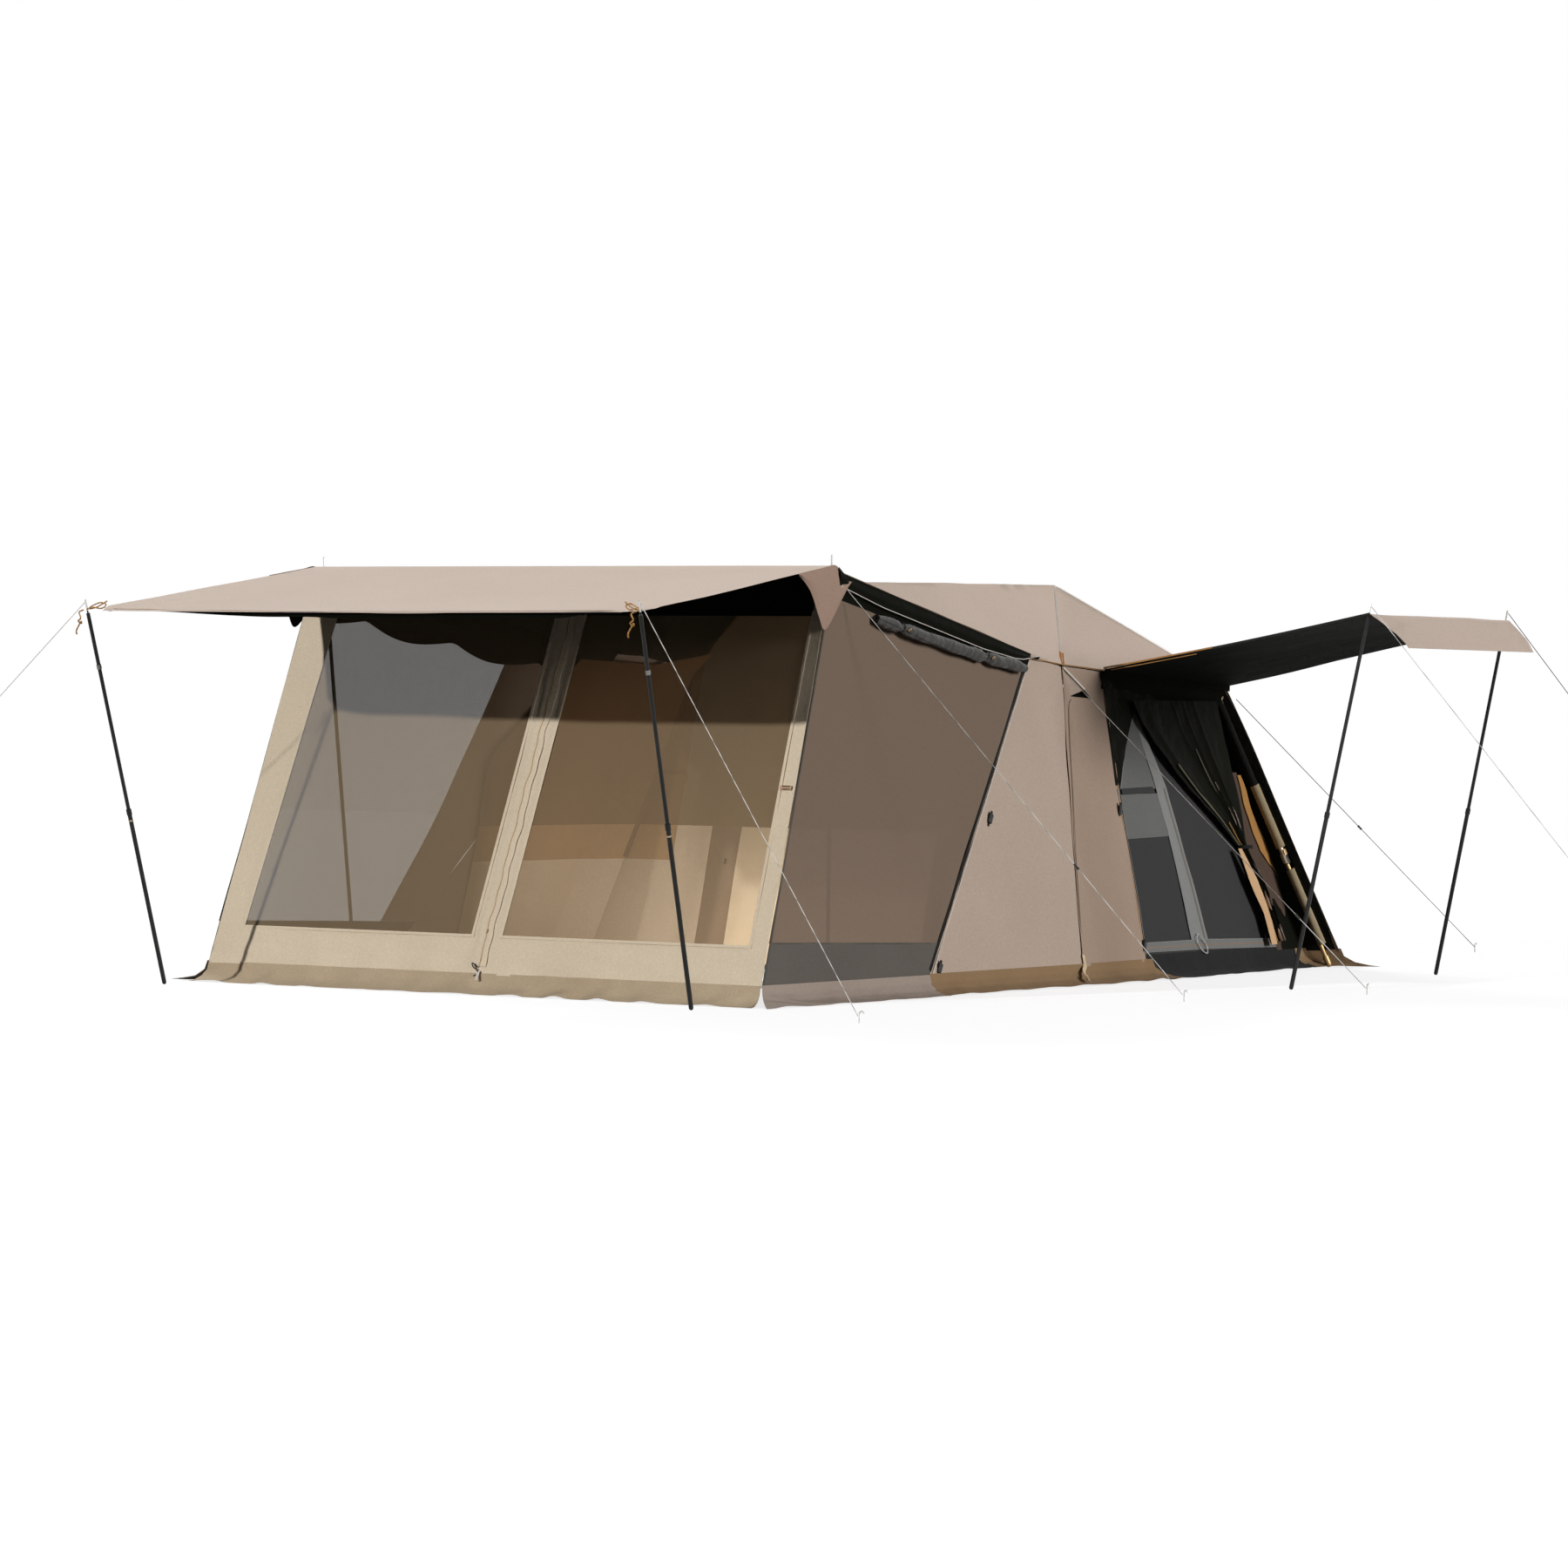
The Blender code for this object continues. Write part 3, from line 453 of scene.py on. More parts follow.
@dataclass(frozen=True)
class BraidedCord(Finish):
    """Braided polyester cord with a reflective fleck, its worn colour.

    The eye sees an even line broken by small marks where the tracer thread comes round.
    """

    def settings(self) -> dict[str, float]:
        """The cord's dullness."""
        return {"Roughness": 0.7, "Specular IOR Level": 0.2}

    def draw(self, tree: bpy.types.NodeTree, places: bpy.types.bpy_prop_collection) -> Pattern:
        """Draw the tracer thread as marks 12 mm apart.

        Args:
            tree: the material's nodes.
            places: the outputs of its texture coordinates.

        Returns:
            The pattern.
        """
        turns = add_node(
            tree, "TexWave", {"Vector": places["Object"], "Scale": wave_scale(0.012), "Distortion": 1.5},
            wave_type="BANDS", bands_direction="DIAGONAL",
        ).outputs["Fac"]
        marks = add_node(tree, "MapRange", {"Value": turns, "From Min": 0.6, "From Max": 0.95}).outputs[0]
        return Pattern(marks, turns, 0.4, 0.0003)


# Polyester Oxford with a sun-proof coating, of the fly and both awnings: a dull, even grey-beige
FLY_CLOTH = WovenCloth("fly_coated_polyester_oxford", "CBB9AB", "C3B1A3", pucker=0.12)
# The same Oxford in the hanging gussets, drawn a step darker as painted shade, so that they stand off the
# wall
GUSSET_SHADED_CLOTH = WovenCloth("gusset_coated_polyester_oxford", "A38A7A", "9A8172", pucker=0.2)
# The fly's inner face, coated black against the sun: a flat dark below every edge
BLACK_COATING = WovenCloth(
    "fly_inner_black_coating", "0E0F0A", "0A0B07", roughness=0.8, sheen=0.0, speckle=0.02, gloss=0.02,
)
# Polyester taffeta of the plain walls: a thin cloth that shows each pucker
WALL_CLOTH = WovenCloth("wall_polyester_taffeta", "B9A798", "AD9B8C", pucker=0.3)
# The same taffeta on the corner strip beside the post, a step darker as painted shade for its turn away from
# the light
STRIP_SHADED_CLOTH = WovenCloth("corner_strip_taffeta", "AA9584", "9E8979", pucker=0.3)
# Cotton-feel polyester of the front wall: a warm cream, the tent's palest cloth
FRONT_CLOTH = WovenCloth("front_cream_polyester_canvas", "DACAB2", "D0BFA6", pucker=0.3)
# Oxford ground skirts: browner, darker and more crumpled than the walls
FRONT_SKIRT = WovenCloth("front_skirt_oxford", "B8A68C", "AA977C", pucker=0.5, pucker_size=0.10)
PANEL_SKIRT = WovenCloth("panel_skirt_oxford", "93795B", "856C50", pucker=0.5, pucker_size=0.10)
HALL_SKIRT = WovenCloth("hall_skirt_oxford", "A39489", "94857A", pucker=0.5, pucker_size=0.10)
# Heavier Oxford of the hall's lower band: a slate grey line above the skirt
BAND_CLOTH = WovenCloth("slate_band_oxford", "65605A", "5A554F", pucker=0.35)
# Taffeta of the rolled covers: crumpled all over, so that the roll breaks up into small lights
ROLLED_CLOTH = WovenCloth(
    "rolled_cover_taffeta", "504F4C", "363533", roughness=0.5, sheen=0.1, pucker=0.7, pucker_size=0.06,
)
# Breathable polyester of the inner walls: a dark upper part, a lighter band and a tan foot, partly the
# cloth's own zones and partly painted shade above and painted sunlight below
INNER_SHADE_CLOTH = WovenCloth("inner_breathable_polyester", "7C5A3C", "704F33", pucker=0.3)
INNER_PALE_CLOTH = WovenCloth("inner_pale_breathable_polyester", "806A50", "766048", pucker=0.3)
INNER_HALF_LIT_CLOTH = WovenCloth("inner_band_polyester", "B48E66", "A88258", pucker=0.3)
INNER_SUNLIT_CLOTH = WovenCloth("inner_low_polyester", "DCC8AE", "D2BCA0", pucker=0.3)
INNER_CREAM_CLOTH = WovenCloth("inner_cream_polyester", "DCC6A6", "D2BA98", pucker=0.3)
INNER_MAUVE_CLOTH = WovenCloth("inner_mauve_polyester", "86705C", "7A6552", pucker=0.3)
# Taffeta and Oxford of the side door: cool greys that set it off from the warm walls
DOOR_BAND_CLOTH = WovenCloth("door_grey_band_taffeta", "8C8C8A", "80807E", pucker=0.3)
BAR_CLOTH = WovenCloth("door_bar_taffeta", "7C7C7A", "727270", pucker=0.3)
PANE_CLOTH = WovenCloth("door_inner_pane_netting", "6E6E6C", "646462", pucker=0.3)
SILL_CLOTH = WovenCloth("door_sill_oxford", "2B2B2B", "232323", pucker=0.4)
# Black coated cloths of the door's cover and the legs' channels: deep folds with hardly a light
CURTAIN_CLOTH = WovenCloth(
    "curtain_black_coated_taffeta", "12120D", "0F0F0B", roughness=0.7, sheen=0.0, pucker=0.5,
    pucker_size=0.08, gloss=0.03,
)
SLEEVE_CLOTH = WovenCloth("leg_sleeve_oxford", "1C1B18", "131210", pucker=0.5, pucker_size=0.06)
# Lining, strip and edge band of the door's cover: brown, tan and peach between the black folds
COVER_LINING = WovenCloth("curtain_brown_lining", "5A4A40", "4C3E35", pucker=0.5, pucker_size=0.08)
TAN_CLOTH = WovenCloth("tan_canvas_strip", "B4854E", "9E7242", pucker=0.6)
PEACH_BAND_CLOTH = WovenCloth("peach_cover_band", "DDB78E", "CCA67E", pucker=0.5)
# Canvas sleeves round the rear legs: beige, wrinkled like a sock
LEG_CLOTH = WovenCloth("beige_leg_cover_canvas", "A8987C", "988868", pucker=0.4)
# Coated polyethylene weave of the groundsheet: coarse threads with a slight shine
GROUND_CLOTH = WovenCloth(
    "groundsheet_polyethylene_weave", "3B3F3E", "303433", roughness=0.55, thread_gap=0.004,
)
# Insect netting: clear in front, where the hall shows through it, and close to solid at the sides
FRONT_NET = Netting("front_tan_netting", "B8A080", "AA9272", cover=0.40)
SIDE_NET = Netting("side_brown_netting", "887667", "79685B", cover=0.97)
# The far side's netting is the same netting drawn darker and greyer, as painted shade on the hall's far
# wall.
FAR_SHADED_NET = Netting("side_far_netting", "74776F", "7C7E76", cover=0.80)
DOOR_NET = Netting("door_charcoal_netting", "4C4C4C", "424242", cover=0.93)
# Woven tapes of the seams and bindings: thin lines that draw the cut of the tent
PALE_PIPING = Webbing("pale_piping_tape", "DCD5CD", "C4BBB1")
BLACK_TAPE = Webbing("black_binding_tape", "1A1917", "11110F")
GREY_TAPE = Webbing("grey_zip_tape", "8C8C8A", "7A7A78")
SLATE_TAPE = Webbing("slate_binding_tape", "5C5852", "4E4A45")
# Olive strips laid on the curtain's folds as painted highlights
FOLD_HIGHLIGHT_TAPE = Webbing("olive_fold_edging", "5E5A48", "4C4A3C")
TAN_TAPE = Webbing("tan_binding_tape", "A67C4C", "8C6638")
SEAM_TAPE = Webbing("seam_thread_tape", "8E7C6C", "7E6D5E")
ZIP_TAPE = Webbing("tan_zip_chain_tape", "B99B72", "A4855C")
CREAM_TAPE = Webbing("cream_strap_webbing", "D8C4A4", "C4AE8C")
PEACH_TAPE = Webbing("peach_edge_tape", "C9A98A", "B8977A")
ORANGE_TAPE = Webbing("orange_reinforcement_tape", "B4783E", "8E5A2C")
# Powder-coated steel tube of the awning poles, hall poles and ribs: a dark line with one light
BLACK_STEEL = TubeMetal("powder_coated_black_steel", "0C0C0B", "1C1B19", 0.0, 0.42, gloss=0.22)
# Anodised aluminium of the legs and the ridge: a soft metal light on beige and brass
BEIGE_TUBE = TubeMetal("anodised_beige_aluminium", "A3927A", "8C7B62", 0.6, 0.40)
BRASS_TUBE = TubeMetal("anodised_brass_aluminium", "8E7650", "74603F", 0.7, 0.38)
# Zinc-plated steel of pegs and pins: the tent's only bright sparks
SILVER_PIN = TubeMetal("zinc_plated_steel_pin", "C4C4C0", "9C9C98", 1.0, 0.28)
# Moulded nylon and acetal of hubs, clips and toggles: small satin shapes
BLACK_PLASTIC = MouldedPlastic("moulded_black_nylon", "161616", "222220")
TAN_PLASTIC = MouldedPlastic("moulded_tan_acetal", "B08C5A", "96744A")
CREAM_PLASTIC = MouldedPlastic("moulded_cream_acetal", "C9B592", "B5A07C")
# Braided cords: pale guylines, tan lacing and black pulls
GUY_CORD = BraidedCord("braided_reflective_cord", "D4D2CE", "9A9894")
TAN_CORD = BraidedCord("braided_tan_cord", "B58A54", "7C5A30")
BLACK_CORD = BraidedCord("braided_black_cord", "1C1B1A", "3A3836")


@dataclass(frozen=True)
class Pull:
    """Folds that fan out from a point where cloth is held, such as a corner or a tie."""

    anchor: Vector
    folds: int
    depth: float
    reach: float
    turn: float = 0.0

    def depth_at(self, point: Vector, facing: Vector) -> float:
        """How far the fold lifts the cloth.

        Args:
            point: a place on the cloth.
            facing: the cloth's normal there.

        Returns:
            The lift along the normal, in metres.
        """
        away = point - self.anchor
        first = facing.orthogonal().normalized()
        second = facing.cross(first)
        angle = math.atan2(away.dot(second), away.dot(first))
        distance = away.length
        fade = math.exp(-distance / self.reach) * distance / (distance + 0.08)
        return self.depth * fade * math.sin(self.folds * angle + self.turn)


@dataclass(frozen=True)
class Ripple:
    """Long waves that run across a direction, uneven as real cloth is."""

    along: Vector
    length: float
    depth: float
    seed: float = 0.0
    where: Callable[[Vector], float] | None = None

    def depth_at(self, point: Vector, facing: Vector) -> float:
        """How far the wave lifts the cloth.

        Args:
            point: a place on the cloth.
            facing: the cloth's normal there, not used.

        Returns:
            The lift along the normal, in metres.
        """
        drift = noise.noise(point * 1.3 + Vector((self.seed, 0, 0)))
        wave = math.sin(math.tau * point.dot(self.along) / self.length + 3.0 * drift + self.seed)
        strength = 0.6 + 0.8 * noise.noise(point * 0.9 + Vector((0, self.seed + 7.0, 0)))
        share = self.where(point) if self.where else 1.0
        return self.depth * wave * strength * share


@dataclass(frozen=True)
class Slack:
    """Loose unevenness of cloth that nothing pulls straight."""

    depth: float
    size: float
    seed: float = 0.0
    where: Callable[[Vector], float] | None = None

    def depth_at(self, point: Vector, facing: Vector) -> float:
        """How far the slack lifts the cloth at a point, in metres. The normal isn't used."""
        share = self.where(point) if self.where else 1.0
        shift = Vector((self.seed, self.seed, self.seed))
        return self.depth * share * noise.noise(point / self.size + shift)


Crease = Pull | Ripple | Slack


@dataclass(frozen=True)
class RuledWall:
    """A wall stretched between a straight line at its foot and one at its head."""

    foot_start: Vector
    foot_end: Vector
    head_start: Vector
    head_end: Vector
    outward: Vector

    def at(self, along: float, up: float, proud: float = 0.0) -> Vector:
        """A point of the wall.

        Args:
            along: the share of the way from the start to the end.
            up: the share of the way from the foot to the head.
            proud: how far the point stands off the wall.

        Returns:
            The point.
        """
        foot = self.foot_start.lerp(self.foot_end, along)
        head = self.head_start.lerp(self.head_end, along)
        point = foot.lerp(head, up)
        return point + self.normal(along, up) * proud if proud else point

    def normal(self, along: float, up: float) -> Vector:
        """The wall's normal at a point, on its outer side."""
        across = (self.foot_end - self.foot_start).lerp(self.head_end - self.head_start, up)
        rise = self.head_start.lerp(self.head_end, along) - self.foot_start.lerp(self.foot_end, along)
        facing = across.cross(rise).normalized()
        return facing if facing.dot(self.outward) > 0 else -facing

    def share_up(self, along: float, z: float) -> float:
        """The share of the way up at which the wall reaches a height."""
        foot = self.foot_start.lerp(self.foot_end, along)
        head = self.head_start.lerp(self.head_end, along)
        return (z - foot.z) / (head.z - foot.z)

    def find(self, place: float, z: float) -> tuple[float, float]:
        """Find a point of the wall by its height and its place along the wall.

        Args:
            place: the point's x on a front or rear wall, or its y on a side wall.
            z: the point's height.

        Returns:
            The shares along and up, where along may lie a little outside 0 and 1.
        """
        axis = 0 if abs(self.outward.y) > abs(self.outward.x) else 1
        low, high = -0.5, 1.5
        rising = self.foot_end[axis] > self.foot_start[axis]
        for _ in range(24):
            middle = (low + high) / 2
            found = self.at(middle, self.share_up(middle, z))[axis]
            if (found < place) == rising:
                low = middle
            else:
                high = middle
        return low, self.share_up(low, z)

    def spot(self, place: float, z: float, proud: float = 0.0) -> Vector:
        """The wall's point at a place and a height, standing proud of the wall."""
        along, up = self.find(place, z)
        return self.at(along, up, proud)


def wall_between(foot: Sequence[Vector], head: Sequence[Vector], outward: Sequence[float]) -> RuledWall:
    """A wall from the two ends of its foot and the two ends of its head."""
    return RuledWall(foot[0], foot[1], head[0], head[1], Vector(outward))


def on_side(side: Side, x: float, y: float, z: float) -> Vector:
    """A point given for the right side, mirrored where the side is the left."""
    return Vector((side.value * x, y, z))


@dataclass(frozen=True)
class Shell:
    """The walls of the tent as surfaces, from the plan's corners."""

    plan: Plan

    def hall_head(self, side: Side, share: float) -> Vector:
        """A point just under the hall's eave, from its front corner to the post."""
        p = self.plan
        front = on_side(side, p.hall_top_half_width, p.hall_top_y, p.roof_z - p.under_roof)
        post = on_side(side, p.eave_x, -p.eave_y, p.front_eave_z - p.under_roof)
        return front.lerp(post, share)

    def front(self) -> RuledWall:
        """The hall's front wall.

        Returns:
            The wall's surface.
        """
        p = self.plan
        head_z = p.roof_z - p.under_roof
        return wall_between(
            [Vector((s * p.hall_base_half_width, p.hall_base_y, p.wall_foot_z)) for s in (-1, 1)],
            [Vector((s * p.hall_top_half_width, p.hall_top_y, head_z)) for s in (-1, 1)],
            (0, -1, 0.3),
        )

    def mesh_side(self, side: Side) -> RuledWall:
        """The hall's mesh wall, from the front corner to the seam."""
        p = self.plan
        return wall_between(
            [on_side(side, p.hall_base_half_width, y, p.wall_foot_z)
             for y in (p.hall_base_y, p.seam_base_y)],
            [self.hall_head(side, 0), self.hall_head(side, p.seam_top_share)],
            (side.value, 0, 0.2),
        )

    def panel_side(self, side: Side) -> RuledWall:
        """The plain panel, from the seam to the post.

        Args:
            side: which side of the tent.

        Returns:
            The panel's surface.
        """
        p = self.plan
        return wall_between(
            [
                on_side(side, p.hall_base_half_width, p.seam_base_y, p.wall_foot_z),
                on_side(side, *p.post_base, p.wall_foot_z),
            ],
            [self.hall_head(side, p.seam_top_share), self.hall_head(side, 1)],
            (side.value, 0, 0.2),
        )

    def door_side(self, side: Side) -> RuledWall:
        """The sleeping room's side wall, from the post to the door's rear edge.

        Args:
            side: which side of the tent.

        Returns:
            The wall's surface.
        """
        p = self.plan
        head_z = p.rear_eave_z - p.side_head_drop
        return wall_between(
            [on_side(side, *p.post_base, p.wall_foot_z), on_side(side, *p.door_rear_base, p.wall_foot_z)],
            [self.hall_head(side, 1), on_side(side, *p.door_rear_head, head_z)],
            (side.value, 0, 0.2),
        )

    def return_side(self, side: Side) -> RuledWall:
        """The short stretch of side wall behind the rear leg.

        Args:
            side: which side of the tent.

        Returns:
            The stretch's surface.
        """
        p = self.plan
        head_z = p.rear_eave_z - p.side_head_drop
        return wall_between(
            [on_side(side, *corner, p.wall_foot_z) for corner in (p.door_rear_base, p.return_rear_base)],
            [on_side(side, *corner, head_z) for corner in (p.door_rear_head, p.return_rear_head)],
            (side.value, 0, 0.2),
        )

    def rear(self) -> RuledWall:
        """The sleeping room's rear wall.

        Returns:
            The wall's surface.
        """
        p = self.plan
        head_z = p.rear_eave_z - p.under_roof
        return wall_between(
            [Vector((s * p.rear_wall_base[0], p.rear_wall_base[1], p.wall_foot_z)) for s in (-1, 1)],
            [Vector((s * (p.eave_x - 0.004), p.eave_y - 0.004, head_z)) for s in (-1, 1)],
            (0, 1, 0.3),
        )


SHELL = Shell(PLAN)


def deselect() -> None:
    """Leave nothing selected, so that an operator acts on the next piece alone."""
    if bpy.context.object and bpy.context.object.mode != "OBJECT":
        bpy.ops.object.mode_set(mode="OBJECT")
    bpy.ops.object.select_all(action="DESELECT")


def activate(piece: bpy.types.Object) -> None:
    """Select one piece alone and make it the active one."""
    deselect()
    piece.select_set(True)
    bpy.context.view_layer.objects.active = piece


def refine(control: Rows, across: Sequence[int], up: Sequence[int]) -> np.ndarray:
    """Fill a control grid with finer rows and columns on straight lines.

    Args:
        control: rows of points, from the bottom up.
        across: the cells in each stretch between two control columns.
        up: the cells in each stretch between two control rows.

    Returns:
        Points as rows, columns and coordinates.
    """
    points = as_grid(control)

    def spread(values: np.ndarray, counts: Sequence[int]) -> np.ndarray:
        """Fill the stretches along the first axis."""
        parts = []
        for place, count in enumerate(counts):
            steps = (np.arange(count) / count).reshape(-1, *([1] * (values.ndim - 1)))
            parts.append(values[place] * (1 - steps) + values[place + 1] * steps)
        parts.append(values[-1:])
        return np.concatenate(parts)

    tall = spread(points, up)
    return spread(tall.transpose(1, 0, 2), across).transpose(1, 0, 2)


def as_grid(rows: Rows) -> np.ndarray:
    """Turn rows of points into an array of rows, columns and coordinates."""
    return np.array([[tuple(point) for point in row] for row in rows], dtype=float)


def sample(place: Callable[[float, float], Vector], across: int, up: int) -> np.ndarray:
    """Read a surface at even steps.

    Args:
        place: the surface's point for two shares from 0 to 1.
        across: cells along the first share.
        up: cells along the second share.

    Returns:
        Points as rows, columns and coordinates.
    """
    return as_grid([[place(column, row) for column in shares(across)] for row in shares(up)])


def patch(
    wall: RuledWall, control: Sequence[Sequence[tuple[float, float]]], across: Sequence[int],
    up: Sequence[int], proud: float = 0.0,
) -> np.ndarray:
    """Lay a finer grid on a wall from a few corners.

    Args:
        wall: the wall that it lies on.
        control: rows of places on the wall, each a place along it and a height, from the bottom up.
        across: the cells in each stretch between two control columns.
        up: the cells in each stretch between two control rows.
        proud: how far the grid stands off the wall.

    Returns:
        Points as rows, columns and coordinates.
    """
    flat = refine([[Vector((place, z, 0.0)) for place, z in row] for row in control], across, up)
    return as_grid([[wall.spot(place, z, proud) for place, z, _ in row] for row in flat])


def line_on(
    wall: RuledWall, places: Sequence[tuple[float, float]], proud: float = 0.0, step: float = 0.03,
) -> list[Vector]:
    """Read a line on a wall through places along it and heights, at even steps.

    Args:
        wall: the wall that it lies on.
        places: the line's corners, each a place along the wall and a height.
        proud: how far the line stands off the wall.
        step: the length of a step.

    Returns:
        The line's points.
    """
    line = []
    for (place, z), (next_place, next_z) in zip(places, places[1:]):
        count = max(1, round(math.hypot(next_place - place, next_z - z) / step))
        for part in range(count):
            share = part / count
            line.append(wall.spot(place + (next_place - place) * share, z + (next_z - z) * share, proud))
    line.append(wall.spot(*places[-1], proud))
    return line


@dataclass
class Cut:
    """A finished sheet of cloth with the size that it was cut to."""

    piece: bpy.types.Object
    width: float
    length: float
    area: float


def grid_mesh(name: str, points: np.ndarray) -> bpy.types.Object:
    """Add a grid and lay it on points, with its UV map in metres along the cloth.

    Args:
        name: the object's name.
        points: rows, columns and coordinates.

    Returns:
        The grid, one face thick.
    """
    rows, columns = points.shape[0] - 1, points.shape[1] - 1
    deselect()
    bpy.ops.mesh.primitive_grid_add(x_subdivisions=columns, y_subdivisions=rows, size=1.0)
    piece = bpy.context.object
    piece.name = name
    piece.data.name = name
    mesh = piece.data
    flat = np.empty(len(mesh.vertices) * 3)
    mesh.vertices.foreach_get("co", flat)
    flat = flat.reshape(-1, 3)
    column = np.rint((flat[:, 0] + 0.5) * columns).astype(int)
    row = np.rint((flat[:, 1] + 0.5) * rows).astype(int)
    mesh.vertices.foreach_set("co", points[row, column].ravel())
    along = np.zeros(points.shape[:2])
    along[:, 1:] = np.cumsum(np.linalg.norm(np.diff(points, axis=1), axis=2), axis=1)
    up = np.zeros(points.shape[:2])
    up[1:, :] = np.cumsum(np.linalg.norm(np.diff(points, axis=0), axis=2), axis=0)
    corner = np.empty(len(mesh.loops), dtype=int)
    mesh.loops.foreach_get("vertex_index", corner)
    spread = np.stack([along[row[corner], column[corner]], up[row[corner], column[corner]]], axis=1)
    mesh.uv_layers.active.data.foreach_set("uv", spread.ravel())
    mesh.update()
    return piece


def crease(piece: bpy.types.Object, creases: Iterable[Crease]) -> None:
    """Move each point of a cloth along its normal by what the creases say, and keep it off the ground.

    Args:
        piece: the cloth.
        creases: the folds, ripples and slack on it.
    """
    mesh = piece.data
    facings = [Vector(normal.vector) for normal in mesh.vertex_normals]
    for vertex, facing in zip(mesh.vertices, facings):
        lift = sum(fold.depth_at(vertex.co, facing) for fold in creases)
        vertex.co = vertex.co + facing * lift
        vertex.co.z = max(vertex.co.z, LOWEST_CLOTH)
    mesh.update()


def thicken(piece: bpy.types.Object, thickness: float, inner_slot: int = 0) -> None:
    """Give a sheet its thickness, inwards from its outer face.

    Args:
        piece: the sheet.
        thickness: how thick it becomes.
        inner_slot: the material slot of its inner face.
    """
    solid = piece.modifiers.new("cloth", "SOLIDIFY")
    solid.thickness = thickness
    solid.offset = -1.0
    solid.use_even_offset = False
    solid.material_offset = inner_slot
    activate(piece)
    bpy.ops.object.modifier_apply(modifier=solid.name)


def edit_clean(piece: bpy.types.Object) -> None:
    """Merge points that lie on each other and dissolve faces with no area."""
    activate(piece)
    bpy.ops.object.mode_set(mode="EDIT")
    bpy.ops.mesh.select_all(action="SELECT")
    bpy.ops.mesh.remove_doubles(threshold=MERGE_GAP)
    bpy.ops.mesh.dissolve_degenerate(threshold=MERGE_GAP)
    bpy.ops.object.mode_set(mode="OBJECT")


def delete_faces(piece: bpy.types.Object, gone: Callable[[Vector], bool]) -> None:
    """Delete the faces whose centre a test picks.

    Args:
        piece: the mesh.
        gone: tells of a face's centre whether the face goes.
    """
    activate(piece)
    bpy.context.tool_settings.mesh_select_mode = (False, False, True)
    mesh = piece.data
    mesh.vertices.foreach_set("select", [False] * len(mesh.vertices))
    mesh.edges.foreach_set("select", [False] * len(mesh.edges))
    for polygon in mesh.polygons:
        polygon.select = gone(polygon.center)
    bpy.ops.object.mode_set(mode="EDIT")
    bpy.ops.mesh.delete(type="FACE")
    bpy.ops.object.mode_set(mode="OBJECT")


def smooth(piece: bpy.types.Object, angle: float) -> None:
    """Shade a piece smooth, with sharp edges past an angle in degrees."""
    activate(piece)
    bpy.ops.object.shade_smooth_by_angle(angle=math.radians(angle))


def settle(piece: bpy.types.Object, angle: float) -> bpy.types.Object:
    """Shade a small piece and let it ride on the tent.

    Args:
        piece: the piece.
        angle: the angle past which its edges stay sharp, in degrees.

    Returns:
        The same piece.
    """
    smooth(piece, angle)
    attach(piece, ROOT)
    return piece


def make_cloth(
    name: str, points: np.ndarray, outward: Sequence[float], outer: Finish, inner: Finish | None = None,
    creases: Sequence[Crease] = (), thickness: float = CLOTH_THICKNESS,
    gone: Callable[[Vector], bool] | None = None, clean: bool = False,
) -> Cut:
    """Make a sheet of cloth on points and give it folds, a thickness and its two faces.

    Args:
        name: the piece's name.
        points: rows, columns and coordinates of its outer face.
        outward: a direction on the outer face's side, at the cloth's middle.
        outer: the outer face's finish.
        inner: the inner face's finish, or none for the same.
        creases: folds, ripples and slack.
        thickness: how thick the cloth is drawn.
        gone: picks the faces that are cut out, by their centre.
        clean: merges points where columns run together.

    Returns:
        The cloth and what it was cut from.
    """
    middle = points[points.shape[0] // 2, points.shape[1] // 2]
    across = points[points.shape[0] // 2, points.shape[1] // 2 - 1] - middle
    rise = points[points.shape[0] // 2 - 1, points.shape[1] // 2] - middle
    if Vector(np.cross(across, rise)).dot(Vector(outward)) < 0:
        points = points[:, ::-1]
    piece = grid_mesh(name, points)
    if clean:
        edit_clean(piece)
    if gone:
        delete_faces(piece, gone)
    if creases:
        crease(piece, creases)
    area = sum(polygon.area for polygon in piece.data.polygons)
    width = float(np.linalg.norm(np.diff(points, axis=1), axis=2).sum(axis=1).max())
    length = float(np.linalg.norm(np.diff(points, axis=0), axis=2).sum(axis=0).max())
    piece.data.materials.append(outer.make())
    piece.data.materials.append((inner or outer).make())
    thicken(piece, thickness, 1)
    smooth(piece, 50)
    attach(piece, ROOT)
    LOG.info("%s: %.2f by %.2f m", name, width, length)
    return Cut(piece, width, length, clamp(area, LEAST_AREA_SHARE * width * length, width * length))


def declare(
    nodes: Sequence[str] = (),
) -> None:
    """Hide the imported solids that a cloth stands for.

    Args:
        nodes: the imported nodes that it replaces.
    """
    if nodes:
        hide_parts(*nodes)


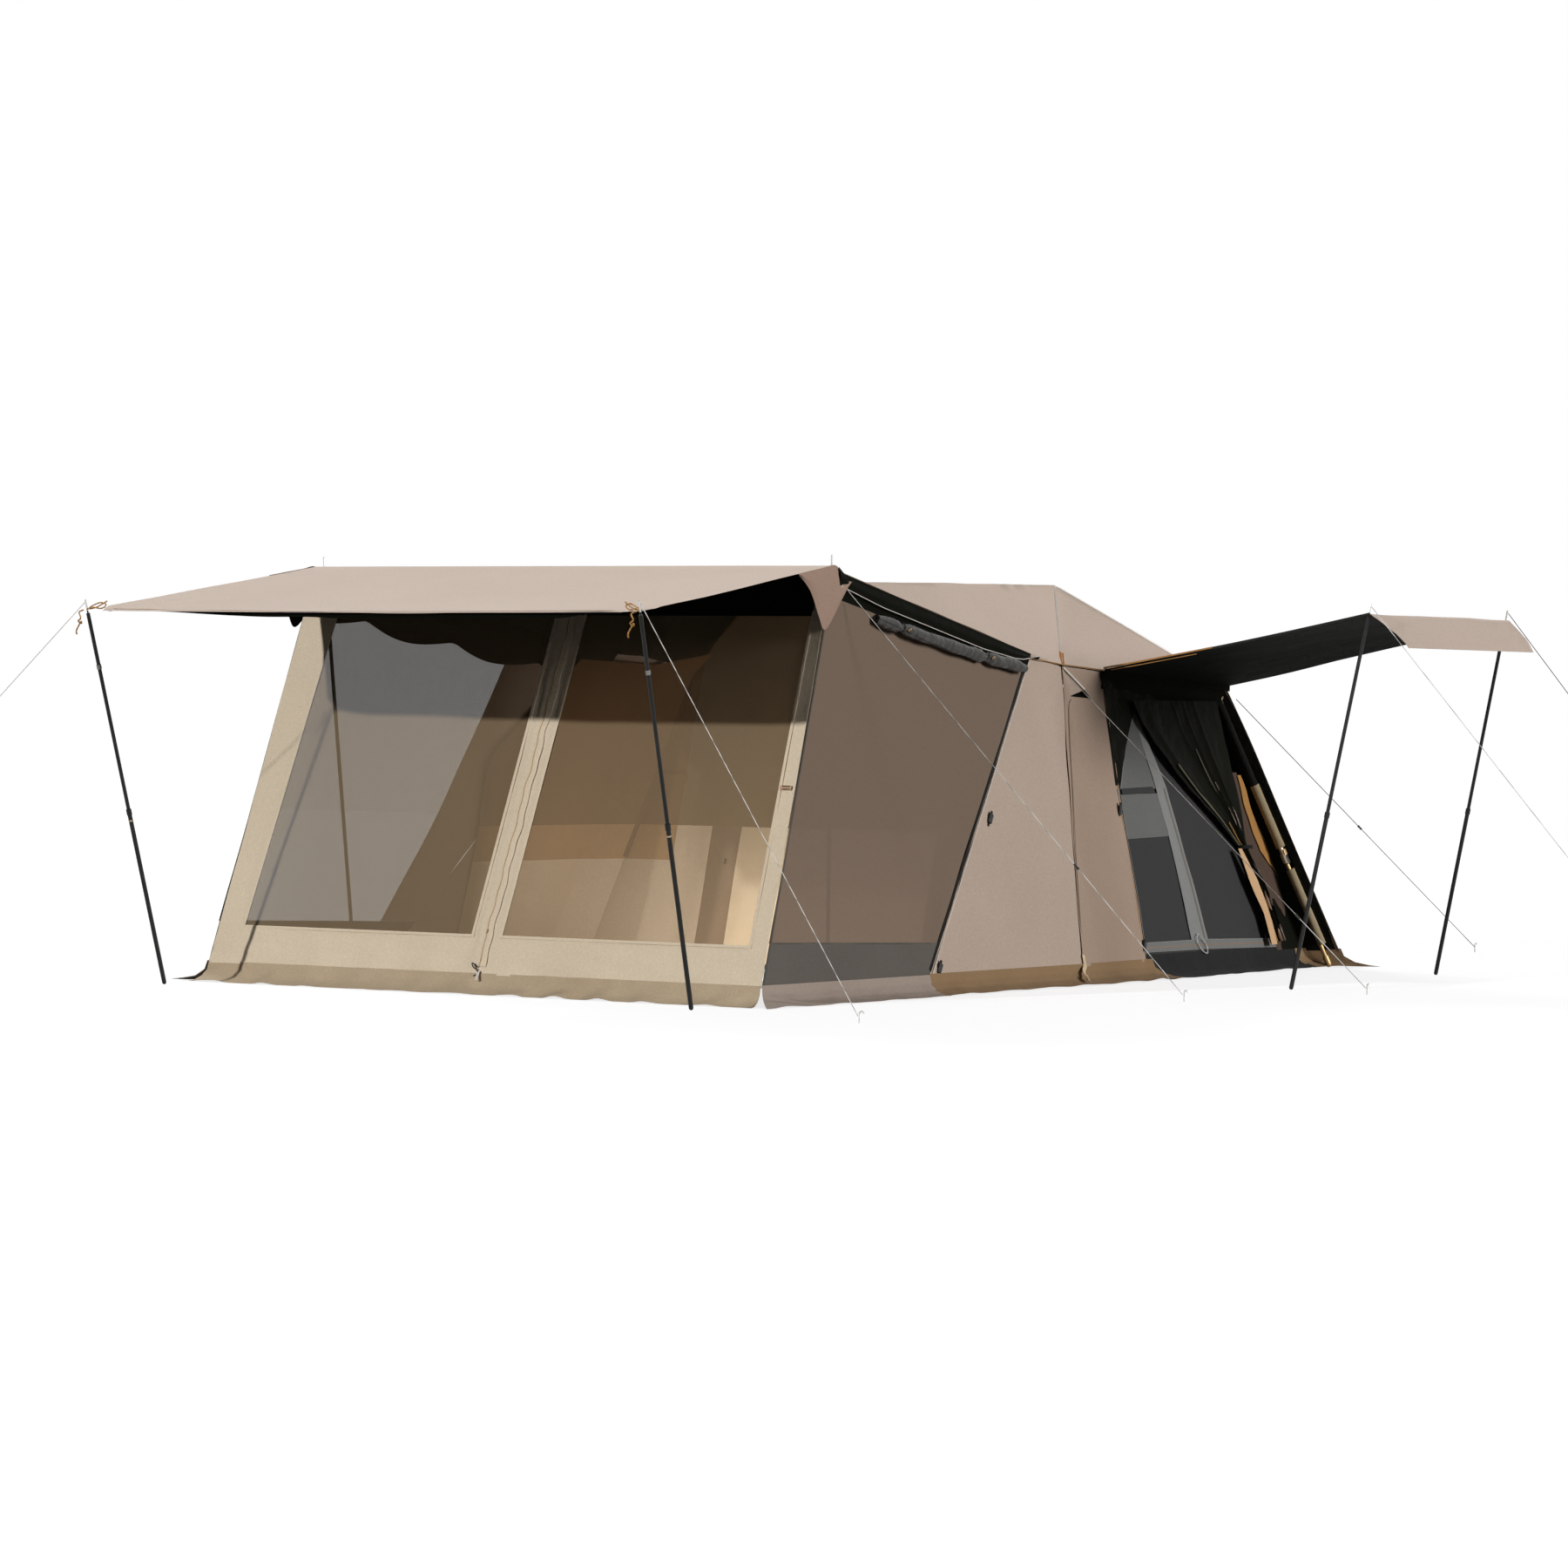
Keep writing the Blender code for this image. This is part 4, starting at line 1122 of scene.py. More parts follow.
def make_tape(
    name: str, path: Sequence[Vector], facing: Sequence[Vector] | Vector, width: float, finish: Finish,
    thickness: float = TAPE_THICKNESS, proud: float = TAPE_PROUD, *, slot: str,
) -> bpy.types.Object:
    """Lay a flat tape along points, its face turned to a direction.

    Args:
        name: the piece's name.
        path: the middle of the tape, point by point.
        facing: the direction that its face looks, one for all points or one for each.
        width: the tape's width.
        finish: what it is made of.
        thickness: how thick it is.
        proud: how far its outer face stands off the path.
        slot: not used.

    Returns:
        The tape.
    """
    facings = [facing] * len(path) if isinstance(facing, Vector) else list(facing)
    rows = []
    for place, point in enumerate(path):
        before, after = path[max(place - 1, 0)], path[min(place + 1, len(path) - 1)]
        sideways = (after - before).cross(facings[place]).normalized()
        centre = point + facings[place].normalized() * (proud + thickness)
        crown = facings[place].normalized() * thickness * TAPE_CROWN
        rows.append([
            tuple(centre + sideways * width * share - crown * (4 * share * share))
            for share in (-0.5, -0.25, 0.0, 0.25, 0.5)
        ])
    points = np.array(rows)
    middle = len(path) // 2
    across = points[middle, 3] - points[middle, 1]
    rise = points[min(middle + 1, len(path) - 1), 2] - points[max(middle - 1, 0), 2]
    if Vector(np.cross(across, rise)).dot(facings[middle]) < 0:
        points = points[:, ::-1]
    piece = grid_mesh(name, points)
    piece.data.materials.append(finish.make())
    thicken(piece, thickness)
    return settle(piece, 40)


def make_round(
    name: str, path: Sequence[Vector], radius: float, finish: Finish, *, closed: bool = False,
) -> bpy.types.Object:
    """Make piping, a loop or a thin rod along points, as a mesh.

    Args:
        name: the piece's name.
        path: the points that its middle follows.
        radius: its radius.
        finish: what it is made of.
        closed: joins its end to its start.

    Returns:
        The piece.
    """
    curve = route_curve(name, path, radius, finish)
    curve.data.splines[0].use_cyclic_u = closed
    activate(curve)
    bpy.ops.object.convert(target="MESH")
    piece = bpy.context.object
    piece.name = name
    edit_clean(piece)
    return settle(piece, 60)


def route_curve(name: str, path: Sequence[Vector], radius: float, finish: Finish) -> bpy.types.Object:
    """Make a round cord as a curve through points.

    Args:
        name: the curve's name.
        path: the points that its middle follows.
        radius: its radius.
        finish: what it is made of.

    Returns:
        The curve.
    """
    curve = bpy.data.curves.new(name, "CURVE")
    curve.dimensions = "3D"
    curve.bevel_depth = radius
    curve.bevel_resolution = 2
    curve.resolution_u = 1
    curve.use_fill_caps = True
    spline = curve.splines.new("POLY")
    spline.points.add(len(path) - 1)
    for spot, point in zip(spline.points, path):
        spot.co = (*point, 1.0)
    curve.materials.append(finish.make())
    piece = bpy.data.objects.new(name, curve)
    bpy.context.collection.objects.link(piece)
    return piece


def smooth_path(points: Sequence[Vector], steps: int = 8) -> list[Vector]:
    """Read a smooth curve through points, with a number of steps between each two.

    Args:
        points: the points that the curve goes through.
        steps: how many steps lie between two of them.

    Returns:
        The curve's points.
    """
    route = []
    for place in range(len(points) - 1):
        before = points[max(place - 1, 0)]
        start, end = points[place], points[place + 1]
        after = points[min(place + 2, len(points) - 1)]
        for step in range(steps):
            t = step / steps
            bend = (2 * before - 5 * start + 4 * end - after) * t * t
            twist = (3 * start - before - 3 * end + after) * t * t * t
            route.append(0.5 * (2 * start + (end - before) * t + bend + twist))
    route.append(points[-1].copy())
    return route


def make_turned(
    name: str, profile: Sequence[tuple[float, float]], start: Vector, along: Vector, finish: Finish,
    *, sides: int = 24,
) -> bpy.types.Object:
    """Turn a profile round a line, as a collar, ring or pin cover is turned.

    Args:
        name: the piece's name.
        profile: radius and height of each point. A ring's profile is closed by its first point.
        start: where height 0 is.
        along: the line's direction.
        finish: what it is made of.
        sides: steps of the turn.

    Returns:
        The turned piece.
    """
    mesh = bpy.data.meshes.new(name)
    corners = [(radius, 0.0, height) for radius, height in profile]
    edges = [(place, place + 1) for place in range(len(corners) - 1)]
    if profile[0][0] > 0 and profile[-1][0] > 0:
        edges.append((len(corners) - 1, 0))
    mesh.from_pydata(corners, edges, [])
    piece = bpy.data.objects.new(name, mesh)
    bpy.context.collection.objects.link(piece)
    activate(piece)
    bpy.ops.object.mode_set(mode="EDIT")
    bpy.ops.mesh.select_all(action="SELECT")
    bpy.ops.mesh.spin(steps=sides, angle=math.tau, center=(0, 0, 0), axis=(0, 0, 1))
    bpy.ops.mesh.select_all(action="SELECT")
    bpy.ops.mesh.remove_doubles(threshold=0.00001)
    bpy.ops.mesh.normals_make_consistent(inside=False)
    bpy.ops.object.mode_set(mode="OBJECT")
    turn = along.normalized().to_track_quat("Z", "Y").to_matrix().to_4x4()
    mesh.transform(Matrix.Translation(start) @ turn)
    mesh.materials.append(finish.make())
    return settle(piece, 35)


@dataclass(frozen=True)
class Sun:
    """A far light: the way that it shines, its strength, and how wide it looks in degrees."""

    name: str
    travel: tuple[float, float, float]
    strength: float
    width: float

    def add(self) -> None:
        """Add the light to the scene."""
        data = bpy.data.lights.new(self.name, "SUN")
        data.energy = self.strength
        data.angle = math.radians(self.width)
        lamp = bpy.data.objects.new(self.name, data)
        bpy.context.collection.objects.link(lamp)
        lamp.rotation_mode = "QUATERNION"
        lamp.rotation_quaternion = Vector(self.travel).to_track_quat("-Z", "Y")


@dataclass
class Studio:
    """The camera where the photograph was taken, plain soft light and a pale floor."""

    place: tuple[float, float, float] = (15.9907, -26.5199, 1.43513)
    yaw: float = 0.571939
    pitch: float = -0.014467
    roll: float = 0.013448
    focal_pixels: float = 6417.46
    photo_pixels: int = 1800
    sensor: float = 36.0
    view_end: float = 200.0
    suns: tuple[Sun, ...] = (
        Sun("key_sun", (0.25, 1.0, -0.331), 2.38, 1.2),
        Sun("right_fill", (-0.95, -0.02, -0.25), 2.6, 20.0),
        Sun("left_fill", (0.85, -0.38, -0.45), 1.9, 25.0),
        Sun("back_fill", (0.45, -0.8, -0.5), 0.75, 60.0),
    )
    daylight_size: tuple[float, float] = (2.0, 0.2)
    daylight_power: float = 19.0
    daylight_colour: tuple[float, float, float] = (1.0, 0.96, 0.92)
    daylight_place: tuple[float, float, float] = (0.1, -2.3, 0.22)
    sky: float = 0.05
    floor_size: float = 60.0
    floor_z: float = -0.0005
    floor_bounce: Colour = (0.10, 0.097, 0.094, 1.0)
    floor_white: Colour = (0.34, 0.34, 0.34, 1.0)
    floor_glow: float = 0.78

    def build(self) -> None:
        """Set up the camera, the lights, the world and the floor."""
        self.add_camera()
        for sun in self.suns:
            sun.add()
        self.add_daylight()
        self.add_world()
        self.add_floor()
        bpy.context.scene.view_settings.view_transform = "Standard"

    def add_camera(self) -> None:
        """Add the camera with the lens and the place that the photograph gives."""
        data = bpy.data.cameras.new("camera")
        data.sensor_width = self.sensor
        data.lens = self.focal_pixels / self.photo_pixels * self.sensor
        camera = bpy.data.objects.new("camera", data)
        bpy.context.collection.objects.link(camera)
        forward = Vector((
            -math.sin(self.yaw) * math.cos(self.pitch), math.cos(self.yaw) * math.cos(self.pitch),
            math.sin(self.pitch),
        ))
        level = Vector((math.cos(self.yaw), math.sin(self.yaw), 0.0))
        above = level.cross(forward)
        right = level * math.cos(self.roll) + above * math.sin(self.roll)
        up = above * math.cos(self.roll) - level * math.sin(self.roll)
        turn = Matrix((right, up, -forward)).transposed().to_4x4()
        camera.matrix_world = Matrix.Translation(Vector(self.place)) @ turn
        data.clip_end = self.view_end
        bpy.context.scene.camera = camera

    def add_daylight(self) -> None:
        """Add the daylight that the pale ground and walls throw back inside the hall, low down."""
        data = bpy.data.lights.new("hall_daylight", "AREA")
        data.shape = "RECTANGLE"
        data.size, data.size_y = self.daylight_size
        data.energy = self.daylight_power
        data.color = self.daylight_colour
        lamp = bpy.data.objects.new("hall_daylight", data)
        lamp.location = self.daylight_place
        lamp.rotation_euler = (math.pi / 2, 0.0, 0.0)
        lamp.visible_camera = lamp.visible_glossy = lamp.visible_transmission = False
        bpy.context.collection.objects.link(lamp)

    def seen(self, tree: bpy.types.NodeTree) -> bpy.types.NodeSocket:
        """Whether the camera, a reflection or a clear thing sees a point."""
        ray = add_node(tree, "LightPath").outputs
        found = ray["Is Camera Ray"]
        for other in ("Is Glossy Ray", "Is Transmission Ray"):
            found = add_node(tree, "Math", {0: found, 1: ray[other]}, operation="MAXIMUM").outputs[0]
        return found

    def add_world(self) -> None:
        """White where the camera or a reflection sees it, plain sky light for the rest."""
        world = bpy.data.worlds.new("studio")
        bpy.context.scene.world = world
        world.use_nodes = True
        tree = world.node_tree
        tree.nodes.clear()
        seen = self.seen(tree)
        strength = add_node(tree, "MapRange", {"Value": seen, "To Min": self.sky, "To Max": 1.0}).outputs[0]
        back = add_node(tree, "Background", {"Color": (1.0, 1.0, 1.0, 1.0), "Strength": strength})
        add_node(tree, "OutputWorld", {"Surface": back.outputs[0]})

    def add_floor(self) -> None:
        """A wide white floor that keeps the tent's soft contact shadow."""
        deselect()
        bpy.ops.mesh.primitive_plane_add(size=self.floor_size, location=(0, 0, self.floor_z))
        floor = bpy.context.object
        floor.name = "floor"
        material = bpy.data.materials.new("studio_white_floor")
        material.use_nodes = True
        tree = material.node_tree
        tree.nodes.clear()
        seen = self.seen(tree)
        matt = add_node(tree, "BsdfDiffuse", {"Color": self.floor_bounce})
        shadowed = add_node(tree, "BsdfDiffuse", {"Color": self.floor_white})
        glow = add_node(tree, "Emission", {"Color": (1.0, 1.0, 1.0, 1.0), "Strength": self.floor_glow})
        white = add_node(tree, "AddShader", {0: shadowed.outputs[0], 1: glow.outputs[0]})
        mixed = add_node(tree, "MixShader", {0: seen, 1: matt.outputs[0], 2: white.outputs[0]})
        add_node(tree, "OutputMaterial", {"Surface": mixed.outputs[0]})
        floor.data.materials.append(material)


@dataclass(frozen=True)
class Pole:
    """A tube's line from its foot to its tip."""

    foot: Vector
    tip: Vector

    @property
    def along(self) -> Vector:
        """The direction from foot to tip."""
        return (self.tip - self.foot).normalized()

    def at(self, share: float) -> Vector:
        """The point at a share of the way up."""
        return self.foot.lerp(self.tip, share)


POLE_RADIUS = 0.0112
HALL_POLE_RADIUS = 0.0095


def awning_poles(plan: Plan) -> dict[str, Pole]:
    """The four awning poles, by name.

    Args:
        plan: the driving sizes.

    Returns:
        Each pole's line.
    """
    poles = {
        f"front_awning_pole_{side.word}": Pole(
            on_side(side, *plan.front_pole_foot, POLE_RADIUS), on_side(side, *plan.front_awning_tip),
        )
        for side in Side
    }
    x, y, z = plan.side_awning_tip
    for word, foot, tip_y in (("near", plan.side_near_pole_foot, -y), ("far", plan.side_far_pole_foot, y)):
        poles[f"side_awning_pole_{word}"] = Pole(Vector((*foot, POLE_RADIUS)), Vector((x, tip_y, z)))
    return poles


def hall_pole(plan: Plan, side: Side) -> Pole:
    """The inner pole that holds up one corner of the hall's front."""
    foot = on_side(side, plan.hall_base_half_width - 0.22, plan.hall_top_y + 0.20, HALL_POLE_RADIUS)
    tip = on_side(side, plan.hall_top_half_width - 0.03, plan.hall_top_y + 0.03, plan.roof_z)
    return Pole(foot, tip)


@dataclass(frozen=True)
class Guy:
    """One guyline: where it starts, where its peg stands and how far down its tensioner is, if any."""

    name: str
    start: Vector
    peg: Vector
    tensioner: float | None = None


@dataclass
class Guylines:
    """The seven cords with their pegs and tensioners."""

    plan: Plan
    radius: float = 0.002
    points: int = 16
    above_awning: float = 0.04
    pin_gap: float = 0.0072
    below_hook: float = 0.012
    peg_gap: float = 0.0075
    low_peg: float = 0.045
    tall_peg: float = 0.125
    dark: tuple[str, str] = ("rear_right", "side_far")

    def guys(self) -> list[Guy]:
        """List the guylines, each to its peg's top.

        Returns:
            The guylines.
        """
        poles = awning_poles(self.plan)
        low, tall = self.low_peg, self.tall_peg
        free = [
            Guy("hall_right", Vector((1.60, -3.62, 1.985)), Vector((2.85, -2.46, low)), tensioner=0.68),
            Guy("post_right", Vector((1.285, -0.945, 1.61)), Vector((3.19, -1.16, low)), tensioner=0.78),
            Guy("rear_right", Vector((1.285, 0.955, 1.49)), Vector((1.37, 3.86, low)), tensioner=0.50),
        ]
        held = [
            ("front_left", "front_awning_pole_left", Vector((-3.30, -5.90, tall))),
            ("front_right", "front_awning_pole_right", Vector((2.70, -5.22, low))),
            ("side_near", "side_awning_pole_near", Vector((4.72, -0.92, tall))),
            ("side_far", "side_awning_pole_far", Vector((4.40, 1.17, tall))),
        ]
        for name, pole, peg in held:
            line = poles[pole]
            pin = line.tip + line.along * self.above_awning
            away = Vector((peg.x - pin.x, peg.y - pin.y, 0)).normalized()
            free.append(Guy(name, pin + away * self.pin_gap, peg))
        return free

    def route(self, guy: Guy) -> list[Vector]:
        """The straight route of a taut cord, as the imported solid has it."""
        rod = guy.peg - Vector((0, 0, self.below_hook))
        back = Vector((guy.start.x - rod.x, guy.start.y - rod.y, 0)).normalized()
        end = rod + back * self.peg_gap
        return [guy.start.lerp(end, step / (self.points - 1)) for step in range(self.points)]

    def build(self) -> None:
        """Make the cords and dress their pegs and tensioners."""
        for guy in self.guys():
            route = self.route(guy)
            finish = BLACK_CORD if guy.name in self.dark else GUY_CORD
            cord = route_curve(f"{guy.name}_cord", route, self.radius, finish)
            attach(cord, ROOT)
            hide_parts(f"guyline_{guy.name}")
            dress(f"peg_{guy.name}", SILVER_PIN)
            if guy.tensioner:
                dress(f"tensioner_{guy.name}", BLACK_PLASTIC)
            length = (route[-1] - route[0]).length
            tuple(guy.start)
            LOG.info("%s: a cord of %.2f m", guy.name, length)


def dress(node: str, finish: Finish) -> None:
    """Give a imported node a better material.

    Args:
        node: the node's name.
        finish: what it is made of.
    """
    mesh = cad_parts[node].data
    mesh.materials.clear()
    mesh.materials.append(finish.make())


@dataclass
class Fly:
    """The big roof cloth over the hall and the sleeping room, with its seams and eave trims."""

    plan: Plan
    corner_drop: float = 0.075
    eave_drop: float = 0.042
    eave_out: float = 0.014
    door_hem: float = 0.006
    stations: tuple[int, int, int] = (40, 16, 16)
    # How far the black eave band hangs below the eave along its length; the band is partly painted shade.
    band_drops: tuple[tuple[float, ...], tuple[float, ...]] = (
        (0.0, 0.2, 0.7, 0.9, 1.0), (0.092, 0.110, 0.104, 0.080, 0.020),
    )

    def top_z(self, y: float) -> float:
        """The height of the roof's middle at a place along the tent."""
        p = self.plan
        if y > 0:
            return p.roof_z - (p.roof_z - p.rear_eave_z) * y / p.eave_y
        share = (y - p.hall_top_y) / -p.hall_top_y
        return p.roof_z - self.corner_drop * ease(share / 0.05) * (1 - share)

    def hip(self, y: float) -> Vector:
        """The roof's hip on the right side, or the eave in front of the post.

        Args:
            y: the place along the tent.

        Returns:
            The point on the line.
        """
        p = self.plan
        if y < -p.eave_y:
            return self.eave(y)
        share = abs(y) / p.eave_y
        corner_z = p.front_eave_z if y < 0 else p.rear_eave_z
        x = p.ridge_half_length + (p.eave_x - p.ridge_half_length) * share
        return Vector((x, y, p.roof_z + (corner_z - p.roof_z) * share))

    def eave(self, y: float) -> Vector:
        """The roof's edge on the right side, before its hem.

        Args:
            y: the place along the tent.

        Returns:
            The point on the edge.
        """
        p = self.plan
        if y < -p.eave_y:
            share = (y - p.hall_top_y) / (-p.eave_y - p.hall_top_y)
            x = p.hall_top_half_width + (p.eave_x - p.hall_top_half_width) * share
            return Vector((x, y, p.roof_z + (p.front_eave_z - p.roof_z) * share))
        share = (y + p.eave_y) / (2 * p.eave_y)
        return Vector((p.eave_x, y, p.front_eave_z + (p.rear_eave_z - p.front_eave_z) * share))

    def hem_drop(self, y: float) -> float:
        """How far the hem hangs below the eave's straight line at a place along the tent."""
        p = self.plan
        share = (y - p.hall_top_y) / (-p.eave_y - p.hall_top_y)
        if share > 1:
            return self.door_hem
        return self.eave_drop * ease(share / 0.04) * (1 - 0.85 * ease((share - 0.85) / 0.15)) + 0.001

    def hem(self, y: float) -> Vector:
        """The lower edge of the roof cloth on the right side."""
        out = self.eave_out if y < -self.plan.eave_y else self.door_hem
        return self.eave(y) + Vector((out, 0, -self.hem_drop(y)))

    def crease_point(self, y: float) -> Vector:
        """A point between the middle and the hip, on the fold of the hall's roof where there is one.

        Args:
            y: the place along the tent.

        Returns:
            The point.
        """
        p = self.plan
        if y > 0:
            return Vector((self.hip(y).x * 0.6, y, self.top_z(y)))
        share = -y / -p.hall_top_y
        x = p.ridge_half_length + (p.hall_top_half_width - p.ridge_half_length) * share
        x = min(x, self.hem(y).x - 0.02)
        return Vector((x, y, self.top_z(y)))

    def half_section(self, y: float) -> list[Vector]:
        """The right half of the roof's section at a place along the tent, from middle to hem."""
        eave = self.eave(y)
        hem = self.hem(y)
        if y < -self.plan.eave_y:
            eave = hem + Vector((-0.010, 0, 0.006))
            return [Vector((0, y, self.top_z(y))), self.crease_point(y), eave, eave, hem]
        return [Vector((0, y, self.top_z(y))), self.crease_point(y), self.hip(y), eave, hem]

    def rows(self) -> Rows:
        """The roof's control rows from front to rear, each from the left hem to the right one.

        Returns:
            The rows of points.
        """
        p = self.plan
        ends = [p.hall_top_y + 0.004, -p.eave_y - 0.0005, 0.0, p.eave_y]
        places = []
        for start, end, count in zip(ends, ends[1:], self.stations):
            places += [start + (end - start) * step / count for step in range(count)]
        places.append(ends[-1])
        rows = []
        for y in places:
            right = self.half_section(y)
            left = [Vector((-point.x, point.y, point.z)) for point in reversed(right[1:])]
            rows.append(left + right)
        return rows

    def away_from_front(self, point: Vector) -> float:
        """How freely the roof moves at a point, not at all along its front edge."""
        return ease((point.y - self.plan.hall_top_y) / 0.25)

    def build(self) -> None:
        """Make the cloth and its trims."""
        rows = self.rows()
        points = refine(rows, [1, 6, 8, 12, 12, 8, 6, 1], [1] * (len(rows) - 1))
        p = self.plan
        corners = [on_side(side, p.eave_x, y, z) for side in Side
                   for y, z in ((-p.eave_y, p.front_eave_z), (p.eave_y, p.rear_eave_z))]
        pulls = [Pull(corner, 14, 0.004, 0.30, turn) for turn, corner in enumerate(corners)]
        pulls += [Pull(on_side(side, p.ridge_half_length, 0, p.roof_z), 10, 0.003, 0.35) for side in Side]
        cut = make_cloth(
            "fly_cloth", points, (0, 0, 1), FLY_CLOTH, BLACK_COATING,
            creases=[*pulls, Slack(0.006, 0.7, 3.0, self.away_from_front)], clean=True,
        )
        trims = []
        for side in Side:
            trims += [*self.add_hip_seams(side), self.add_eave_band(side), *self.add_hem_trims(side)]
        declare(["roof"])

    def add_hip_seams(self, side: Side) -> list[bpy.types.Object]:
        """Add the tapes along the hips, from the ridge to the corners.

        Args:
            side: which side of the tent.

        Returns:
            Both tapes.
        """
        reach = self.plan.eave_y
        trims = []
        for word, sign in (("front", -1), ("rear", 1)):
            path = [on_side(side, *self.hip(sign * reach * (0.02 + 0.96 * share))) for share in shares(12)]
            facing = Vector((side.value * 0.5, sign * 0.35, 0.8))
            trims.append(make_tape(
                f"fly_hip_seam_{word}_{side.word}", path, facing, 0.010, PALE_PIPING,
                thickness=0.0012, proud=0.004, slot="fly",
            ))
        return trims

    def add_eave_band(self, side: Side) -> bpy.types.Object:
        """Add the black band that hangs below the hall's eave: partly a dark band of cloth, partly painted
        shade under the eave.

        Args:
            side: which side of the tent.

        Returns:
            The piping along the band's lower edge.
        """
        start, end, steps = self.plan.hall_top_y + 0.02, -self.plan.eave_y - 0.36, 24
        rows = [[], [], []]
        for share in shares(steps):
            y = start + (end - start) * share
            drop = float(np.interp(share, *self.band_drops))
            top = self.hem(y) + Vector((0.006, 0, 0.005))
            low = self.eave(y) + Vector((0.028, 0, -drop))
            for row, point in zip(rows, (low, low.lerp(top, 0.5) + Vector((0.008, 0, 0)), top)):
                row.append(on_side(side, *point))
        band = make_cloth(
            f"fly_eave_band_{side.word}", refine(rows, [1] * steps, [3, 3]), (side.value, 0, 0.05),
            BLACK_COATING, creases=[Slack(0.004, 0.12, 8.0)],
        )
        declare()
        piping = [point + Vector((side.value * 0.002, 0, 0)) for point in rows[0]]
        return make_round(f"fly_eave_piping_{side.word}", piping, 0.0024, PALE_PIPING)

    def add_hem_trims(self, side: Side) -> list[bpy.types.Object]:
        """Add the black band over the door, the cord in the hem and the patch at the roof's corner.

        Args:
            side: which side of the tent.

        Returns:
            The trims.
        """
        p = self.plan
        over_door = np.linspace(-0.49, 0.92, 20)
        under = [on_side(side, *(self.eave(y) + Vector((0.0095, 0, -0.010)))) for y in over_door]
        hem = [
            on_side(side, *self.hem(y - p.eave_y)) + Vector((side.value * 0.003, 0, lift))
            for lift, places in ((0.002, (-0.42, -0.2, -0.01)), (0.004, (0.01, 0.2, 0.43))) for y in places
        ]
        corner = on_side(side, p.eave_x, -p.eave_y, p.front_eave_z)
        inner = on_side(side, *self.hip(-p.eave_y * 0.86))
        return [
            make_tape(
                f"fly_door_band_{side.word}", under, Vector((side.value, 0, 0)), 0.036, BLACK_COATING,
                thickness=0.0015, proud=0.002, slot="fly",
            ),
            make_round(f"fly_hem_cord_{side.word}", hem, 0.003, TAN_TAPE),
            make_tape(
                f"fly_corner_patch_{side.word}", [corner.lerp(inner, share) for share in shares(2)],
                Vector((side.value * 0.7, -0.3, 0.6)), 0.030, ORANGE_TAPE,
                thickness=0.001, proud=0.005, slot="fly",
            ),
        ]


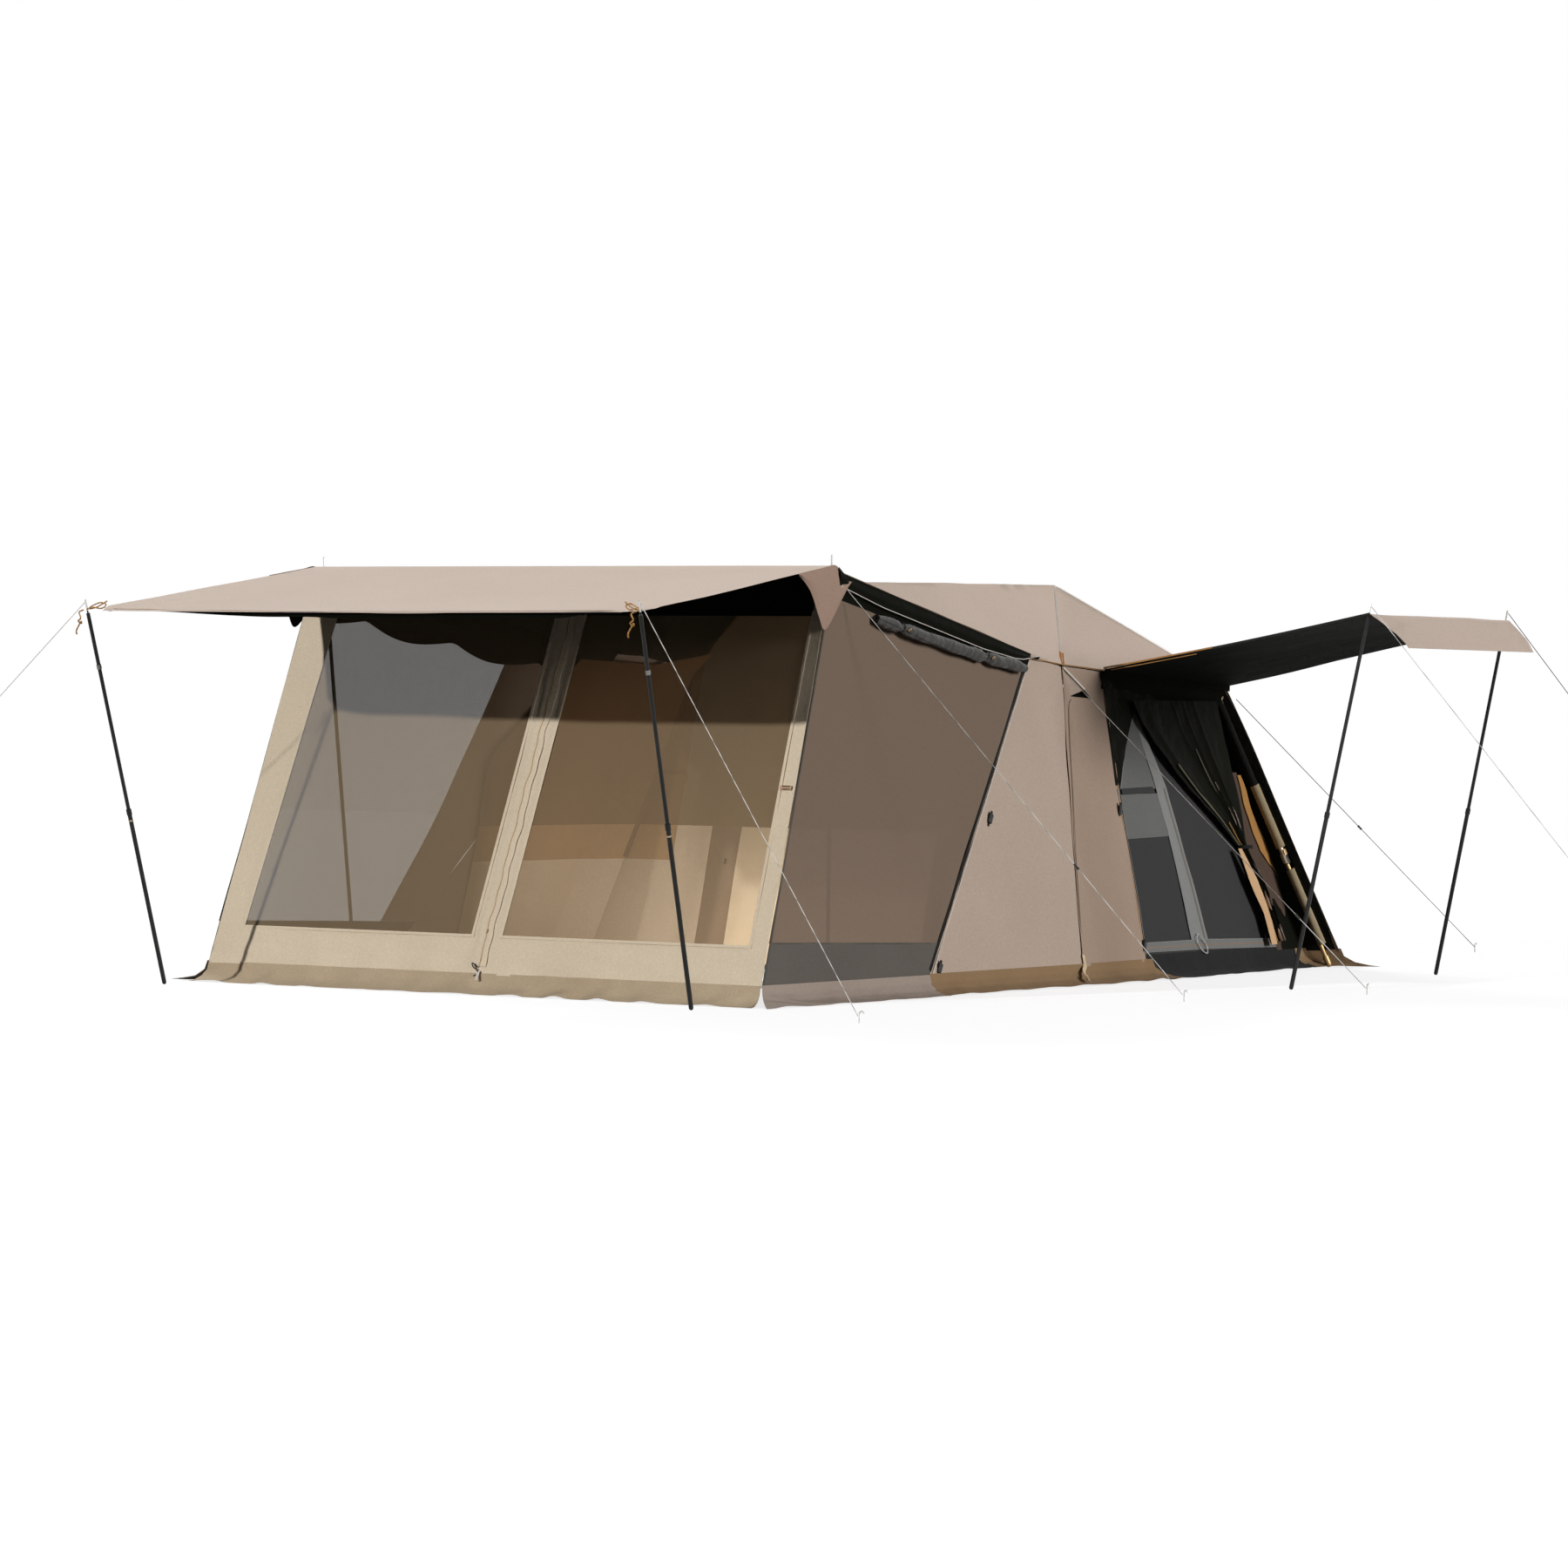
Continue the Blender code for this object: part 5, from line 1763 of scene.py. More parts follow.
@dataclass
class FrontAwning:
    """The front awning with its hem, valance, corner cords and the gussets at the hall's corners."""

    plan: Plan
    sag: float = 0.035
    corner_gap: float = 0.07
    valance: float = 0.030
    valance_start: float = 0.08
    valance_end: float = 0.94

    def corners(self) -> tuple[Vector, Vector, Vector, Vector]:
        """Inner left, inner right, outer left and outer right corners of the cloth.

        Returns:
            The four corners, in that order.
        """
        p = self.plan
        inner = (p.hall_top_half_width + 0.004, p.hall_top_y + 0.004, p.roof_z + 0.003)
        tip = Vector(p.front_awning_tip)
        outer = tip + Vector((0.012, -0.012, 0.002))
        return (
            on_side(Side.LEFT, *inner), on_side(Side.RIGHT, *inner),
            on_side(Side.LEFT, *outer), on_side(Side.RIGHT, *outer),
        )

    def place(self, across: float, out: float) -> Vector:
        """A point of the awning.

        Args:
            across: from the left edge, 0, to the right one, 1.
            out: from the hall, 0, to the front hem, 1.

        Returns:
            The point, with the cloth's sag.
        """
        inner_left, inner_right, outer_left, outer_right = self.corners()
        point = inner_left.lerp(outer_left, out).lerp(inner_right.lerp(outer_right, out), across)
        middle = math.sin(math.pi * across)
        belly = math.sin(math.pi * out ** 1.3)
        point.z -= self.sag * belly * middle + 0.006 * middle * out
        corner = min(across, 1 - across) / self.corner_gap
        if corner < 1:
            side = -1 if across < 0.5 else 1
            cut_in = self.corner_gap * (1 - corner) * max(0.0, (out - 0.90) / 0.10)
            point.x -= side * cut_in * 0.9
            point.y += cut_in * 0.9
        return point

    def away_from_hall(self, point: Vector) -> float:
        """How freely the cloth moves at a point, not at all where it is sewn to the hall's roof."""
        return ease((self.plan.hall_top_y - point.y) / 0.25)

    def hem_line(self, out: float) -> list[Vector]:
        """A line along the front hem at a share of the way out."""
        return [self.place(0.03 + 0.94 * share, out) for share in shares(40)]

    def build(self) -> None:
        """Make the cloth with its hem, valance, loops and knots, and both gussets."""
        inner_left, inner_right, outer_left, outer_right = self.corners()
        pulls = [
            Pull(outer_left, 16, 0.006, 0.5, 0.4), Pull(outer_right, 16, 0.006, 0.5, 1.9),
            Pull(inner_left, 12, 0.003, 0.3), Pull(inner_right, 12, 0.003, 0.3, 1.0),
        ]
        cut = make_cloth(
            "front_awning_cloth", sample(self.place, 72, 40), (0, 0, 1), FLY_CLOTH, BLACK_COATING,
            creases=[*pulls, Slack(0.006, 0.6, 11.0, self.away_from_hall)],
        )
        trims = [make_tape(
            "front_awning_hem", self.hem_line(0.994), Vector((0, -0.25, 1)), 0.022, FLY_CLOTH,
            thickness=0.0014, proud=0.0005, slot="fly",
        )]
        self.add_valance()
        stitches = [point + Vector((0, 0, 0.002)) for point in self.hem_line(0.972)]
        trims.append(make_round("front_awning_hem_stitches", stitches, 0.0012, SEAM_TAPE))
        for side in Side:
            trims += [self.add_loop(side), self.add_knot(side)]
        declare(["front_awning"])
        for side in Side:
            self.add_gusset(side)

    def valance_place(self, across: float, up: float) -> Vector:
        """A point of the valance.

        Args:
            across: from its left end, 0, to its right one, 1.
            up: from its lower edge, 0, to the hem, 1.

        Returns:
            The point.
        """
        share = self.valance_start + (self.valance_end - self.valance_start) * across
        depth = self.valance * (0.35 + 0.65 * ease(share / 0.6)) * ease((share - self.valance_start) / 0.2)
        uneven = 1 + 0.25 * noise.noise(Vector((share * 11, 0, 3.0)))
        depth *= ease((self.valance_end - share) / 0.10) * uneven
        return self.place(share, 0.985) + Vector((0, 0.004, -0.002 - depth * (1 - up)))

    def add_valance(self) -> None:
        """Add the black strip that shows below the front hem, deepest in its middle: partly the hem's black
        inner face, partly painted shade under the awning.
        """
        points = sample(self.valance_place, 60, 3)
        cut = make_cloth("front_awning_valance", points, (0, -1, 0), BLACK_COATING)
        declare()

    def add_knot(self, side: Side) -> bpy.types.Object:
        """Add the knotted end of the cord, hanging beside the pole.

        Args:
            side: which side of the tent.

        Returns:
            The cord's end.
        """
        tip = on_side(side, *self.plan.front_awning_tip) + Vector((-0.035, -0.012, 0.0))
        steps = (
            (0.020, 0, 0.004), (-0.004, -0.004, -0.008), (0.008, -0.006, -0.036),
            (-0.010, -0.003, -0.050), (0.004, 0.004, -0.062), (0.010, -0.006, -0.052),
            (-0.004, -0.004, -0.070), (-0.022, -0.002, -0.098), (-0.020, 0.0, -0.116),
        )
        path = smooth_path([tip + Vector(step) for step in steps], 5)
        return make_round(f"front_awning_knot_{side.word}", path, 0.0038, TAN_CORD)

    def add_loop(self, side: Side) -> bpy.types.Object:
        """Add the tan cord that laces a corner to its pole's pin.

        Args:
            side: which side of the tent.

        Returns:
            The cord.
        """
        tip = on_side(side, *self.plan.front_awning_tip)
        inward = Vector((-side.value, 0.25, 0)).normalized()
        lift = Vector((0, 0, 1))
        laced = (
            (0.03, 0.016), (0.075, 0.012), (0.10, 0.03), (0.07, 0.040), (0.03, 0.026),
        )
        path = smooth_path([
            tip + lift * 0.006 + Vector((0, -0.008, 0)),
            *[tip + inward * away + lift * up for away, up in laced],
            tip + lift * 0.010 + Vector((0, 0.009, 0)),
            tip + inward * 0.05 + lift * 0.018, tip + inward * 0.105 + lift * 0.048,
        ], 5)
        return make_round(f"front_awning_loop_{side.word}", path, 0.0035, TAN_CORD)

    def add_gusset(self, side: Side) -> None:
        """Add the cloth that hangs from the awning's root round the hall's corner.

        Args:
            side: which corner.
        """
        p = self.plan
        root = on_side(side, p.hall_top_half_width + 0.010, p.hall_top_y, p.roof_z + 0.004)
        _, inner, _, outer = self.corners()
        edge = [inner.lerp(outer, share) for share in (0.20, 0.13, 0.06)]
        top = [on_side(side, point.x, point.y, point.z + 0.002) for point in edge]
        top += [root, on_side(side, 1.575, -3.63, 2.065), on_side(side, 1.573, -3.561, 2.030)]
        low = [on_side(side, *place) for place in (
            (1.594, -4.045, 2.044), (1.600, -3.955, 1.975), (1.606, -3.885, 1.855),
            (1.604, -3.825, 1.790), (1.596, -3.700, 1.895), (1.578, -3.565, 2.026),
        )]
        edges = list(zip(smooth_path(low, 5), smooth_path(top, 5)))
        rows = []
        for up in shares(12):
            swell = Vector((side.value * 0.014 * math.sin(math.pi * up), 0, 0))
            rows.append([foot.lerp(head, up) + swell for foot, head in edges])
        # The gusset's cloth is the fly's Oxford drawn darker as painted shade.
        cut = make_cloth(
            f"front_gusset_{side.word}", as_grid(rows), (side.value, 0, 0), GUSSET_SHADED_CLOTH, BLACK_COATING,
            clean=True, creases=[Pull(root, 9, 0.003, 0.2)],
        )
        declare()


@dataclass
class SideAwning:
    """The side awning with its hanging outer flap and its bound hems."""

    plan: Plan
    rise: float = 0.03
    flap_out: float = 0.18
    flap_drop: float = 0.17
    flap_narrowing: float = 0.08

    def corners(self) -> tuple[Vector, Vector, Vector, Vector]:
        """Inner near, inner far, outer near and outer far corners.

        Returns:
            The four corners, in that order.
        """
        p = self.plan
        share = (p.side_awning_start_y + p.eave_y) / (2 * p.eave_y)
        start_z = p.front_eave_z + (p.rear_eave_z - p.front_eave_z) * share
        x, y, z = p.side_awning_tip
        return (
            Vector((p.eave_x + 0.010, p.side_awning_start_y, start_z + 0.004)),
            Vector((p.eave_x + 0.010, p.eave_y, p.rear_eave_z + 0.004)),
            Vector((x + 0.014, -y - 0.014, z + 0.002)), Vector((x + 0.014, y + 0.014, z + 0.002)),
        )

    def place(self, across: float, out: float) -> Vector:
        """A point of the awning: across from near to far, out from the eave to the flap's fold.

        Args:
            across: the share of the way from near to far.
            out: the share of the way out.

        Returns:
            The point.
        """
        inner_near, inner_far, outer_near, outer_far = self.corners()
        point = inner_near.lerp(outer_near, out).lerp(inner_far.lerp(outer_far, out), across)
        point.z += self.rise * math.sin(math.pi * across) * math.sin(math.pi * out)
        edge = math.sin(math.pi * out)
        if across < 0.12:
            point.z -= 0.010 * edge * (1 - across / 0.12)
        return point

    def flap_place(self, across: float, down: float) -> Vector:
        """A point of the flap: across from near to far, down from its fold to its hem.

        Args:
            across: the share of the way from near to far.
            down: the share of the way down.

        Returns:
            The point.
        """
        _, _, outer_near, outer_far = self.corners()
        top = outer_near.lerp(outer_far, across)
        low_near = outer_near + Vector((self.flap_out, self.flap_narrowing, -self.flap_drop))
        low_far = outer_far + Vector((self.flap_out, -self.flap_narrowing, -self.flap_drop))
        low = low_near.lerp(low_far, across)
        point = top.lerp(low, down)
        point.x += 0.018 * math.sin(math.pi * down)
        return point

    def build(self) -> None:
        """Make the awning, its flap and its hems."""
        whole = np.concatenate([sample(self.place, 40, 40), sample(self.flap_place, 40, 10)[1:]])
        pulls = [Pull(corner, 12, 0.005, 0.4, turn) for turn, corner in enumerate(self.corners())]
        cut = make_cloth(
            "side_awning_cloth", whole, (0, 0, 1), FLY_CLOTH, BLACK_COATING,
            creases=[*pulls, Slack(0.006, 0.5, 21.0)],
        )
        for name, start, end, drop, width, tape in (
            ("root_hem", 0.0, 0.42, 0.004, 0.010, TAN_TAPE),
            ("root_fold", 0.03, 0.36, -0.014, 0.005, TAN_TAPE),
            ("near_hem", 0.40, 1.0, 0.0, 0.016, BLACK_TAPE),
        ):
            edge = [self.place(0.0, start + (end - start) * share) for share in shares(20)]
            make_tape(
                f"side_awning_{name}", [point + Vector((0, 0, drop)) for point in edge],
                Vector((0.1, -1, 0.5)), width, tape, thickness=0.0014, proud=0.001, slot="fly",
            )
        make_tape(
            "side_awning_flap_hem", [self.flap_place(share, 0.99) for share in shares(24)],
            Vector((0.7, 0, 0.5)), 0.012, FLY_CLOTH, thickness=0.0014, proud=0.001, slot="fly",
        )
        declare(["side_awning"])


@dataclass
class FrontWall:
    """The hall's front wall: cream cloth round two windows, with its zip, a black head band of painted
    shade, and its skirt.
    """

    plan: Plan
    sill_z: float = 0.28
    head_z: float = 1.88
    left_outer: tuple[float, float] = (-1.49, -1.36)
    left_inner: tuple[float, float] = (-0.07, 0.01)
    right_inner: tuple[float, float] = (0.10, 0.18)
    right_outer: tuple[float, float] = (1.55, 1.51)
    net_lap: float = 0.008
    zip_foot: float = 0.13
    zip_head: float = 1.92

    def edge_x(self, edge: tuple[float, float], z: float) -> float:
        """The x of a window's edge at a height."""
        return edge[0] + (edge[1] - edge[0]) * (z - self.sill_z) / (self.head_z - self.sill_z)

    def rim_x(self, side: Side, z: float) -> float:
        """The x of the wall's outer edge at a height."""
        p = self.plan
        width = p.hall_base_half_width + (p.hall_top_half_width - p.hall_base_half_width) * p.rise(z)
        return side.value * (width - 0.004)

    def point(self, x: float, z: float, proud: float = 0.0) -> Vector:
        """A point of the wall by its x and its height."""
        p = self.plan
        y = p.hall_base_y + (p.hall_top_y - p.hall_base_y) * p.rise(z)
        return Vector((x, y, z)) + SHELL.front().normal(0.5, 0.5) * proud

    def columns_at(self, z: float) -> list[float]:
        """The x of the wall's edges and window edges at a height, from left to right."""
        edges = (self.left_outer, self.left_inner, self.right_inner, self.right_outer)
        inner = [self.edge_x(edge, z) for edge in edges]
        return [self.rim_x(Side.LEFT, z), *inner, self.rim_x(Side.RIGHT, z)]

    def build(self) -> None:
        """Make the wall, its skirt, both windows and the trims."""
        p = self.plan
        heights = [p.wall_foot_z, self.sill_z, self.head_z, p.roof_z - p.under_roof]
        rows = [[self.point(x, z) for x in self.columns_at(z)] for z in heights]
        points = refine(rows, [4, 40, 6, 40, 4], [8, 48, 6])

        def in_window(centre: Vector) -> bool:
            """Whether a face lies in one of the windows."""
            if not self.sill_z < centre.z < self.head_z:
                return False
            _, left, left_end, right, right_end, _ = self.columns_at(centre.z)
            return left < centre.x < left_end or right < centre.x < right_end

        cut = make_cloth(
            "front_wall_cloth", points, (0, -1, 0), FRONT_CLOTH, gone=in_window,
            creases=[
                Slack(0.005, 0.35, 31.0), Ripple(Vector((1, 0, 0)), 0.42, 0.004, 5.0, self.sill_share),
                Ripple(Vector((0.12, 0, 1)), 0.10, 0.006, 1.0, self.sill_share),
            ],
        )
        trims = self.add_zip_strip() + self.add_seams()
        declare(["front_wall"])
        self.add_skirt()
        self.add_head_band()
        for side in Side:
            self.add_window(side)

    def sill_share(self, point: Vector) -> float:
        """How much of the sill's puckering reaches a point."""
        return 1 - ease((point.z - self.plan.wall_foot_z) / 0.25)

    def add_skirt(self) -> None:
        """Add the ground skirt that spreads out from the wall's foot."""
        p = self.plan
        half = p.hall_base_half_width - 0.004
        reach = p.skirt_spread + 0.002
        profile = [
            (0.0, p.wall_foot_z + 0.010), (0.012, 0.060), (0.045, 0.028), (0.085, 0.012), (reach, 0.004),
        ]
        rows = []
        for out, z in profile:
            stretch = 1 + 0.02 * out / reach
            rows.append([Vector((x * half * stretch, p.hall_base_y - 0.003 - out, z))
                         for x in (-1.0, -0.5, 0.0, 0.5, 1.0)])
        points = refine(rows, [30, 30, 30, 30], [3, 3, 3, 3])
        cut = make_cloth(
            "front_skirt_cloth", points, (0, -0.6, 0.8), FRONT_SKIRT,
            creases=[Ripple(Vector((1, 0, 0)), 0.30, 0.010, 9.0, skirt_share), Slack(0.008, 0.12, 4.0)],
        )
        declare()

    def add_window(self, side: Side) -> None:
        """Add one window's netting.

        Args:
            side: which of the two windows.
        """
        inner, outer = {
            Side.LEFT: (self.left_inner, self.left_outer), Side.RIGHT: (self.right_inner, self.right_outer),
        }[side]
        low, high = sorted((inner, outer))
        lap = self.net_lap
        rows = [
            [self.point(self.edge_x(edge, z) + over, z, -0.002) for edge, over in ((low, -lap), (high, lap))]
            for z in (self.sill_z - lap, self.head_z + lap)
        ]
        cut = make_cloth(
            f"front_netting_{side.word}", refine(rows, [40], [44]), (0, -1, 0), FRONT_NET,
            creases=[Slack(0.006, 0.5, 41.0 + side.value)], thickness=NET_THICKNESS,
        )
        declare([f"front_mesh_{side.word}"])

    def add_zip_strip(self) -> list[bpy.types.Object]:
        """Add the wavy flaps and chain of the zip between the windows, its cord and tab, and a ring.

        Returns:
            The trims.
        """
        middle = tuple((left + right) / 2 for left, right in zip(self.left_inner, self.right_inner))
        facing = SHELL.front().normal(0.5, 0.5)
        path = []
        for step in range(61):
            z = self.zip_foot + (self.zip_head - self.zip_foot) * step / 60
            wobble = 0.003 * math.sin(step * 0.62) + 0.003 * math.sin(step * 1.4 + 1)
            path.append(self.point(self.edge_x(middle, z) + wobble, z, 0.003))
        trims = []
        for name, shift, width, tape, lift in (
            ("flap_left", -0.019, 0.038, FRONT_CLOTH, 0.0010),
            ("flap_right", 0.018, 0.036, FRONT_CLOTH, 0.0018),
            ("chain", 0.0, 0.005, ZIP_TAPE, 0.0026),
        ):
            line = [
                point + Vector((shift + 0.006 * noise.noise(Vector((place * 0.35, shift * 90, 0.0))), 0, 0))
                for place, point in enumerate(path)
            ]
            trims.append(make_tape(
                f"front_zip_{name}", line, facing, width, tape, thickness=0.0012, proud=lift, slot="wall",
            ))
        foot = self.point(0.005, 0.125, 0.008)
        cord = [foot + Vector(step) for step in (
            (0, 0, 0.0), (-0.014, -0.006, 0.014), (-0.026, -0.008, 0.020), (-0.018, -0.010, 0.002),
            (0.004, -0.012, -0.012), (0.014, -0.014, -0.026), (0.002, -0.015, -0.036),
            (-0.012, -0.016, -0.042),
        )]
        trims.append(make_round("front_zip_cord", smooth_path(cord, 5), 0.0030, BLACK_CORD))
        tab = [
            self.point(0.020 + 0.010 * share, 0.108 - 0.05 * share, 0.010 + 0.020 * share)
            for share in shares(6)
        ]
        trims.append(make_tape("front_zip_tab", tab, facing, 0.016, PALE_PIPING, slot="wall"))
        label = [self.point(1.535 + 0.064 * share, 1.029, 0.008) for share in shares(6)]
        trims.append(make_tape("front_ring_patch", label, facing, 0.022, PEACH_TAPE, slot="wall"))
        for number, lift in enumerate((0.007, -0.006)):
            bar = [point + Vector((0.004, -0.004, lift)) for point in label[1:-1]]
            name = f"front_ring_bar_{number + 1}"
            trims.append(make_round(name, bar, 0.0022, BLACK_CORD))
        return trims

    def add_head_band(self) -> None:
        """Add a black band across the wall's head, above the windows, as painted shade under the awning."""
        left, right = self.edge_x(self.left_outer, self.head_z), self.edge_x(self.right_outer, self.head_z)
        rows = [[self.point(left + (right - left) * share, z, 0.004) for share in (0.0, 1.0)]
                for z in (self.head_z - 0.025, self.plan.roof_z - self.plan.under_roof - 0.002)]
        cut = make_cloth("front_head_band", refine(rows, [40], [6]), (0, -1, 0), BLACK_COATING)
        declare()

    def add_seams(self) -> list[bpy.types.Object]:
        """Add the bindings round the windows and along the sill.

        Returns:
            The bindings.
        """
        trims = []
        facing = SHELL.front().normal(0.5, 0.5)
        lo, li, ri, ro = self.left_outer, self.left_inner, self.right_inner, self.right_outer
        for name, edge in (("left_outer", lo), ("left_inner", li), ("right_inner", ri), ("right_outer", ro)):
            path = [self.point(self.edge_x(edge, z), z, 0.001)
                    for z in np.linspace(self.sill_z - 0.01, self.head_z, 30)]
            trims.append(make_tape(
                f"front_window_binding_{name}", path, facing, 0.016, FRONT_CLOTH, proud=0.0016, slot="wall",
            ))
        for name, low, high in (("left", lo, li), ("right", ri, ro)):
            path = [self.point(x, self.sill_z - 0.003, 0.001)
                    for x in np.linspace(low[0] - self.net_lap, high[0] + self.net_lap, 30)]
            trims.append(make_tape(
                f"front_sill_binding_{name}", path, facing, 0.014, FRONT_CLOTH, proud=0.0018, slot="wall",
            ))
        return trims


def skirt_share(point: Vector) -> float:
    """How freely a skirt ripples at a point, more towards its lower edge."""
    return 1 - ease((point.z - 0.01) / 0.07)


def add_skirt(
    name: str, foot: Sequence[Vector], outward: Vector, finish: Finish, rests_on: str,
    mitres: tuple[float, float] = (1.0, 1.0), seed: float = 0.0, lift: float = 0.0,
) -> Cut:
    """Add a ground skirt that spreads out from a wall's foot.

    Args:
        name: the piece's name.
        foot: the wall's foot line, from its start to its end.
        outward: the level direction away from the tent.
        finish: what it is made of.
        rests_on: not used.
        mitres: how far the skirt's outer edge runs on past each end, in parts of its spread.
        seed: picks the ripples.
        lift: how far it lies above its place, where it laps over a neighbour.

    Returns:
        The skirt.
    """
    profile = [
        (0.002, 0.102), (0.012, 0.060), (0.045, 0.027), (0.085, 0.012), (PLAN.skirt_spread + 0.002, 0.004),
    ]
    tangent = (foot[-1] - foot[0]).normalized()
    rows = []
    for out, z in profile:
        row = []
        for place, point in enumerate(foot):
            share = place / (len(foot) - 1)
            run = (mitres[1] * share - mitres[0] * (1 - share)) * out
            spread = point + outward * out + tangent * run
            row.append(Vector((spread.x, spread.y, z + lift)))
        rows.append(row)
    cells = [max(2, round((b - a).length / 0.035)) for a, b in zip(foot, foot[1:])]
    cut = make_cloth(
        name, refine(rows, cells, [3, 4, 4, 4]), outward * 0.6 + Vector((0, 0, 0.8)), finish,
        creases=[Ripple(tangent, 0.43, 0.005, seed, skirt_share), Slack(0.004, 0.14, seed + 4.0)],
    )
    declare()
    return cut


def make_clip(name: str, spot: Vector, facing: Vector, turn: float) -> list[bpy.types.Object]:
    """Make a black side-release clip on its short strap, as seen along the wall's edges.

    Args:
        name: the clip's name.
        spot: its middle, on the cloth.
        facing: the cloth's normal.
        turn: how far its long way leans towards +Y as it rises.

    Returns:
        The clip's pieces.
    """
    rise = Vector((0, turn, 1)).normalized()
    body = [spot + rise * (0.048 * share - 0.024) for share in shares(8)]
    strap = [spot + rise * (0.085 * share - 0.042) for share in shares(8)]
    return [
        make_tape(
            f"{name}_body", body, facing, 0.030, BLACK_PLASTIC, thickness=0.010, proud=0.002, slot="plastic",
        ),
        make_tape(
            f"{name}_strap", strap, facing, 0.018, BLACK_TAPE, thickness=0.0014, proud=0.001, slot="wall",
        ),
    ]


def make_ring(
    name: str, centre: Vector, facing: Vector, tall: float, wide: float, finish: Finish,
) -> bpy.types.Object:
    """Make a rounded rectangular buckle of thick wire, square to a direction.

    Args:
        name: the piece's name.
        centre: its middle.
        facing: the direction that it looks.
        tall: its height.
        wide: its width.
        finish: what it is made of.

    Returns:
        The buckle.
    """
    sideways = facing.cross(Vector((0, 0, 1))).normalized()
    above = sideways.cross(facing).normalized()
    path = []
    for step in range(24):
        angle = math.tau * step / 24
        across = math.copysign(abs(math.cos(angle)) ** 0.5, math.cos(angle)) * wide / 2
        up = math.copysign(abs(math.sin(angle)) ** 0.5, math.sin(angle)) * tall / 2
        path.append(centre + sideways * across + above * up)
    return make_round(name, path, 0.0026, finish, closed=True)


TOGGLE = [
    (0, 0), (0.0035, 0.001), (0.0045, 0.006), (0.003, 0.016), (0.0045, 0.026), (0.0035, 0.031), (0, 0.032),
]


@dataclass
class HallSide:
    """One of the hall's mesh walls, with its borders, lower band, skirt and rolled cover."""

    plan: Plan
    side: Side
    band_front: tuple[float, float] = (-4.315, 0.298)
    band_rear: tuple[float, float] = (-2.839, 0.255)
    net_front: tuple[float, float] = (0.0, 0.0)
    net_rear: tuple[float, float] = (1.0, 1.0)
    scallop: float = 0.0
    roll_low: float = 0.918
    roll_high: float = 0.943
    roll_start: float = 0.20
    roll_end: float = 0.965
    roll_radius: float = 0.032
    roll_core: float = 0.008
    roll_turns: float = 5.0
    turn_cells: int = 22
    wall_gap: float = 0.040
    head_low: float = 0.935
    head_proud: float = 0.008
    ties: tuple[float, float] = (0.16, 0.72)

    @property
    def wall(self) -> RuledWall:
        """The wall's surface."""
        return SHELL.mesh_side(self.side)

    @property
    def outward(self) -> Vector:
        """The level direction away from the tent."""
        return Vector((self.side.value, 0, 0))

    def front_y(self, z: float) -> float:
        """The y of the wall's front edge at a height."""
        p = self.plan
        return p.hall_base_y + (p.hall_top_y - p.hall_base_y) * p.rise(z)

    def band_z(self, y: float) -> float:
        """The height of the seam between the lower band and the netting."""
        (y0, z0), (y1, z1) = self.band_front, self.band_rear
        return z0 + (z1 - z0) * (y - y0) / (y1 - y0)

    def seam_up(self, along: float) -> float:
        """How far up the wall the band's seam runs, as a share, at a share along the wall."""
        wall = self.wall
        front, rear = wall.share_up(0.0, self.band_front[1]), wall.share_up(1.0, self.band_rear[1])
        return front + (rear - front) * along

    def build(self) -> None:
        """Make the wall and what is on it."""
        wall, word = self.wall, self.side.word
        low = [[wall.at(along, up * self.seam_up(along)) for along in (0.0, 1.0)] for up in (0.0, 1.0)]
        finish = SIDE_NET if self.side is Side.RIGHT else FAR_SHADED_NET
        net = self.add_part("side_netting", self.net_front, self.net_rear, finish, NET_THICKNESS)
        trims = self.add_trims()
        declare([f"side_mesh_{word}"])
        for name, start, end, cloth in (
            ("side_front_border", (0.0, 0.0), self.net_front, BAND_CLOTH),
            ("side_rear_border", self.net_rear, (1.0, 1.0), WALL_CLOTH),
        ):
            if end[1] > start[1]:
                border = self.add_part(name, start, end, cloth, CLOTH_THICKNESS)
                declare()
        band = make_cloth(
            f"side_band_{word}", refine(low, [44], [8]), self.outward, BAND_CLOTH,
            creases=[Slack(0.008, 0.35, 61.0), Ripple(Vector((0, 1, 0)), 0.36, 0.004, 8.0)],
        )
        declare()
        self.add_head_band()
        foot = [wall.at(share, 0.0, 0.002) for share in shares(6)]
        add_skirt(
            f"side_skirt_{word}", foot, self.outward, HALL_SKIRT, band.piece.name, (1.12, 0.1),
            seed=13.0 + self.side.value,
        )
        self.add_roll()

    def add_part(
        self, name: str, start: tuple[float, float], end: tuple[float, float], finish: Finish,
        thickness: float,
    ) -> Cut:
        """Add the stretch of the wall above its band between two slanting edges.

        Args:
            name: the piece's name, without the side.
            start: the front edge's shares along the wall, at the band and at the head.
            end: the rear edge's shares.
            finish: what it is made of.
            thickness: how thick it is drawn.

        Returns:
            The cloth.
        """
        def place(across: float, up: float) -> Vector:
            """A point of the stretch."""
            first = start[0] + (start[1] - start[0]) * up
            last = end[0] + (end[1] - end[0]) * up
            along = first + (last - first) * across
            foot = self.seam_up(along)
            return self.wall.at(along, foot + (1 - foot) * up)

        return make_cloth(
            f"{name}_{self.side.word}", sample(place, 48 if isinstance(finish, Netting) else 12, 44),
            self.outward, finish, thickness=thickness,
            creases=[Slack(0.010, 0.55, 51.0 + self.side.value), Ripple(Vector((0, 1, 0)), 0.6, 0.004, 3.0)],
        )

    def head_place(self, across: float, up: float) -> Vector:
        """A point of the head band, across from the front and up from its scalloped edge."""
        swag = abs(math.sin(math.pi * (across * 3.4 + 0.35)))
        low = self.head_low - self.scallop * swag * ease(across / 0.1)
        return self.wall.at(across, low + (0.997 - low) * up, self.head_proud)

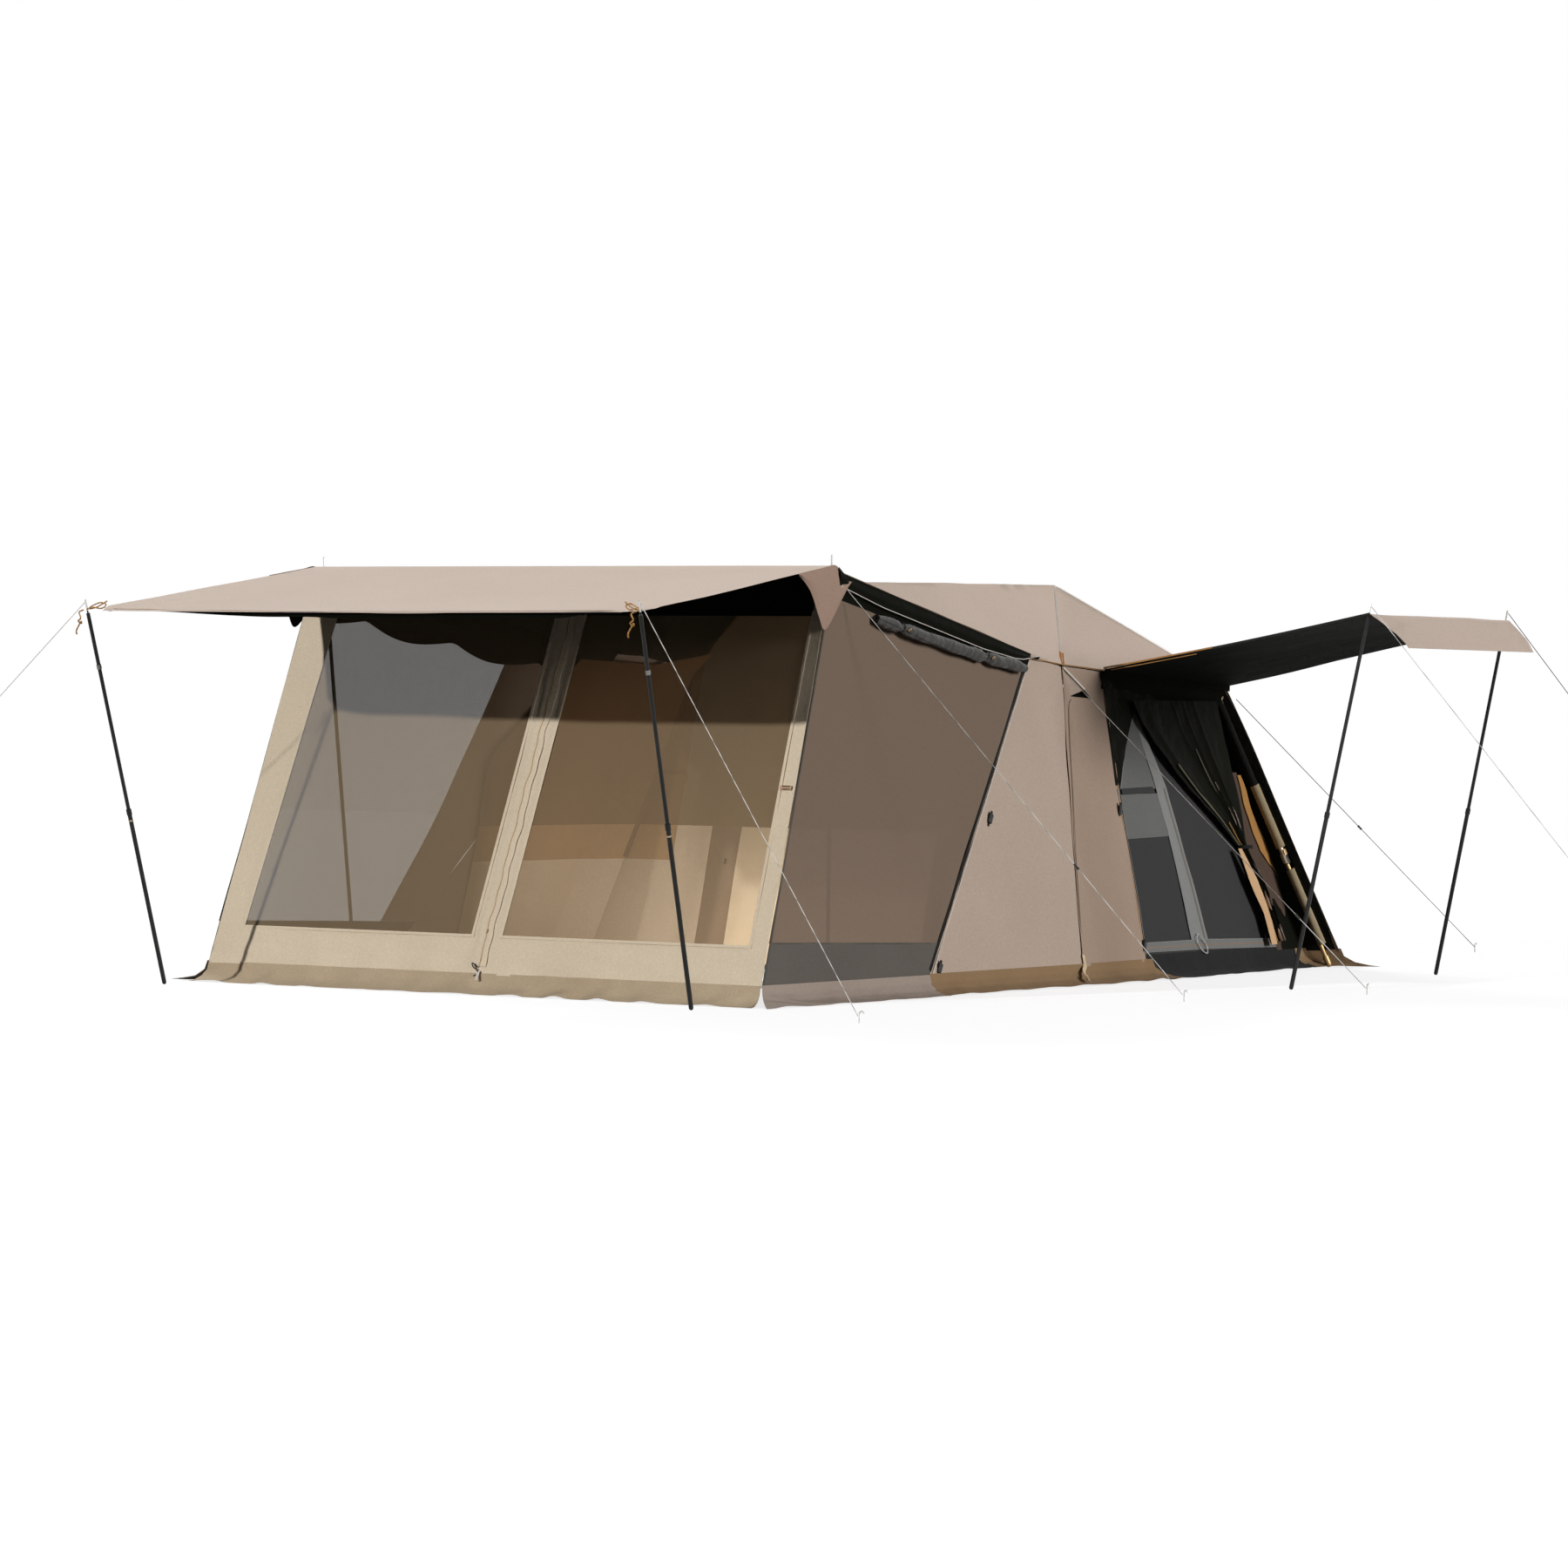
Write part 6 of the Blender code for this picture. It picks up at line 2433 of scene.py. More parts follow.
    def add_head_band(self) -> None:
        """Add a black band at the wall's head, its lower edge hanging in scallops, as painted shade under
        the eave round the rolled cover.
        """
        points = sample(self.head_place, 64, 6)
        cut = make_cloth(f"side_head_band_{self.side.word}", points, self.outward, BLACK_COATING)
        declare()

    def add_trims(self) -> list[bpy.types.Object]:
        """Add the bindings along the wall's upright edges and the tape along its band.

        Returns:
            The tapes.
        """
        wall, word = self.wall, self.side.word
        heights = [0.10 + (2.02 - 0.10) * share for share in shares(30)]
        corner = [wall.spot(self.front_y(z) + 0.012, z, 0.002) for z in heights]
        rear = [wall.at(0.992, 0.02 + 0.94 * share, 0.002) for share in shares(30)]
        seam = [wall.spot(y, self.band_z(y), 0.002) for y in np.linspace(-4.35, -2.85, 31)]
        return [
            make_tape(
                f"side_{name}_{word}", path, facing, width, tape,
                thickness=0.0014, proud=0.0008, slot="wall",
            )
            for name, path, facing, width, tape in (
                ("corner_binding", corner, wall.normal(0.05, 0.5), 0.012, SLATE_TAPE),
                ("rear_binding", rear, wall.normal(1, 0.5), 0.020, BLACK_TAPE),
                ("band_seam", seam, wall.normal(0.5, 0.1), 0.006, SLATE_TAPE),
            )
        ]

    def roll_axis(self) -> tuple[Vector, Vector]:
        """Both ends of the rolled cover's middle line."""
        out = self.outward * self.wall_gap
        return (
            self.wall.at(self.roll_start, self.roll_low) + out,
            self.wall.at(self.roll_end, self.roll_high) + out,
        )

    def roll_size(self, share: float) -> float:
        """The roll's radius at a share of its length, drawn in by its ties."""
        pinch = sum(math.exp(-(((share - tie) / 0.030) ** 2)) for tie in self.ties)
        ends = 1 - 0.35 * (1 - ease(share / 0.06)) - 0.35 * (1 - ease((1 - share) / 0.06))
        swell = 1 + 0.10 * noise.noise(Vector((share * 9.0, self.side.value, 2.0)))
        return self.roll_radius * (1 - 0.42 * clamp(pinch)) * ends * swell

    def add_roll(self) -> None:
        """Roll the wall's outer cover up as one spiral sheet under the eave, with its two ties."""
        start, end = self.roll_axis()
        along = (end - start).normalized()
        length = (end - start).length
        level = self.outward - along * self.outward.dot(along)
        level.normalize()
        above = along.cross(level)
        core = self.roll_core / self.roll_radius

        def place(wound: float, share: float) -> Vector:
            """A point of the roll by how far it is wound out and by its share of the length.

            Args:
                wound: the share of the sheet up to the point, from its inner end.
                share: the share of the roll's length.

            Returns:
                The point.
            """
            centre = start + along * (length * share)
            centre.z -= 0.012 * math.sin(math.pi * share) + 0.004 * noise.noise(Vector((share * 6, 0, 5.0)))
            angle = math.tau * self.roll_turns * wound + 2.4 * share
            around = Vector((math.cos(angle) * 2.2, math.sin(angle) * 2.2, share * 26.0))
            near = max(math.exp(-(((share - tie) / 0.09) ** 2)) for tie in self.ties)
            lumps = noise.noise(around * 0.5) + (0.3 + 1.4 * near) * noise.noise(around * 1.6)
            wrinkle = share * length * 70 + 3 * math.sin(angle) + 4.0 * noise.noise(around)
            lumps += 0.9 * near * math.sin(wrinkle)
            radius = self.roll_size(share) * (core + (1 - core) * wound) * (1 + 0.12 * lumps)
            return centre + (level * math.cos(angle) + above * math.sin(angle)) * radius

        word = self.side.word
        cut = make_cloth(
            f"rolled_cover_cloth_{word}", sample(place, int(self.roll_turns * self.turn_cells), 110),
            self.outward, ROLLED_CLOTH, thickness=0.0012,
        )
        for number, share in enumerate(self.ties):
            centre = start + along * (length * share)
            radius = self.roll_size(share) * 1.18 + 0.001
            angles = [math.tau * turn for turn in shares(20)]
            ring = [centre + (level * math.cos(a) + above * math.sin(a)) * radius for a in angles]
            make_tape(
                f"roll_tie_{word}_{number + 1}", ring, [(point - centre).normalized() for point in ring],
                0.016, BLACK_TAPE, proud=0.0, slot="rolled_cover",
            )
            lug = centre + self.outward * (radius + 0.006) + Vector((0, 0.020, -0.018))
            make_turned(
                f"roll_toggle_{word}_{number + 1}", TOGGLE, lug, Vector((0.1, 1.0, 0.35)), TAN_PLASTIC,
            )
        declare([f"rolled_cover_{word}"])


@dataclass
class SidePanel:
    """The plain panel between the mesh wall and the post, on one side."""

    plan: Plan
    side: Side

    @property
    def wall(self) -> RuledWall:
        """The panel's surface."""
        return SHELL.panel_side(self.side)

    def build(self) -> None:
        """Make the panel, its piping, fittings, lining and skirt."""
        wall, word = self.wall, self.side.word
        outward = Vector((self.side.value, 0, 0.1))
        rows = [[wall.at(along, up) for along in (0.0, 1.0)] for up in (0.0, 1.0)]
        top = wall.at(1.0, 1.0)
        low = wall.at(0.0, 0.0)
        cut = make_cloth(
            f"side_panel_cloth_{word}", refine(rows, [40], [60]), outward, WALL_CLOTH,
            creases=[
                Pull(top, 12, 0.006, 0.5, 0.7), Pull(low, 12, 0.005, 0.45), Slack(0.012, 0.5, 71.0),
                Ripple(Vector((0, 0.8, 0.6)), 0.5, 0.004, 6.0),
            ],
        )
        piping = [wall.at(0.012, 0.01 + 0.96 * share, 0.004) for share in shares(40)]
        door = SHELL.door_side(self.side)
        arch = [door.spot(y, z, 0.003) for y, z in (
            (-0.909, 1.474), (-0.960, 1.419), (-1.031, 1.214), (-1.150, 0.851), (-1.239, 0.581),
            (-1.378, 0.098),
        )]
        trims = [
            make_round(f"panel_piping_{word}", piping, 0.0035, PALE_PIPING),
            make_tape(
                f"panel_arch_seam_{word}", smooth_path(arch, 8), door.normal(0.05, 0.5), 0.006, SEAM_TAPE,
                thickness=0.0014, proud=0.004, slot="wall",
            ),
            *self.add_fittings(), *self.add_vent_hood(),
        ]
        self.add_lining()
        nodes = ["side_panel_right"] if self.side is Side.RIGHT else []
        declare(nodes)
        foot = [wall.at(share, 0.0, 0.002) for share in shares(6)]
        foot += [door.spot(y, self.plan.wall_foot_z, 0.004) for y in (-1.15, -0.95, -0.78, -0.66)]
        foot.append(door.spot(-0.60, self.plan.wall_foot_z, 0.026))
        add_skirt(
            f"panel_skirt_{word}", foot, Vector((self.side.value, 0, 0)), PANEL_SKIRT, cut.piece.name,
            (0.35, 1.2), seed=23.0 + self.side.value, lift=0.006,
        )

    def add_fittings(self) -> list[bpy.types.Object]:
        """Add the clips along the panel's front edge and the strap at the post's foot.

        Returns:
            The clips and the strap.
        """
        wall, word = self.wall, self.side.word
        sign = self.side.value
        trims = []
        for number, (y, z) in enumerate(((-2.054, 0.860), (-2.806, 0.129))):
            spot = wall.spot(y, z, 0.004)
            trims += make_clip(f"panel_clip_{word}_{number + 1}", spot, wall.normal(0, 0.5), 0.5)
        door = SHELL.door_side(self.side)
        strap = [door.spot(-1.372, z, 0.012) for z in (0.150, 0.12, 0.095)]
        strap += [Vector((sign * x, y, z)) for x, y, z in (
            (1.690, -1.42, 0.078), (1.715, -1.455, 0.058), (1.750, -1.49, 0.042), (1.785, -1.53, 0.030),
        )]
        facing = Vector((sign, 0, 0.6))
        trims.append(make_tape(
            f"post_strap_{word}", smooth_path(strap, 5), facing, 0.024, CREAM_TAPE, slot="wall",
        ))
        lock = Vector((sign * 1.755, -1.495, 0.044))
        trims.append(make_ring(f"post_ladder_lock_{word}", lock, facing, 0.028, 0.020, CREAM_PLASTIC))
        return trims

    def add_vent_hood(self) -> list[bpy.types.Object]:
        """Add the small hood over the vent below the roof's corner.

        Returns:
            The strap along the hood's ridge.
        """
        door, word, sign = SHELL.door_side(self.side), self.side.word, self.side.value
        top = door.spot(-0.925, 1.640, 0.004)
        ridge = [top, top.lerp(door.spot(-0.829, 1.513, 0.055), 0.5), door.spot(-0.829, 1.513, 0.055)]
        faces = {
            "near": ([top, door.spot(-0.918, 1.565, 0.003), door.spot(-0.905, 1.492, 0.003)], WALL_CLOTH),
            # The hood's far face is drawn in the dark slate cloth as painted shade on its side away from the
            # light.
            "far": ([top, door.spot(-0.775, 1.560, 0.003), door.spot(-0.650, 1.470, 0.003)], BAND_CLOTH),
        }
        for name, (edge, finish) in faces.items():
            rows = [[a, b] for a, b in zip(edge, ridge)]
            rows[0][1] = rows[0][1] + Vector((0, 0.004, -0.004))
            hood = make_cloth(
                f"vent_hood_{name}_{word}", refine(rows, [8], [6, 6]), (sign, 0, 0.3), finish,
                BLACK_COATING, creases=[Slack(0.003, 0.06, 5.0)],
            )
            declare()
        vent = [[door.spot(-0.905, 1.490, 0.006), door.spot(-0.70, 1.482, 0.006)],
                [door.spot(-0.850, 1.555, 0.010), door.spot(-0.800, 1.550, 0.010)]]
        hole = make_cloth(f"vent_mesh_{word}", refine(vent, [8], [6]), (sign, 0, 0.3), BLACK_COATING)
        declare()
        strap = [point + Vector((sign * 0.003, -0.002, 0.002)) for point in smooth_path(ridge, 5)]
        return [make_tape(
            f"vent_hood_strap_{word}", strap, Vector((sign, 0, 0.3)), 0.014, PALE_PIPING, slot="wall",
        )]

    def add_lining(self) -> None:
        """Add the inner lining from the panel round the leg to the divider, in the divider's three tones,
        which are partly painted sunlight and shade.
        """
        wall, sign = self.wall, self.side.value
        divider = Divider()
        for name, low, high, finish in divider.zones():
            rows = []
            for share in shares(8):
                z = low + (min(high, 1.58) - low) * share
                half, y = divider.half(z)
                edge = Vector((sign * (half - 0.03), y - 0.012, z))
                rows.append([wall.spot(-2.35, z, -0.014), wall.spot(y - 0.16, z, -0.014), edge])
            if name == "upper":
                half, y = divider.half(1.70)
                gap = Vector((sign * (half - 0.06), y - 0.020, 1.70))
                rows.append([wall.spot(-2.30, 1.66, -0.014), wall.spot(-1.05, 1.64, -0.016), gap])
            cut = make_cloth(
                f"lining_{name}_{self.side.word}", refine(rows, [24, 8], [1] * (len(rows) - 1)),
                (-sign, 0, 0), finish, thickness=THIN_CLOTH, creases=[Slack(0.006, 0.4, 66.0)],
            )
            declare()


@dataclass
class DoorWall:
    """The sleeping room's side wall: door or plain cloth, corner strip, head band, rear return, skirts."""

    plan: Plan
    side: Side
    edge: tuple[tuple[float, float], ...] = (
        (-0.635, 0.092), (-0.595, 0.385), (-0.575, 0.844), (-0.513, 1.26), (-0.495, 1.626),
    )

    @property
    def wall(self) -> RuledWall:
        """The wall's surface between the post and the door's rear edge."""
        return SHELL.door_side(self.side)

    def build(self) -> None:
        """Make the wall for its side."""
        wall, word = self.wall, self.side.word
        outward = Vector((self.side.value, 0, 0.1))
        is_door = self.side is Side.RIGHT
        rear_y = [wall.at(1.0, wall.share_up(1.0, z)).y for _, z in self.edge]
        control = [[(y - 0.02, z), (back, z)] for (y, z), back in zip(self.edge, rear_y)]
        control[-1] = [(self.edge[-1][0] - 0.02, 1.60), (0.83, 1.500)]
        cut = make_cloth(
            f"door_wall_cloth_{word}", patch(wall, control, [56], [8, 12, 12, 10]), outward,
            DOOR_NET if is_door else WALL_CLOTH, thickness=THIN_CLOTH,
            creases=[Slack(0.008, 0.5, 81.0), Ripple(Vector((0, 1, 0)), 0.55, 0.003, 4.0)],
        )
        trims = self.add_strip()
        if is_door:
            trims += self.add_door()
            declare(["door_wall_right"])
        else:
            declare(["left_wall"])
        self.add_head_band()
        self.add_return(cut.piece.name)

    def add_head_band(self) -> None:
        """Add the black cloth that closes the wall's head up to the eave."""
        p, wall = self.plan, self.wall
        inset = p.eave_x - 0.003
        rows = [
            [wall.at(0.0, 0.955, 0.007), wall.at(0.5, 0.955, 0.007), wall.at(1.0, 0.955, 0.007)],
            [on_side(self.side, inset, -p.eave_y + 0.01, p.front_eave_z - 0.003),
             on_side(self.side, inset, 0.0, (p.front_eave_z + p.rear_eave_z) / 2 - 0.003),
             on_side(self.side, inset, p.eave_y - 0.01, p.rear_eave_z - 0.003)],
        ]
        start = (self.edge[-1][0] + p.eave_y + 0.01) / (2 * p.eave_y)
        rows = [[row[0].lerp(row[2], start), row[0].lerp(row[2], 0.6), row[2]] for row in rows]
        cut = make_cloth(
            f"door_head_band_{self.side.word}", refine(rows, [20, 14], [6]), (self.side.value, 0, 0.1),
            BLACK_COATING, creases=[Slack(0.004, 0.2, 7.0)],
        )
        declare()

    def add_return(self, carrier: str) -> None:
        """Add the stretch behind the rear leg, up to the rear wall's corner, and the door's skirts; on the
        door's side the stretch is black cloth as painted shade under the side awning.

        Args:
            carrier: the wall that they are sewn to.
        """
        p, wall, word, sign = self.plan, self.wall, self.side.word, self.side.value
        is_door = self.side is Side.RIGHT
        back = SHELL.return_side(self.side)
        rear_x, rear_y = p.rear_wall_base
        foot = on_side(self.side, rear_x - 0.006, rear_y - 0.004, p.wall_foot_z)
        head = on_side(self.side, p.eave_x - 0.006, p.eave_y - 0.006, 1.54)
        rows = [[back.at(0.0, 0.0), back.at(1.0, 0.0), foot], [back.at(0.0, 1.0), back.at(1.0, 1.0), head]]
        # Black cloth on the door's side is painted shade under the side awning; the other side keeps the
        # wall cloth.
        cover = make_cloth(
            f"rear_return_cloth_{word}", refine(rows, [8, 10], [48]), (sign, 0, 0.1),
            CURTAIN_CLOTH if is_door else WALL_CLOTH,
            creases=[Slack(0.006, 0.3, 91.0), Ripple(Vector((0, 1, 0.3)), 0.16, 0.004, 2.0)],
        )
        declare()
        sill = [wall.spot(y, p.wall_foot_z, 0.002) for y in (-0.66, -0.3, 0.1, 0.5, 0.9 if is_door else 1.1)]
        if is_door:
            sill += [back.at(0.0, 0.0, 0.002), back.at(0.7, 0.0, 0.002)]
        add_skirt(
            f"door_skirt_{word}", sill, Vector((sign, 0, 0)), SILL_CLOTH if is_door else PANEL_SKIRT,
            carrier, (-1.0, 0.0), seed=33.0 + sign,
        )
        corner = back.at(1.0, 0.0, 0.002)
        end = [sill[-1] - Vector((0, 0.04, 0)), sill[-1].lerp(corner, 0.5), corner]
        end.append(on_side(self.side, rear_x, rear_y, p.wall_foot_z))
        add_skirt(
            f"rear_leg_skirt_{word}", end, Vector((sign, 0.1, 0)).normalized(), PANEL_SKIRT, carrier,
            (0.0, 1.0), seed=37.0 + sign, lift=0.003,
        )

    def post_y(self, z: float) -> float:
        """The y of the post's line at a height."""
        return self.wall.at(0.0, self.wall.share_up(0.0, z)).y

    def add_strip(self) -> list[bpy.types.Object]:
        """Add the solid corner strip beside the post, with its fittings.

        Returns:
            The strip's zip, piping, clips, cord and toggle.
        """
        wall, word = self.wall, self.side.word
        control = [[(self.post_y(z) - 0.004, z), (y, z)] for y, z in self.edge]
        control[-1][0] = (self.post_y(1.648) - 0.004, 1.648)
        # The strip's taffeta is drawn darker than the panel's, as painted shade.
        cut = make_cloth(
            f"corner_strip_cloth_{word}", patch(wall, control, [22], [8, 12, 12, 10], 0.004),
            (self.side.value, 0, 0.1), STRIP_SHADED_CLOTH,
            creases=[Slack(0.007, 0.4, 95.0), Ripple(Vector((0, 0.7, 0.7)), 0.4, 0.003, 2.0)],
        )
        declare()
        edge = line_on(wall, self.edge, 0.006)
        facing = wall.normal(0.3, 0.5)
        beside = [point + Vector((0, 0.006, 0)) for point in edge]
        trims = [
            make_tape(
                f"corner_strip_zip_{word}", beside, facing, 0.014, BLACK_TAPE, proud=0.001, slot="wall",
            ),
            make_round(f"corner_strip_piping_{word}", edge, 0.0032, PEACH_TAPE),
        ]
        for number, (y, z) in enumerate(((-0.628, 0.886), (-0.660, 0.167))):
            spot = wall.spot(y + 0.03, z, 0.010)
            trims += make_clip(f"strip_clip_{word}_{number + 1}", spot, facing, 0.1)
        foot = wall.spot(-0.63, 0.085, 0.012)
        cord = [foot + Vector((self.side.value * x, y, z)) for x, y, z in (
            (0, 0, 0), (0.012, 0.04, -0.03), (0.020, 0.07, -0.066), (0.024, 0.12, -0.060),
            (0.018, 0.10, -0.030), (0.010, 0.05, -0.014),
        )]
        trims.append(make_round(
            f"strip_toggle_cord_{word}", smooth_path(cord, 5), 0.0028, BLACK_CORD,
        ))
        trims.append(make_turned(
            f"strip_toggle_{word}", TOGGLE, cord[2], Vector((0.2, 1, 0.2)), BLACK_PLASTIC,
        ))
        return trims

    def add_door(self) -> list[bpy.types.Object]:
        """Add the door's grey band, zips and bars, its panes and dark cloths, its sill and its pull cord.

        Returns:
            The tapes and the cord.
        """
        wall = self.wall
        facing = wall.normal(0.5, 0.5)
        control = [
            [(-0.012, 0.185), (0.193, 0.185)], [(-0.025, 0.502), (0.147, 0.502)],
            [(-0.049, 0.780), (0.088, 0.780)], [(-0.087, 1.001), (0.043, 1.001)],
            [(-0.145, 1.210), (-0.055, 1.210)], [(-0.176, 1.420), (-0.158, 1.420)],
        ]
        band = make_cloth(
            "door_grey_band", patch(wall, control, [8], [8] * 5, 0.006), (1, 0, 0.1), DOOR_BAND_CLOTH,
            creases=[Slack(0.004, 0.2, 97.0)],
        )
        declare()
        trims = []
        for number, (name, places, width, tape) in enumerate((
            ("arc_zip", [(-0.180, 1.420), (-0.313, 1.284), (-0.403, 1.171), (-0.520, 1.000)], 0.007,
             GREY_TAPE),
            ("left_edge_zip", [(-0.560, 1.00), (-0.560, 0.844), (-0.580, 0.385), (-0.615, 0.12)], 0.012,
             GREY_TAPE),
            ("upper_bar", [(-0.520, 0.986), (-0.125, 0.994)], 0.034, DOOR_NET),
            ("bottom_zip", [(-0.610, 0.162), (0.170, 0.157), (1.07, 0.140)], 0.050, BAR_CLOTH),
            ("bottom_chain", [(-0.606, 0.162), (0.170, 0.157), (1.07, 0.140)], 0.008, SEAM_TAPE),
            ("bottom_seam", [(-0.606, 0.188), (0.170, 0.184), (1.07, 0.162)], 0.005, GREY_TAPE),
            ("band_chain", [(0.150, 0.190), (0.110, 0.502), (0.050, 0.780), (0.005, 1.001)], 0.005,
             SEAM_TAPE),
        )):
            trims.append(make_tape(
                f"door_{name}", line_on(wall, places, 0.003), facing, width, tape,
                thickness=0.0015, proud=0.0015 + 0.0012 * number, slot="door_mesh",
            ))
        flap = [
            [(-0.575, 1.02), (-0.540, 1.02)], [(-0.555, 1.171), (-0.405, 1.171)],
            [(-0.535, 1.284), (-0.315, 1.284)], [(-0.515, 1.425), (-0.165, 1.425)],
        ]
        head = [
            [(-0.515, 1.418), (0.84, 1.418)], [(-0.505, 1.500), (0.84, 1.450)],
            [(-0.505, 1.620), (0.83, 1.530)],
        ]
        low_pane = [
            [(-0.565, 0.735), (-0.04, 0.745)], [(-0.555, 0.86), (-0.06, 0.86)],
            [(-0.54, 0.972), (-0.08, 0.975)],
        ]
        high_pane = [
            [(-0.53, 1.0), (-0.09, 1.0)], [(-0.40, 1.171), (-0.14, 1.171)],
            [(-0.31, 1.284), (-0.155, 1.284)], [(-0.185, 1.415), (-0.170, 1.415)],
        ]
        for name, rows, finish, proud in (
            ("rolled_flap", flap, CURTAIN_CLOTH, 0.010), ("dark_head", head, CURTAIN_CLOTH, 0.012),
            ("low_pane", low_pane, PANE_CLOTH, 0.0045), ("high_pane", high_pane, PANE_CLOTH, 0.0045),
        ):
            cut = make_cloth(
                f"door_{name}", patch(wall, rows, [30], [6] * (len(rows) - 1), proud), (1, 0, 0.1), finish,
                thickness=THIN_CLOTH, creases=[] if finish is PANE_CLOTH else [Slack(0.006, 0.1, 17.0)],
            )
            declare()
        trims.append(make_tape(
            "door_sill", line_on(wall, [(-0.631, 0.108), (1.09, 0.104)], 0.004), facing, 0.040, SILL_CLOTH,
            thickness=0.002, proud=0.002, slot="door_mesh",
        ))
        pull = [wall.spot(y, z, 0.020) for y, z in (
            (0.09, 0.180), (0.05, 0.215), (0.02, 0.18), (0.06, 0.13), (0.12, 0.110), (0.13, 0.15),
            (0.10, 0.18),
        )]
        trims.append(make_round("door_pull_cord", smooth_path(pull, 5), 0.0030, GUY_CORD))
        return trims


@dataclass
class Curtain:
    """The side door's outer cover, unzipped and tied back at its rear edge."""

    tie_z: float = 0.665
    foot_z: float = 0.14
    free_edge: tuple[tuple[float, float], ...] = (
        (0.985, 0.14), (0.895, 0.42), (0.775, 0.672), (0.735, 0.695), (0.534, 0.825), (0.277, 0.976),
        (0.094, 1.103), (-0.194, 1.341), (-0.256, 1.466),
    )
    held_edge: tuple[tuple[float, float], ...] = (
        (1.09, 0.14), (0.98, 0.42), (0.885, 0.672), (0.87, 0.82), (0.84, 1.10), (0.80, 1.475),
    )
    gap: float = 0.050
    folds: int = 5
    fold_depth: float = 0.022
    rows: int = 96
    columns: int = 150

    def edge_at(self, edge: tuple[tuple[float, float], ...], z: float) -> float:
        """The y of one of the curtain's edges at a height."""
        return float(np.interp(z, [height for _, height in edge], [y for y, _ in edge]))

    def place(self, across: float, up: float) -> Vector:
        """A point of the curtain: across from its free edge, up from its foot.

        Args:
            across: the share of the way to the held edge.
            up: the share of the way up.

        Returns:
            The point.
        """
        wall = SHELL.door_side(Side.RIGHT)
        top_z = self.free_edge[-1][1]
        z = self.foot_z + (top_z - self.foot_z) * up
        start, end = self.edge_at(self.free_edge, z), self.edge_at(self.held_edge, z)
        uneven = 0.05 * noise.noise(Vector((across * 5, up * 2, 1)))
        crowd = across + 0.07 * math.sin(math.tau * across * 1.5 + 1.0) + uneven
        y = start + (end - start) * across
        phase = math.tau * self.folds * crowd
        squeeze = math.exp(-(((z - self.tie_z) / 0.10) ** 2))
        strength = 0.55 + 0.9 * noise.noise(Vector((across * 9, up * 1.5, 4.0)))
        depth = self.fold_depth * (1 - 0.5 * squeeze) * max(0.12, strength)
        depth *= 0.25 + 0.75 * ease((top_z - z) / 0.5)
        swing = 1 - abs(math.sin(phase / 2)) ** 0.7 * 1.6 + 0.2 * math.sin(2 * phase + 1.0)
        return wall.spot(y, z, self.gap + depth * swing - 0.018 * squeeze)

    def build(self) -> None:
        """Make the curtain, painted highlights along its folds, its lining and its tie."""
        cut = make_cloth(
            "door_curtain_cloth", sample(self.place, self.columns, self.rows), (1, 0, 0.1), CURTAIN_CLOTH,
            WALL_CLOTH, creases=[Slack(0.006, 0.12, 15.0)],
        )
        wall = SHELL.door_side(Side.RIGHT)
        facing = wall.normal(0.7, 0.4)
        tie = (self.tie_z - self.foot_z) / (self.free_edge[-1][1] - self.foot_z)
        # The fold tapes are painted highlights along the curtain's folds; the edge tapes are its binding and
        # hem.
        for name, low, high, shift, width, tape in (
            ("edge_binding", 0.0, tie, 0.05, 0.014, TAN_TAPE),
            ("edge_hem", tie, 1.0, 0.006, 0.010, SLEEVE_CLOTH),
            ("fold_light", tie, 0.74, 0.10, 0.016, FOLD_HIGHLIGHT_TAPE),
            ("fold_bright", tie, 0.50, 0.34, 0.009, TAN_TAPE),
            ("fold_grey", tie, 0.80, 0.52, 0.012, FOLD_HIGHLIGHT_TAPE),
        ):
            path = [self.place(shift, low + (high - low) * share) + facing * 0.004 for share in shares(50)]
            make_tape(f"curtain_{name}", path, facing, width, tape, slot="wall")
        self.add_lining(wall)
        self.add_tie(wall)
        declare(["door_curtain"])

    def add_tie(self, wall: RuledWall) -> bpy.types.Object:
        """Add the band that holds the gathered curtain.

        Args:
            wall: the door's wall.

        Returns:
            The band.
        """
        start, end = self.edge_at(self.free_edge, self.tie_z), self.edge_at(self.held_edge, self.tie_z)
        loop = []
        for turn in shares(24):
            angle = math.tau * turn
            y = (start + end) / 2 + math.cos(angle) * ((end - start) / 2 + 0.010)
            out = self.gap - 0.010 + 0.034 * math.sin(angle)
            loop.append(wall.spot(y, self.tie_z - 0.006 * math.sin(angle), out))
        middle = sum(loop[:-1], Vector()) / 24
        facings = [(point - middle).normalized() for point in loop]
        return make_tape(
            "curtain_tie", loop, facings, 0.020, BLACK_TAPE, thickness=0.0018, proud=0.0, slot="wall",
        )

